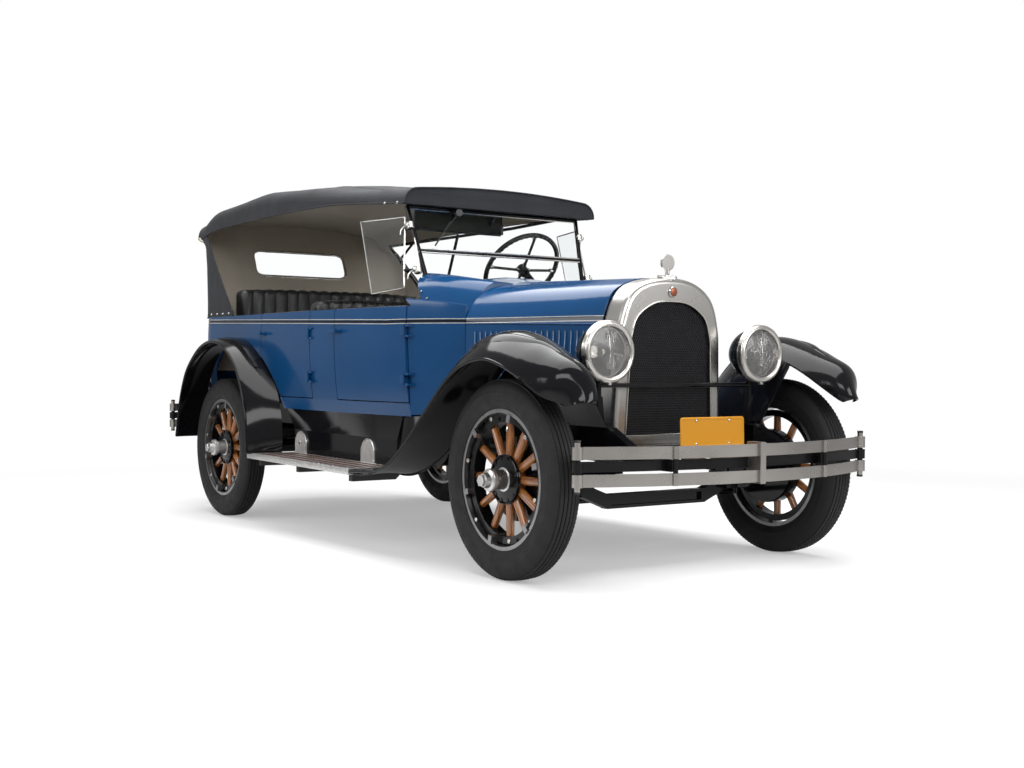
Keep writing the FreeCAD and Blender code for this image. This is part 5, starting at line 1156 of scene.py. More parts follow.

# %% Filler cap: knurled skirt
cap_centre = raked(0, -1.421, 1.212, HOOD_RAKE)
knurl = []
for i in range(36):
    a = 2 * math.pi * i / 36
    p = cap_centre + Vector((0.0305 * math.cos(a), 0.0305 * math.sin(a), -0.002))
    knurl.append((p, up_way))
knurl_form = turned([(0.0, 0.0022), (0.0135, 0.0022), (0.0150, 0.0012), (0.0150, 0.0)], ORIGIN, UP,
                    8)
repeat("cap_knurl", knurl_form, knurl, metal_bright)

# %% [markdown]
# ## Headlamps
# Behind each lens sits a bright dish with a bulb. The lens is a shallow dome of pressed glass,
# with upright flutes across its middle, and a bright bead holds it in the rim.

# %% Headlamps
lamp_forward = raked(0, -1, 0) - raked(0, 0, 0)
lens_forms, dish_forms, bulb_forms, rim_forms, clips = [], [], [], [], []
for side in (-1, 1):
    centre = raked(side * LAMP_X, LAMP_Y, LAMP_Z)
    rows = []
    rings, spokes_round = 15, 120
    for i in range(rings + 1):
        radius = 0.0962 * i / rings
        row = []
        for k in range(spokes_round + 1):
            a = 2 * math.pi * k / spokes_round
            x, z = radius * math.cos(a), radius * math.sin(a)
            dome = 0.0135 * (1 - (radius / 0.0965) ** 2)
            flute = 0.0034 * abs(math.sin(x * math.pi / 0.0092)) * (1 - (radius / 0.097) ** 4)
            row.append(centre + Vector((x, 0, z)) + lamp_forward * (dome - flute - 0.0050))
        rows.append(row)
    outer = grid(rows)
    count = len(outer[0])
    inner = [v - lamp_forward * 0.004 for v in outer[0]]
    edge = [(rings * (spokes_round + 1) + k, rings * (spokes_round + 1) + k + 1,
             count + rings * (spokes_round + 1) + k + 1, count + rings * (spokes_round + 1) + k)
            for k in range(spokes_round)]
    back = [tuple(count + i for i in reversed(f)) for f in outer[1]]
    lens_forms.append((outer[0] + inner, outer[1] + back + edge))
    dish = [(-0.034, 0.0955), (-0.040, 0.0935), (-0.052, 0.085), (-0.070, 0.070), (-0.088, 0.052),
            (-0.103, 0.034),
            (-0.113, 0.020), (-0.1175, 0.011), (-0.1185, 0.0)]
    dish_forms.append(turned(dish, centre, lamp_forward, 64))
    bulb = [(-0.112, 0.009), (-0.096, 0.0095), (-0.094, 0.0115), (-0.088, 0.014), (-0.078, 0.0165),
            (-0.066, 0.0165),
            (-0.057, 0.012), (-0.0535, 0.006), (-0.0525, 0.0)]
    bulb_forms.append(turned(bulb, centre, lamp_forward, 24))
    rim = [(-0.030, 0.1185), (-0.027, 0.1205), (-0.022, 0.1190), (-0.012, 0.1195), (-0.004, 0.1175),
           (0.0015, 0.1125),
           (0.0030, 0.1065), (0.0015, 0.0995), (-0.0030, 0.0965), (-0.0050, 0.0975),
           (-0.0050, 0.112), (-0.030, 0.1150)]
    rim_forms.append(turned(rim + [rim[0]], centre, lamp_forward, 72))
    clips.append(block((side * LAMP_X - 0.008, -1.588, 0.758),
                       (side * LAMP_X + 0.008, -1.572, 0.772), 0.002, BODY_RAKE))
lenses = build("fluted_lenses", lens_forms, glass_lamp, angle=25)
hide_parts("headlamp_lenses")
# The dishes' brightness is partly a painted reflection from their pale, partly metallic finish.
build("lamp_reflectors", dish_forms, mirror_painted_reflection, angle=60)
build("lamp_bulbs", bulb_forms, glass_clear, angle=60)
build("lamp_rims", rim_forms + clips, metal_nickel, angle=50)

# %% [markdown]
# ## Front bumper fittings and the plate
# The backing bar behind the two spring bars is black. Bolts close the bar ends, and the clamp in
# the middle has two cross bolts. The number plate hangs from a bracket ahead of the radiator. It
# is amber with a raised border and is blank.

# %% Bumper bolts and number plates
up_body = raked(0, 0, 1) - raked(0, 0, 0)
bolt_places = []
for side in (-1, 1):
    for y, low, high in ((-1.822, 0.390, 0.5630), (2.258, 0.418, 0.5910)):
        bolt_places.append((raked(side * 0.731, y, high - 0.0005), up_body))
        bolt_places.append((raked(side * 0.731, y, low + 0.0005), -up_body))
repeat("bumper_end_nuts", HEX_BOLT, bolt_places, metal_dark, size=1.25)
clamp_bolts = [(raked(0, -1.9745, z), (0, -1, 0)) for z in (0.528, 0.428)] + \
              [(raked(0, 2.3755, z), (0, 1, 0)) for z in (0.556, 0.456)]
repeat("bumper_clamp_bolts", HEX_BOLT, clamp_bolts, metal_nickel, size=0.9)


def number_plate(centre, normal, width=0.330, height=0.115):
    """A pressed plate with a rounded outline and a raised border, facing a direction."""
    normal = Vector(normal).normalized()
    side = Vector((0, 0, 1)).cross(normal).normalized()
    up = normal.cross(side)

    def outline(w, h, r, depth):
        points = []
        for cx, cz, a0 in ((w / 2 - r, h / 2 - r, 0), (-w / 2 + r, h / 2 - r, 90),
                           (-w / 2 + r, -h / 2 + r, 180),
                           (w / 2 - r, -h / 2 + r, 270)):
            for k in range(6):
                a = math.radians(a0 + 18 * k)
                out, rise = cx + r * math.cos(a), cz + r * math.sin(a)
                points.append(centre + side * out + up * rise + normal * depth)
        return points
    rings = [outline(width, height, 0.012, -0.0012), outline(width, height, 0.012, 0.0),
             outline(width - 0.006, height - 0.006, 0.010, 0.0024),
             outline(width - 0.014, height - 0.014, 0.008, 0.0024),
             outline(width - 0.020, height - 0.020, 0.006, 0.0004)]
    verts = [v for ring in rings for v in ring]
    n = len(rings[0])
    faces = [(i * n + k, i * n + (k + 1) % n, (i + 1) * n + (k + 1) % n, (i + 1) * n + k)
             for i in range(len(rings) - 1) for k in range(n)]
    faces += [tuple(range((len(rings) - 1) * n, len(rings) * n)), tuple(reversed(range(n)))]
    return verts, faces


plate_centre = Vector((-0.037, -1.760 + SHIFT - 0.010, 0.5560))
plate_front = number_plate(plate_centre, (0, -1, 0.02))
plate_rear = number_plate(raked(-0.330, 2.244, 0.690), (0, 1, 0))
build("number_plates", [plate_front, plate_rear], plate_paint, angle=30)
plate_bolts = [(plate_centre + Vector((dx, -0.0005, dz)),
                (0, -1, 0)) for dx in (-0.085, 0.085) for dz in (0.044, -0.044)]
repeat("plate_bolts", RIVET, plate_bolts, metal_bright, size=1.1)
stays = [sweep([plate_centre + Vector((dx, 0.006, 0.045)),
                plate_centre + Vector((dx, 0.006, -0.055)),
                plate_centre + Vector((dx, 0.012, -0.066)),
                plate_centre + Vector((dx, 0.150, -0.070))], 0.008, 6, squash=0.4)
         for dx in (-0.085, 0.085)]
build("plate_stays", stays, paint_black)

# %% [markdown]
# ## Hood, belt and cowl
# A thin raised moulding runs under and over the black band. Each run of it stays on one body, so
# that doors and hood leaves still turn.

# %% Belt mouldings on the body, two beads along the band
def belt_at(y):
    """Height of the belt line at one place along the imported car."""
    return max(BELT_HOOD + (y - SHIFT) * math.tan(HOOD_RAKE),
               BELT_BODY + (y - SHIFT) * math.tan(BODY_RAKE))


def surface_right(node, y, z):
    place, normal = cast(node, (-1.2, y, z), (1, 0, 0))
    return place


def bead_runs(node, y0, y1, offset, step=0.02, radius=0.0019):
    """A bead on a node's right face from y0 to y1, at an offset from the belt line."""
    points = []
    count = max(2, int((y1 - y0) / step))
    for i in range(count + 1):
        y = y0 + (y1 - y0) * i / count
        place = surface_right(node, y, belt_at(y) + offset)
        if place is not None and place.x < -0.2:
            points.append(place + Vector((0.0006, 0, 0)))
    return sweep(points, radius, 6) if len(points) > 2 else None


def span(node):
    low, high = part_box(node)
    return low[1], high[1]


for node, body in (("door_front_right", "door_front_right_body"),
                   ("door_rear_right", "door_rear_right_body")):
    y0, y1 = span(node)
    runs = [bead_runs(node, y0 + 0.012, y1 - 0.012, off) for off in (BELT_BEAD, -BELT_BEAD)]
    runs = [r for r in runs if r]
    build("belt_bead_" + node, runs, paint_blue, body)
    build("belt_bead_" + node.replace("right", "left"), [flipped(r) for r in runs], paint_blue,
          body.replace("right", "left"))

for node, body, y0, y1 in (("cowl", ROOT, -0.640, -0.428), ("hood_side", None, -1.335, -0.655),
                           ("hood_top", None, -1.335, -0.655)):
    for side in ("right", "left"):
        name = node if body else node + "_" + side
        source = node if body else node + "_right"
        offsets = (BELT_BEAD, -BELT_BEAD) if body else ((-BELT_BEAD,
                                                         ) if node == "hood_side" else (BELT_BEAD,))
        runs = [r for r in (bead_runs(source, y0 + SHIFT, y1 + SHIFT, off) for off in offsets) if r]
        if runs:
            build("belt_bead_" + node + "_" + side,
                  runs if side == "right" else [flipped(r) for r in runs], paint_blue,
                  body or name + "_body")


def round_tail(offset, radius, node="body_tub", inset=0.0006):
    """A bead round the body's tail from one rear door to the other, at an offset from the belt."""
    middle = Vector((0, 1.30 + SHIFT, 0))
    points = []
    for i in range(121):
        a = math.radians(-12 + 204 * i / 120)
        way = Vector((-math.cos(a), math.sin(a), 0))
        start = middle + way * 1.6
        z = belt_at(min(max(middle.y + way.y * 0.66, 0.99 + SHIFT), 1.96 + SHIFT)) + offset
        place, normal = cast(node, (start.x, start.y, z), -way)
        if place is not None and place.y > 0.996 + SHIFT:
            points.append(place + way * inset)
    return sweep(points, radius, 6)


build("belt_bead_tail", [round_tail(BELT_BEAD, 0.0019), round_tail(-BELT_BEAD, 0.0019)], paint_blue)

# %% [markdown]
# ## Folding top
# The fabric is one continuous sheet. Its roof is a row of arched sections from the header to the
# rear edge, and there the same sheet turns down and runs round the back as the curtain. Between
# the bows the fabric sags a little, and it draws into slight folds where it is held: over the
# bows, round the rear corners and along the slanted edge of the quarters. Outside it is dark
# canvas and inside a tan lining, so the sheet has two faces. Bound edges, two long seams and the
# snaps that hold the curtain to the body are pieces of their own.

# %% Roof and curtain as one sheet
TOP_SECTIONS = [(-0.262, 0.544, 1.640, 1.662, 1.568), (0.300, 0.606, 1.692, 1.738, 1.606),
                (0.900, 0.634, 1.748, 1.796, 1.614), (1.420, 0.640, 1.750, 1.800, 1.610),
                (1.850, 0.636, 1.724, 1.770, 1.600), (2.140, 0.616, 1.660, 1.694, 1.572)]
CURTAIN_LEVELS = [(1.089, 0.690, 1.952, 0.190), (1.400, 0.662, 2.006, 0.150),
                  (1.668, 0.620, 2.128, 0.110)]
BOWS = (-0.262, -0.120, 0.560, 1.130, 1.960, 2.140)
SHOULDER = 0.070
QUARTER_FOOT, QUARTER_HEAD = (1.415, 1.109), (1.990, 1.600)


def between(table, at):
    """Smooth values of a table of rows at a place that its first column gives."""
    keys = [row[0] for row in table]
    at = min(max(at, keys[0]), keys[-1])
    i = max(k for k in range(len(keys) - 1) if keys[k] <= at)
    t = (at - keys[i]) / (keys[i + 1] - keys[i])
    p0, p1 = table[max(i - 1, 0)], table[i]
    p2, p3 = table[i + 1], table[min(i + 2, len(table) - 1)]
    return [through(p0[k], p1[k], p2[k], p3[k], t) for k in range(1, len(p1))]


def roof_row(y, hang=7, round_steps=6, over=56):
    """One section of the roof from the left lower edge, over the crown, to the right one."""
    half, shoulder, crown, low = between(TOP_SECTIONS, y)
    row = []
    for k in range(hang):
        z = low + (shoulder - SHOULDER - low) * k / hang
        row.append(Vector((half, y, z)))
    for k in range(round_steps):
        a = math.pi / 2 * k / round_steps
        row.append(Vector((half - SHOULDER + SHOULDER * math.cos(a), y,
                           shoulder - SHOULDER + SHOULDER * math.sin(a))))
    for k in range(over + 1):
        share = 1 - 2 * k / over
        x = (half - SHOULDER) * share
        row.append(Vector((x, y, shoulder + (crown - shoulder) * (1 - share * share))))
    mirrored = [Vector((-p.x, p.y, p.z)) for p in reversed(row[:hang + round_steps])]
    return row + mirrored


def curtain_point(share, z, side_steps, round_steps, over):
    """A point of the curtain's plan at one height; share counts the steps along its path."""
    half, back, radius = between(CURTAIN_LEVELS, z)
    slope = (QUARTER_HEAD[0] - QUARTER_FOOT[0]) / (QUARTER_HEAD[1] - QUARTER_FOOT[1])
    start = QUARTER_FOOT[0] + (min(max(z, QUARTER_FOOT[1]),
                                   QUARTER_HEAD[1]) - QUARTER_FOOT[1]) * slope
    total = 2 * side_steps + 2 * round_steps + over
    mirror = share > total / 2
    k = total - share if mirror else share
    if k <= side_steps:
        point = Vector((half, start + (back - radius - start) * k / side_steps, z))
    elif k <= side_steps + round_steps:
        a = math.pi / 2 * (k - side_steps) / round_steps
        point = Vector((half - radius + radius * math.cos(a), back - radius + radius * math.sin(a),
                        z))
    else:
        t = (k - side_steps - round_steps) / over
        point = Vector(((half - radius) * (1 - 2 * t), back, z))
    return Vector((-point.x, point.y, point.z)) if mirror else point


HANG, ROUND, OVER = 7, 6, 56
roof_places = [-0.262 + (1.990 + 0.262) * i / 150 for i in range(151)]
SIDE = 12
roof_places += [1.990 + 0.150 * (i + 1) / SIDE for i in range(SIDE)]
roof = [roof_row(y, HANG, ROUND, OVER) for y in roof_places]
across = len(roof[0])
first_side = 150
rim = ([(i, 0) for i in range(first_side, len(roof) - 1)] + [(len(roof) - 1,
                                                              k) for k in range(across)]
       + [(i, across - 1) for i in range(len(roof) - 2, first_side - 1, -1)])
CURTAIN_ROWS = 44
curtain = []
for r in range(1, CURTAIN_ROWS + 1):
    t = r / CURTAIN_ROWS
    row = []
    for j, (i, k) in enumerate(rim):
        top = roof[i][k]
        here = curtain_point(j, top.z + (1.0895 - top.z) * t, SIDE, HANG + ROUND, OVER)
        there = curtain_point(j, top.z, SIDE, HANG + ROUND, OVER)
        fade = max(0.0, 1 - t / 0.16) ** 2
        row.append(here + (top - there) * fade)
    curtain.append(row)


def sag(point):
    """How far the fabric drops between two bows."""
    for y0, y1 in zip(BOWS, BOWS[1:]):
        if y0 <= point.y <= y1:
            depth = min(0.013, 0.020 * (y1 - y0))
            return depth * math.sin(math.pi * (point.y - y0) / (y1 - y0)) ** 2
    return 0.0


def folds(point, share_down):
    """Soft folds: long across the roof, upright in the curtain and slack at its corners."""
    if share_down is None:
        reach = abs(point.x) / 0.62
        coarse = noise.noise(Vector((point.x * 2.2, point.y * 7.5, 3.0)))
        fine = noise.noise(Vector((point.x * 9.0 + point.y * 5.0, point.y * 16.0, 7.0)))
        pull = 0.0
        for bow in BOWS[1:5]:
            near = math.exp(-((point.y - bow) / 0.10) ** 2)
            pull += near * noise.noise(Vector((point.x * 26.0, point.y * 3.0, bow)))
        return 0.0016 * coarse * (1 - 0.4 * reach) + 0.0008 * fine + 0.0013 * pull
    turn = noise.noise(Vector((point.x * 15.0, point.y * 15.0, point.z * 2.4)))
    slack = noise.noise(Vector((point.x * 6.0 + point.z * 4.0, point.y * 6.0, point.z * 9.0 + 4.0)))
    fade = math.sin(math.pi * min(1.0, share_down * 0.97 + 0.015)) ** 0.5
    return (0.0038 * turn + 0.0026 * slack) * fade


mesh = bmesh.new()
roof_verts = [[mesh.verts.new(p) for p in row] for row in roof]
rim_verts = [roof_verts[i][k] for i, k in rim]
curtain_verts = [[mesh.verts.new(p) for p in row] for row in curtain]
for a, b in zip(roof_verts, roof_verts[1:]):
    for k in range(across - 1):
        mesh.faces.new((a[k], a[k + 1], b[k + 1], b[k]))
WINDOW_HALF, WINDOW_LOW, WINDOW_HIGH, WINDOW_ROUND = 0.308, 1.362, 1.522, 0.040
WINDOW_MIDDLE = (WINDOW_LOW + WINDOW_HIGH) / 2


def window_gap(x, z, grow=0.0):
    """Distance outside the rear window's rounded outline; negative inside."""
    dx = abs(x) - (WINDOW_HALF - WINDOW_ROUND)
    dz = abs(z - WINDOW_MIDDLE) - ((WINDOW_HIGH - WINDOW_LOW) / 2 - WINDOW_ROUND)
    return math.hypot(max(dx, 0), max(dz, 0)) + min(max(dx, dz), 0) - WINDOW_ROUND - grow


for a, b in zip([rim_verts] + curtain_verts, curtain_verts):
    for k in range(len(rim) - 1):
        middle = (a[k].co + b[k + 1].co) / 2
        if middle.y > 1.9 and window_gap(middle.x, middle.z) < -0.004:
            continue
        mesh.faces.new((a[k], a[k + 1], b[k + 1], b[k]))
bmesh.ops.recalc_face_normals(mesh, faces=mesh.faces)
bmesh.ops.delete(mesh, geom=[v for v in mesh.verts if not v.link_faces], context="VERTS")
mesh.normal_update()
if sum(f.normal.z for f in mesh.faces if f.calc_center_median().z > 1.7) < 0:
    bmesh.ops.reverse_faces(mesh, faces=mesh.faces)
    mesh.normal_update()
low_of = {v: r / CURTAIN_ROWS for r, row in enumerate(curtain_verts, 1) for v in row if v.is_valid}
moves = {}
for v in mesh.verts:
    down = low_of.get(v)
    inner = -0.0005 - abs(folds(v.co, down)) * 0.2
    rise = folds(v.co, down) + inner
    drop = sag(v.co) * max(0.0, v.normal.z) if down is None else 0.0
    moves[v] = v.normal * min(rise, 0.0015) - Vector((0, 0, drop))
for v, move in moves.items():
    v.co += move
bmesh.ops.smooth_vert(mesh, verts=[v for v in mesh.verts if not v.is_boundary], factor=0.3,
                      use_axis_x=True,
                      use_axis_y=True, use_axis_z=True)
mesh.normal_update()
THICK = 0.0065
outer_faces = list(mesh.faces)
inner_of = {v: mesh.verts.new(v.co - v.normal * THICK) for v in list(mesh.verts)}
boundary = [e for e in mesh.edges if e.is_boundary]
for face in outer_faces:
    lining_face = mesh.faces.new([inner_of[v] for v in reversed(face.verts)])
    lining_face.material_index = 1
for edge in boundary:
    a, b = edge.verts
    mesh.faces.new((a, b, inner_of[b], inner_of[a]))
bmesh.ops.recalc_face_normals(mesh, faces=mesh.faces)
cut_area = sum(f.calc_area() for f in outer_faces)
for v in mesh.verts:
    v.co = raked(*v.co)
roof = [[v.co.copy() for v in row] for row in roof_verts]
curtain = [[v.co.copy() if v.is_valid else None for v in row] for row in curtain_verts]
canopy_mesh = bpy.data.meshes.new("canopy_sheet")
mesh.to_mesh(canopy_mesh)
mesh.free()
canopy_mesh.materials.append(cloth_top)
canopy_mesh.materials.append(cloth_lining)
canopy_mesh.shade_smooth()
canopy_mesh.set_sharp_from_angle(angle=math.radians(50))
canopy_sheet = bpy.data.objects.new("canopy_sheet", canopy_mesh)
bpy.context.scene.collection.objects.link(canopy_sheet)
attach(canopy_sheet, ROOT)
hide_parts("canopy")
print("canopy faces", len(canopy_mesh.polygons), "area", round(cut_area, 2))

# %% [markdown]
# A cord is sewn into every free edge of the top and along its two long seams. The front edge is
# nailed round a wooden header, and the rear window sits in a pressed frame. Snaps hold the
# curtain's lower edge.


edge_lines = [roof[0], [row[0] for row in roof[:first_side + 1]],
              [row[-1] for row in roof[:first_side + 1]],
              [row[0] for row in curtain], [row[-1] for row in curtain], curtain[-1],
              [roof[i][k] for i, k in rim]]
binding = build("canopy_binding", [sweep(line, 0.0042, 8) for line in edge_lines], cloth_top)
seam_columns = (HANG + ROUND + 7, HANG + ROUND + OVER - 7)
seam_forms = [sweep([row[k] for row in roof], 0.0052, 8, squash=0.45) for k in seam_columns]
seam_forms += [sweep([row[k] for row in curtain if row[k] is not None][2:], 0.0046, 8, squash=0.45)
               for k in (SIDE + HANG + ROUND + 1, len(rim) - 2 - SIDE - HANG - ROUND)]
seams = build("canopy_seams", seam_forms, cloth_top)

header_outline = [Vector((p.x * 0.9935, p.y, p.z - 0.0035))
                  for p in roof_row(-0.262, HANG, ROUND, OVER)]
header_verts, header_faces = [], []
for y in (-0.2612, -0.2596, -0.226, -0.2245):
    grow = 1.0 if y in (-0.2596, -0.226) else 0.9965
    header_verts += [raked(p.x * grow, y, 1.575 + (p.z - 1.575) * grow) for p in header_outline]
count = len(header_outline)
for ring_no in range(3):
    for k in range(count):
        a, b = ring_no * count + k, ring_no * count + (k + 1) % count
        header_faces.append((a, b, b + count, a + count))
header_faces += [tuple(range(count)), tuple(range(3 * count, 4 * count))]
build("canopy_header", [(header_verts, header_faces)], cloth_top, angle=35)

window_line = []
for i in range(96):
    a = 2 * math.pi * (i + 0.5) / 96
    x = math.cos(a)
    z = math.sin(a)
    low, high = 0.0, 0.5
    for _ in range(24):
        mid = (low + high) / 2
        inside = window_gap(x * mid, WINDOW_MIDDLE + z * mid) < 0
        low, high = (mid, high) if inside else (low, mid)
    height = WINDOW_MIDDLE + z * low
    window_line.append(Vector((x * low, between(CURTAIN_LEVELS, height)[1] - 0.003, height)))
window_frame = build("rear_window_frame", [sweep([raked(*p) for p in window_line], 0.0105, 10, True,
                                                 0.62)], metal_nickel)
pane = []
for depth in (0.0, 0.003):
    pane.append([raked(p.x * 0.995, p.y - depth, p.z) for p in window_line])
pane_faces = [tuple(range(96)), tuple(range(96, 192))] + [(k, (k + 1) % 96, 96 + (k + 1) % 96,
                                                           96 + k) for k in range(96)]
build("rear_window_pane", [(pane[0] + pane[1], pane_faces)], glass_clear)

snap_row = curtain[-2]
snap_places = []
spacing, run = 0.085, 0.04
for k in range(1, len(snap_row)):
    run += (snap_row[k] - snap_row[k - 1]).length
    if run >= spacing:
        run = 0.0
        along = (snap_row[k] - snap_row[k - 1]).normalized()
        out = along.cross(Vector((0, 0, 1)))
        out = out if out.dot(Vector((snap_row[k].x, snap_row[k].y - 1.0, 0))) > 0 else -out
        snap_places.append((snap_row[k] + out * 0.0005 - Vector((0, 0, -0.004)), out))
for side in (-1, 1):
    for y in (-0.20, -0.10):
        here = roof_row(y)[1]
        snap_places.append((raked(side * (here.x + 0.0002), y, here.z), (side, 0, 0)))
snaps = repeat("canopy_snaps", SNAP, snap_places, metal_bright, size=0.85)
middle = len(roof) // 2

# %% [markdown]
# ## Seats
# Both seats are leather with upright channels. A cushion is a closed form: its section runs up
# the front, over the top and down the back, and draws in toward both ends, so that it has a crown.
# Each channel is a stitched groove that pulls the leather in on the faces that people touch, and
# the leather between two grooves swells. Piping runs along the edges of every cushion.

# %% Channelled cushions
def section_loop(y0, y1, z0, z1, front_round, back_round, steps=9):
    """A rounded section in the car's length and height: points, outward directions, and touch."""
    corners = [((y0, z0), 0.012, 180), ((y0, z1), front_round, 90), ((y1, z1), back_round, 0),
               ((y1, z0), 0.012, -90)]
    loop = []
    for (y, z), radius, start in corners:
        cy = y + (radius if y == y0 else -radius)
        cz = z + (radius if z == z0 else -radius)
        a0 = {180: 270, 90: 180, 0: 90, -90: 0}[start]
        for k in range(steps + 1):
            a = math.radians(a0 - 90 * k / steps)
            loop.append((cy + radius * math.cos(a), cz + radius * math.sin(a), math.cos(a),
                         math.sin(a)))
    full = []
    for i, (y, z, ny, nz) in enumerate(loop):
        nxt = loop[(i + 1) % len(loop)]
        full.append((y, z, ny, nz))
        gap = math.hypot(nxt[0] - y, nxt[1] - z)
        extra = int(gap / 0.022)
        for k in range(1, extra + 1):
            t = k / (extra + 1)
            full.append((y + (nxt[0] - y) * t, z + (nxt[1] - z) * t, ny + (nxt[2] - ny) * t,
                         nz + (nxt[3] - nz) * t))
    return full


def touched(ny, nz):
    """How much a face is touched: front and top fully, back and underside not."""
    return max(0.0, min(1.0, 1.4 * max(-ny, nz)))


def cushion(half, loop, pleats, end_round, depth, stations=208):
    """A channelled cushion between two ends, from its section."""
    cy = sum(p[0] for p in loop) / len(loop)
    cz = sum(p[1] for p in loop) / len(loop)
    pitch = 2 * half / pleats
    rows = []
    for i in range(stations + 1):
        x = -half + 2 * half * i / stations
        over = max(0.0, (abs(x) - (half - end_round)) / end_round)
        tuck = end_round * (1 - math.sqrt(max(0.0, 1 - over * over)))
        seam = abs((x / pitch + pleats / 2 + 0.5) % 1.0 - 0.5) * pitch
        sewn = abs(x) < half - end_round * 0.6
        groove = depth * math.exp(-(seam / 0.0075) ** 2) if sewn else 0.0
        swell = 0.35 * depth * math.cos(math.pi * seam / (pitch / 2)) if sewn else 0.0
        edge = 0.016 * (abs(x) / half) ** 4
        row = []
        for y, z, ny, nz in loop:
            touch = touched(ny, nz)
            coarse = noise.noise(Vector((x * 14, y * 14, z * 14)))
            fine = noise.noise(Vector((x * 60, y * 60, z * 60)))
            ripple = 0.0012 * coarse + 0.0005 * fine
            inward = tuck + touch * (groove + swell * 0.5 + 0.0012 - ripple) + edge * max(0.0, nz)
            row.append(raked(x, y - ny * inward, z - nz * inward))
        row.append(row[0])
        rows.append(row)
    verts, faces = grid(rows)
    width = len(rows[0])
    for end in (0, len(rows) - 1):
        centre = len(verts)
        verts.append(raked((-half if end == 0 else half), cy, cz))
        for k in range(width - 1):
            faces.append((end * width + k, end * width + k + 1, centre))
    return verts, faces


def piping(half, loop_point, end_round, radius=0.0042):
    """A cord along a cushion's long edge, dipping at each end."""
    y, z, ny, nz = loop_point
    points = []
    for i in range(61):
        x = -(half - end_round * 0.35) + 2 * (half - end_round * 0.35) * i / 60
        over = max(0.0, (abs(x) - (half - end_round)) / end_round)
        edge = 0.016 * (abs(x) / half) ** 4 * max(0.0, nz)
        tuck = end_round * (1 - math.sqrt(max(0.0, 1 - over * over))) + edge
        points.append(raked(x, y - ny * (tuck + 0.002), z - nz * (tuck + 0.002)))
    return sweep(points, radius, 8)


seat_plan = {
    "front": [("cushion", 0.556, (0.202, 0.598, 0.826, 0.960), 0.046, 0.030, 14, 0.010),
              ("backrest", 0.556, (0.602, 0.727, 0.880, 1.163), 0.030, 0.046, 16, 0.009)],
    "rear": [("cushion", 0.596, (1.082, 1.498, 0.814, 0.948), 0.046, 0.030, 15, 0.010),
             ("backrest", 0.596, (1.502, 1.626, 0.880, 1.258), 0.034, 0.040, 17, 0.009)]}
for seat, parts in seat_plan.items():
    for part, half, (y0, y1, z0, z1), front_round, back_round, pleats, depth in parts:
        loop = section_loop(y0, y1, z0, z1, front_round, back_round)
        piece = build(seat + "_seat_" + part, [cushion(half, loop, pleats, 0.034, depth)],
                      hide_black, angle=70)
        edge_points = [p for p in loop if abs(abs(p[2]) - 0.70) < 0.09 and p[3] > 0.6]
        cords = [piping(half, min(edge_points, key=lambda p: p[0]), 0.034),
                 piping(half, max(edge_points, key=lambda p: p[0]), 0.034)]
        build(seat + "_seat_" + part + "_piping", cords, hide_trim)
    y0, y1 = parts[0][2][0], parts[1][2][1]
    half = parts[0][1]
    base = block((-half + 0.012, y0 + 0.014, parts[0][2][2] - 0.013),
                 (half - 0.012, y1 - 0.004, parts[0][2][2] + 0.012), 0.004, BODY_RAKE)
    back_panel = block((-half + 0.02, y1 - 0.020, parts[0][2][2] - 0.005),
                       (half - 0.02, y1 - 0.003, parts[1][2][3] - 0.060), 0.004, BODY_RAKE)
    build(seat + "_seat_base", [base, back_panel], hide_trim)
    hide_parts(seat + "_seat")

# %% [markdown]
# ## Windscreen, wings and wiper
# The glass stands in nickel edges, and each wind wing hangs from two clamps with long thumb
# levers. A sun visor of dark glass and a mirror hang inside at the top, and a wiper rests on the
# right pane. Bolts stand at the feet of the stanchions on the cowl.

# %% Windscreen pieces
def post_at(z):
    """The middle of the right stanchion at a height, laid out level."""
    foot, top = Vector((-0.488, -0.2915, 1.250)), Vector((-0.488, -0.182, 1.561))
    return foot + (top - foot) * ((z - foot.z) / (top.z - foot.z))


def lay(p, rake=BODY_RAKE):
    return raked(p[0], p[1], p[2], rake)


clamps, levers, caps = [], [], []
lean = (Vector((0, -0.182 + 0.2915, 0.311))).normalized()
for z in (1.470, 1.262):
    p = post_at(z)
    clamps.append(turned([(-0.017, 0.0), (-0.017, 0.0165), (-0.0145, 0.0185), (-0.004, 0.0185),
                          (0.0, 0.0170), (0.004, 0.0185),
                          (0.0145, 0.0185), (0.017, 0.0165), (0.017, 0.0)], lay(p),
                         raked(*lean) - raked(0, 0, 0), 24))
    levers.append(sweep([lay(p + Vector((-0.012, 0.006, 0))),
                         lay(p + Vector((-0.024, 0.018, -0.006))),
                         lay(p + Vector((-0.030, 0.030, -0.022))),
                         lay(p + Vector((-0.031, 0.034, -0.044)))], 0.0042, 8))
    caps.append(turned([(0, 0.0), (0, 0.0085), (0.003, 0.010), (0.010, 0.010), (0.0125, 0.008),
                        (0.0125, 0.0)],
                       lay(p + Vector((-0.014, 0, 0))), (-1, 0, 0), 16))
build("wing_clamps", both(clamps), metal_nickel)
build("wing_levers", both(levers + caps), metal_bright)

WING = [(0.500, -0.185, 1.510), (0.580, 0.096, 1.506), (0.580, -0.020, 1.158),
        (0.521, -0.220, 1.181)]
wing_edge = []
for i, corner in enumerate(WING):
    nxt = WING[(i + 1) % 4]
    for k in range(10):
        wing_edge.append(Vector(corner).lerp(Vector(nxt), k / 10))
wing_trim = [sweep([lay(p) for p in wing_edge], 0.0036, 8, True)]
build("wing_edges", both(wing_trim), metal_bright)

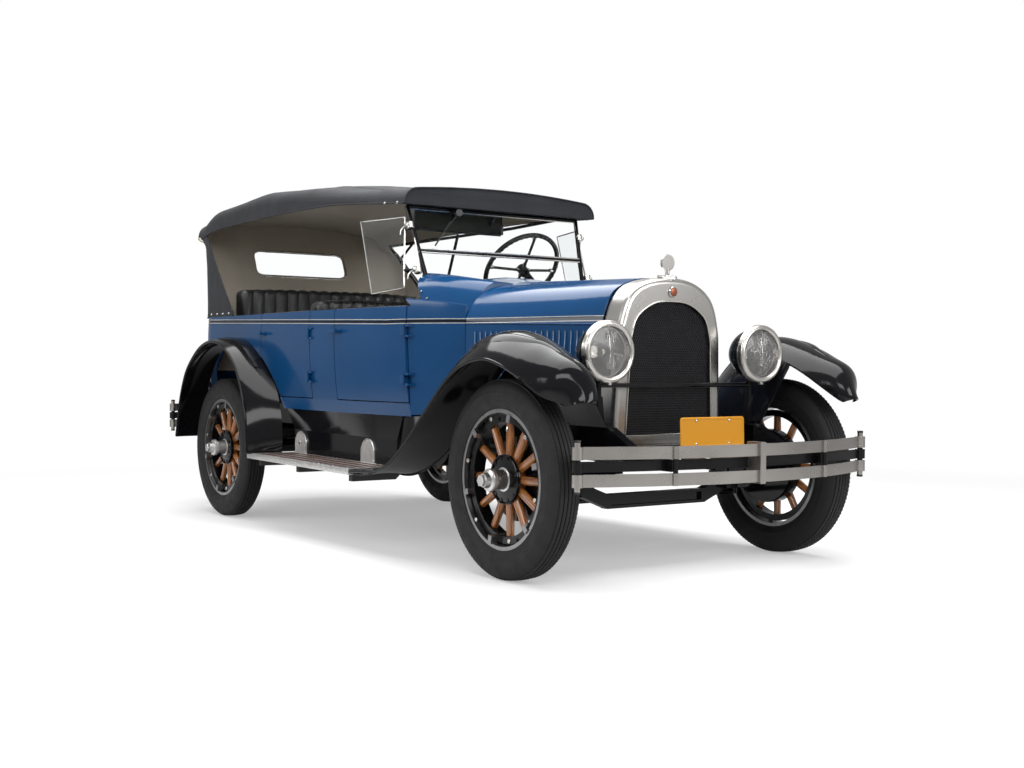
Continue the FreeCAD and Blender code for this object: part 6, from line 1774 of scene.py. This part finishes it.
edge_forms = []
for side in (-1, 1):
    x = side * 0.476
    edge_forms.append(sweep([lay(Vector((x, post_at(z).y - 0.004,
                                         z))) for z in (1.100, 1.250, 1.400, 1.552)], 0.0042, 8))
for z, width in ((1.3625, 0.472), (1.3455, 0.472), (1.550, 0.472), (1.108, 0.490)):
    y = post_at(z).y - 0.005
    edge_forms.append(sweep([lay(Vector((x, y, z))) for x in (-width, 0, width)], 0.0036, 8))
build("pane_edges", edge_forms, metal_nickel)

wiper_top = Vector((-0.235, post_at(1.545).y - 0.020, 1.545))
arm_end = Vector((-0.330, post_at(1.440).y - 0.022, 1.440))
wiper = [turned([(-0.030, 0.0), (-0.030, 0.018), (-0.026, 0.021), (0.012, 0.021), (0.015, 0.018),
                 (0.015, 0.0)], lay(wiper_top), (0, 1, 0), 20),
         sweep([lay(wiper_top + Vector((0, -0.026, 0))),
                lay(wiper_top.lerp(arm_end, 0.5) + Vector((0, -0.014, 0))), lay(arm_end)], 0.0030,
               8)]
blade_dir = (arm_end - wiper_top).normalized()
blade = sweep([lay(arm_end - blade_dir * 0.085), lay(arm_end), lay(arm_end + blade_dir * 0.085)],
              0.0040, 6)
build("wiper_arm", wiper, metal_dark)
build("wiper_blade", [blade], rubber_hard)

visor = []
for y_off in (0.030, 0.034):
    visor.append([lay(Vector((x, post_at(z).y + y_off + (1.55 - z) * 0.5, z))) for x, z in
                  ((-0.430, 1.548), (0.060, 1.548), (0.060, 1.462), (-0.430, 1.462))])
visor_verts = visor[0] + visor[1]
visor_faces = [(0, 1, 2, 3), (4, 5, 6, 7)] + [(k, (k + 1) % 4, 4 + (k + 1) % 4,
                                               4 + k) for k in range(4)]
build("sun_visor", [(visor_verts, visor_faces)], dark_glass)
build("sun_visor_rim", [sweep(visor[0], 0.0045, 8,
                              True)] + [sweep([lay(Vector((x, post_at(1.552).y + 0.006, 1.556))),
      lay(Vector((x, post_at(1.552).y + 0.031, 1.548)))], 0.005, 8) for x in (-0.36, -0.01)],
      metal_dark)
mirror_at = Vector((0.0, post_at(1.50).y + 0.075, 1.492))
mirror_frame = block(mirror_at - Vector((0.085, 0.006, 0.026)),
                     mirror_at + Vector((0.085, 0.006, 0.026)), 0.005, BODY_RAKE)
mirror_glass = block(mirror_at + Vector((-0.079, 0.0055, -0.020)),
                     mirror_at + Vector((0.079, 0.0075, 0.020)), 0.0008, BODY_RAKE)
stalk = sweep([lay(mirror_at), lay(mirror_at + Vector((0, -0.040, 0.032))),
               lay(mirror_at + Vector((0, -0.052, 0.064)))], 0.0045, 8)
build("mirror_shell", [mirror_frame, stalk], metal_dark)
# The mirror's face is partly a painted reflection: a pale, partly metallic finish.
build("mirror_face", [mirror_glass], mirror_painted_reflection)

foot_bolts = []
for side in (-1, 1):
    place, normal = cast("cowl", (side * 0.519, -0.40 + SHIFT - 0.02, 1.6), (0, 0, -1))
    if place is None:
        continue
    for dy in (-0.028, 0.022):
        spot, face = cast("cowl", (side * 0.521, place.y + dy, 1.6), (0, 0, -1))
        if spot is not None:
            foot_bolts.append((spot + face * 0.004, face))
repeat("stanchion_bolts", HEX_BOLT, foot_bolts, metal_bright, size=0.6)

# %% [markdown]
# ## Steering wheel and driver's controls
# The wheel's rim has a row of finger grips on its under side, and its hub carries a horn button.
# Pedals, mats and the gear lever's boot are set on the floor, and the instrument board carries
# four round dials with bare faces and five knobs.

# %% Steering wheel and controls
LEAN = math.radians(38)
column_way = Vector((0, math.cos(LEAN), math.sin(LEAN)))
wheel_mid = Vector((0.330, 0.062, 1.325))
wheel_up = (raked(*(wheel_mid + column_way)) - raked(*wheel_mid)).normalized()
wheel_at = raked(*wheel_mid)
side_x = Vector((1, 0, 0))
side_z = wheel_up.cross(side_x)
grips = []
for i in range(44):
    a = 2 * math.pi * i / 44
    way = side_x * math.cos(a) + side_z * math.sin(a)
    grips.append((wheel_at + way * 0.205 - wheel_up * 0.0102, -wheel_up))
grip_form = turned([(0, 0.0090), (0.0024, 0.0080), (0.0040, 0.0048), (0.0044, 0.0)], ORIGIN, UP, 10)
repeat("wheel_grips", grip_form, grips, rubber_hard, "steering_wheel_body")
horn = [turned([(0.006, 0.0), (0.006, 0.021), (0.010, 0.021), (0.014, 0.019), (0.017, 0.014),
                (0.018, 0.0)], wheel_at, wheel_up, 28)]
build("horn_button", horn, rubber_hard, "steering_wheel_body")
nut = [turned([(0.005, 0.025), (0.0085, 0.025), (0.0105, 0.0225), (0.0105, 0.019)], wheel_at,
              wheel_up, 28)]
build("horn_ring", nut, metal_bright, "steering_wheel_body")
spoke_forms = []
for i in range(4):
    a = math.pi / 2 * i
    way = side_x * math.cos(a) + side_z * math.sin(a)
    spoke_forms.append(sweep([wheel_at + way * 0.178, wheel_at + way * 0.190,
                              wheel_at + way * 0.196], 0.0102, 10))
    spoke_forms.append(sweep([wheel_at + way * 0.024 - wheel_up * 0.010,
                              wheel_at + way * 0.040 - wheel_up * 0.009], 0.0095, 10))
build("spoke_ferrules", spoke_forms, metal_bright, "steering_wheel_body")

board_y = -0.334
dials, dial_rims, needles = [], [], []


def on_board(x, z):
    place, normal = cast("cowl", (x, 0.3 + SHIFT, z), (0, -1, 0))
    return (place, normal) if place is not None else (raked(x, board_y, z, HOOD_RAKE),
                                                      Vector((0, 1, 0)))


for x, z, r in ((-0.105, 1.105, 0.034), (0.0, 1.112, 0.042), (0.105, 1.105, 0.034),
                (-0.195, 1.098, 0.022)):
    place, normal = on_board(x, z)
    dials.append(turned([(0.0008, 0.0), (0.0008, r), (0.003, r), (0.003, 0.0)], place, normal, 36))
    dial_rims.append(turned([(0.0, r), (0.0, r + 0.006), (0.006, r + 0.0055), (0.008, r + 0.002),
                             (0.007, r - 0.001), (0.003, r - 0.002)],
                            place, normal, 36))
    needle_way = Vector((math.sin(0.9 + x * 9), 0, math.cos(0.9 + x * 9)))
    needles.append(sweep([place + normal * 0.0042 - needle_way * r * 0.22,
                          place + normal * 0.0042 + needle_way * r * 0.74], 0.0009, 6))
    for k in range(11):
        a = math.radians(-120 + 24 * k)
        way = Vector((math.sin(a), 0, math.cos(a)))
        needles.append(sweep([place + normal * 0.0033 + way * r * 0.78,
                              place + normal * 0.0033 + way * r * 0.92], 0.0006, 4))
place, normal = on_board(0.0, 1.108)
panel = block((-0.232, -0.0012, -0.052), (0.232, 0.0018, 0.052), 0.0012)
panel_form = ([place + Vector((v.x, v.y, v.z)) for v in panel[0]], panel[1])
build("dial_panel", [panel_form], metal_dark)
build("dial_faces", dials, dial_face)
build("dial_rims", dial_rims, metal_bright)
build("dial_needles", needles, rubber_hard)
knobs = []
for x, z in ((0.185, 1.085), (0.205, 1.120), (-0.165, 1.070), (0.05, 1.062), (-0.05, 1.062)):
    place, normal = on_board(x, z)
    knobs.append(turned([(0, 0.004), (0.012, 0.004), (0.014, 0.010), (0.022, 0.0105),
                         (0.025, 0.007), (0.025, 0)], place, normal, 16))
build("board_knobs", knobs, rubber_hard)
print("dials at", tuple(round(v, 3) for v in place))

pedal_forms, pedal_pads = [], []
for x in (0.250, 0.380, 0.480):
    tall = 0.085 if x < 0.47 else 0.10
    wide = 0.030 if x < 0.47 else 0.019
    place, normal = cast("floor_pan", (x, -0.470 + SHIFT, 0.95), (0, 0, -1))
    if place is None:
        place = raked(x, -0.470, 0.660)
    pedal_forms.append(sweep([place - Vector((0, 0.0, 0.004)), place + Vector((0, 0.020, 0.060)),
                              place + Vector((0, 0.050, 0.098))], 0.0075, 10))
    pad_at = place + Vector((0, 0.052, 0.100))
    pad = block((-wide, -0.006, -tall / 2), (wide, 0.006, tall / 2), 0.003)
    turn = Matrix.Rotation(math.radians(38), 3, "X")
    pedal_pads.append(([pad_at + turn @ v for v in pad[0]], pad[1]))
build("pedal_arms", pedal_forms, metal_dark)
build("pedal_pads", pedal_pads, rubber_hard)
mat_rows = []
for y0, y1, wide in ((-0.400, 0.195, 0.500), (0.660, 1.040, 0.545)):
    spot, face = cast("floor_pan", (-0.30, (y0 + y1) / 2 + SHIFT, 0.80), (0, 0, -1))
    base = (spot.z if spot else 0.655)

    def on_floor(form):
        verts, faces = form
        slope = math.tan(BODY_RAKE)
        return [Vector((v.x, v.y + SHIFT, base + v.z + 0.0004 + (v.y - (y0 + y1) / 2) * slope))
                for v in verts], faces

    mat_rows.append(on_floor(block((-wide, y0, 0.0), (wide, y1, 0.005), 0.002)))
    for k in range(int(wide * 2 / 0.024)):
        x = -wide + 0.012 + k * 0.024
        mat_rows.append(on_floor(block((x - 0.004, y0 + 0.012, 0.004),
                                       (x + 0.004, y1 - 0.012, 0.0075), 0.0012)))
build("floor_mats", mat_rows, rubber_hard)
boot = turned([(-0.02, 0.062), (0.0, 0.060), (0.012, 0.048), (0.020, 0.046), (0.030, 0.034),
               (0.040, 0.032), (0.052, 0.020), (0.060, 0.018), (0.070, 0.0102)],
              raked(0, -0.314, 0.665), raked(-0.020, 0.080, 0.430) - raked(0, 0, 0), 24)
build("lever_boot", [boot], rubber_hard)

# %% [markdown]
# ## Doors, inside and out
# Each door has a leather panel inside with a map pocket, and a padded roll along its top. The
# panels follow the door's own curve.

# %% Door panels and rolls
def inner_sheet(node, y0, y1, z0, z1, lift, thick, rows=14, columns=18):
    """A padded sheet on a door's inner face, right side, found by casting lines from inside."""
    face = []
    for i in range(rows + 1):
        z = z0 + (z1 - z0) * i / rows
        row = []
        for k in range(columns + 1):
            y = y0 + (y1 - y0) * k / columns
            place, normal = cast(node, (-0.30, y, z), (-1, 0, 0))
            row.append(Vector((place.x, y, z)) if place is not None else None)
        face.append(row)
    if any(p is None for row in face for p in row):
        return None
    out = []
    for i, row in enumerate(face):
        new = []
        for k, p in enumerate(row):
            edge = min(i, rows - i, k, columns - k)
            puff = 0.0 if edge == 0 else (0.6 if edge == 1 else 1.0)
            new.append(p + Vector((lift + thick * (0.25 + 0.75 * puff), 0, 0)))
        out.append(new)
    back = [[p + Vector((lift, 0, 0)) for p in row] for row in face]
    verts = [p for row in out for p in row] + [p for row in back for p in row]
    wide, half = columns + 1, (rows + 1) * (columns + 1)
    faces = []
    for i in range(rows):
        for k in range(columns):
            a = i * wide + k
            faces.append((a, a + 1, a + 1 + wide, a + wide))
            faces.append((half + a, half + a + wide, half + a + 1 + wide, half + a + 1))
    for k in range(columns):
        faces.append((k, half + k, half + k + 1, k + 1))
        a = rows * wide + k
        faces.append((a, a + 1, half + a + 1, half + a))
    for i in range(rows):
        a = i * wide
        faces.append((a, a + wide, half + a + wide, half + a))
        b = a + columns
        faces.append((b, half + b, half + b + wide, b + wide))
    return verts, faces


for door in ("front", "rear"):
    node = "door_" + door + "_right"
    low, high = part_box(node)
    panel = inner_sheet(node, low[1] + 0.060, high[1] - 0.060, low[2] + 0.060, high[2] - 0.050,
                        0.0006, 0.006)
    pocket = inner_sheet(node, low[1] + 0.110, high[1] - 0.110, low[2] + 0.100, low[2] + 0.270,
                         0.0064, 0.007)
    roll = []
    for k in range(25):
        y = low[1] + 0.010 + (high[1] - low[1] - 0.020) * k / 24
        place = surface_right(node, y, high[2] - 0.012 - (high[1] - y) * math.tan(BODY_RAKE))
        if place is not None and place.x < -0.3:
            roll.append(Vector((place.x + 0.0135, y,
                                high[2] - 0.003 - (high[1] - y) * math.tan(BODY_RAKE))))
    for side in ("right", "left"):
        body = "door_" + door + "_" + side + "_body"
        turn = (lambda f: f) if side == "right" else flipped
        forms = [turn(f) for f in (panel, pocket) if f]
        if forms:
            build("door_trim_" + door + "_" + side, forms, hide_trim, body)
        if len(roll) > 3:
            build("door_roll_" + door + "_" + side, [turn(sweep(roll, 0.0115, 10, squash=0.62))],
                  hide_black, body)

# %% [markdown]
# ## Louvres, hood strips and knobs
# On the real hood each louvre is a pressed slit with a rolled lip, and the lip's gloss is what
# shows from afar. A pressed dent needs the leaf's own mesh, so thin lips are laid on instead,
# each with a dark strip of painted shade behind it where the slit's opening would be dark, and
# they ride on the side leaves. Their finish is paler than the hood's paint: it is a painted
# highlight that stands in for that gloss.

# %% Louvre lips and the strips of painted shade behind them
LOUVRES, LOUVRE_FIRST, LOUVRE_LAST = 20, -1.282, -0.720
for side, name in ((-1, "right"), (1, "left")):
    lips, shade_strips = [], []
    for i in range(LOUVRES):
        y = LOUVRE_FIRST + (LOUVRE_LAST - LOUVRE_FIRST) * i / (LOUVRES - 1)
        lip, shade_strip = [], []
        for z in (0.756, 0.820, 0.900, 0.938, 0.972):
            start = raked(side * 0.9, y, z)
            place, normal = cast("hood_side_" + name, start, (-side, 0, 0))
            behind, normal = cast("hood_side_" + name, start + Vector((0, 0.0085, 0)),
                                  (-side, 0, 0))
            if place is not None and behind is not None:
                lip.append(Vector((max(abs(place.x), abs(behind.x) + 0.0040) * side, place.y,
                                   place.z)))
                shade_strip.append(behind)
        if len(lip) > 3:
            lips.append(sweep(lip, 0.0026, 6))
            # A dark strip a little behind each lip is painted shade for the louvre's dark opening.
            shade_strips.append(sweep(shade_strip, 0.0028, 6, squash=0.5))
    body = "hood_side_" + name + "_body"
    print("louvres on the", name, "side:", len(lips))
    build("louvre_lips_" + name, lips, louvre_painted_highlight, body)
    build("louvre_slits_" + name, shade_strips, iron, body)

# %% Hood strips and knobs
for side, name in ((-1, "right"), (1, "left")):
    strip = []
    for k in range(30):
        y = -1.332 + (1.332 - 0.652) * k / 29 + SHIFT
        place, normal = cast("hood_top_" + name, (side * 0.030, y, 1.5), (0, 0, -1))
        if place is not None:
            strip.append(place + Vector((0, 0, 0.0004)))
    if len(strip) > 3:
        build("hood_strip_" + name, [sweep(strip, 0.0042, 8, squash=0.6)], metal_bright,
              "hood_top_" + name + "_body")
    knobs = []
    for y in (-1.18, -0.80):
        place, normal = cast("hood_side_" + name, (side * 1.2, y + SHIFT, 0.872), (-side, 0, 0))
        if place is not None:
            knobs += [turned([(0, 0.0), (0, 0.017), (0.003, 0.017), (0.005, 0.012), (0.005, 0.0)],
                             place, normal, 20),
                      turned([(0.004, 0.006), (0.016, 0.006), (0.019, 0.0105), (0.025, 0.0105),
                              (0.028, 0.007), (0.028, 0.0)], place, normal, 16)]
    if knobs:
        build("hood_knobs_" + name, knobs, metal_nickel, "hood_side_" + name + "_body")

# %% [markdown]
# ## Spare wheel, tail lamp, springs and engine
# The spare carries the same ribbed tyre. A bright rim holds the red lens of the tail lamp, bolts
# tie the springs to the axles, and the engine's block gets its head, plugs, hose and fan.

# %% Spare, lamp, springs and engine
spare_verts, spare_faces = tyre_mesh((0.0, 0.0, 0.0), 220)
spare_y, spare_z = 2.127, 0.800
turned_spare = [raked(v.y, spare_y + v.x, spare_z + v.z) for v in spare_verts]
piece = build("ribbed_spare_tyre", [(turned_spare, spare_faces)], rubber, angle=28)
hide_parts("spare_tyre")
rear_way = (raked(0, 1, 0) - raked(0, 0, 0)).normalized()
nuts = []
for i in range(6):
    a = math.radians(30 + 60 * i)
    nuts.append((raked(0.200 * math.sin(a), spare_y + 0.0068, spare_z + 0.200 * math.cos(a)),
                 rear_way))
repeat("spare_nuts", HEX_BOLT, nuts, metal_nickel, size=1.1)
build("spare_hub_cap", [turned([(0.006, 0.0), (0.006, 0.046), (0.010, 0.050), (0.016, 0.048),
                                (0.022, 0.036), (0.030, 0.034), (0.034, 0.028),
                                (0.034, 0.0)], raked(0, spare_y, spare_z), rear_way, 36)],
      metal_nickel)

lamp_face = raked(-0.560, 2.0522, 0.690)
build("tail_lamp_rim", [turned([(-0.010, 0.0445), (-0.010, 0.0475), (0.0, 0.0480), (0.004, 0.0450),
                                (0.004, 0.0385), (0.001, 0.0380)],
                               lamp_face, rear_way, 36)], metal_nickel)
lens_profile = [(0.0005, 0.0), (0.0005, 0.0392)] + [(0.0015 + 0.009 * math.cos(math.radians(a)),
                                                     0.0385 * math.sin(math.radians(a)))
                                                 for a in (90, 75, 60, 45, 30, 15, 0)]
build("tail_lamp_lens", [turned(lens_profile, lamp_face, rear_way, 36)], glass_red)

bolt_forms, bolt_nuts = [], []
for axle in (FRONT_AXLE, REAR_AXLE):
    for side in (-1, 1):
        for dy in (-0.045, 0.045):
            y = axle + dy + SHIFT
            lowest = None
            for x_try in (0.385, 0.430, 0.470, 0.520, 0.560):
                top, _ = cast("leaf_springs", (side * x_try, y, 1.2), (0, 0, -1))
                low, _ = cast("leaf_springs", (side * x_try, y, -0.2), (0, 0, 1))
                if top is not None and low is not None:
                    lowest = (x_try, top.z, low.z)
                    break
            if lowest is None:
                continue
            x, top_z, low_z = lowest
            for dx in (-0.0285, 0.0285):
                bolt_nuts.append((Vector((side * x + dx, y, top_z + 0.004)), (0, 0, 1)))
                bolt_forms.append(sweep([Vector((side * x + dx, y, top_z + 0.014)),
                                         Vector((side * x + dx, y, low_z - 0.012))], 0.0052, 8))
            bolt_forms.append(block((side * x - 0.036, y - 0.010, top_z + 0.0002),
                                    (side * x + 0.036, y + 0.010, top_z + 0.0052), 0.0012))
if bolt_nuts:
    build("spring_bolts", bolt_forms, iron)
    repeat("spring_nuts", HEX_BOLT, bolt_nuts, iron, size=0.9)

engine_forms, studs, plugs = [], [], []
engine_forms.append(block((-0.120, -1.235, 0.9605), (0.120, -0.700, 1.000), 0.006, BODY_RAKE))
engine_forms.append(block((0.1902, -1.200, 0.700), (0.2140, -0.720, 0.800), 0.008, BODY_RAKE))
for i in range(6):
    y = -1.190 + i * 0.088
    for x in (-0.100, 0.100):
        studs.append((raked(x, y, 0.9995), (0, 0, 1)))
    plugs.append(turned([(0, 0.011), (0.008, 0.011), (0.010, 0.006), (0.038, 0.0055),
                         (0.042, 0.003), (0.046, 0.0)],
                        raked(0.0, y + 0.044 - 0.02, 0.9995), (0, 0, 1), 12))
engine_forms.append(turned([(0, 0.0), (0, 0.030), (0.070, 0.030), (0.072, 0.036), (0.100, 0.036),
                            (0.106, 0.028), (0.106, 0.0)],
                           raked(0.150, -0.760, 0.960), (0, 0, 1), 24))
build("engine_head", engine_forms, iron)
repeat("head_studs", HEX_BOLT, studs, metal_dark, size=1.2)
build("spark_plugs", plugs, dial_face)
fan_at = raked(0, -1.292, 0.880)
blades = []
for i in range(4):
    a = math.pi / 2 * i + 0.3
    way = Vector((math.sin(a), 0, math.cos(a)))
    across_way = Vector((math.cos(a), 0, -math.sin(a)))
    rows = []
    for r in (0.025, 0.060, 0.110, 0.155):
        half = 0.018 + 0.018 * (r / 0.155)
        rows.append([fan_at + way * r + across_way * half * s + Vector((0, 0.010 * s, 0))
                     for s in (-1, -0.3, 0.3, 1)])
    verts, faces = grid(rows)
    back = [v + Vector((0, 0.0022, 0)) for v in verts]
    n = len(verts)
    blades.append((verts + back, faces + [tuple(n + j for j in reversed(f)) for f in faces]))
blades.append(turned([(-0.012, 0.0), (-0.012, 0.026), (0.016, 0.030), (0.016, 0.0)], fan_at,
                     (0, 1, 0), 24))
build("cooling_fan", blades, metal_dark)
hose = smooth_line([raked(0, -1.228, 1.000), raked(0, -1.250, 1.040), raked(0, -1.300, 1.066),
                    raked(0, -1.336, 1.070)], 8)
clips = [sweep([p, q], 0.0235, 16) for p, q in ((hose[2], hose[3]), (hose[-4], hose[-3]))]
build("radiator_hose", [sweep(hose, 0.0215, 16)], rubber_hard)
build("hose_clips", clips, metal_bright)
print("springs bolted", len(bolt_nuts))
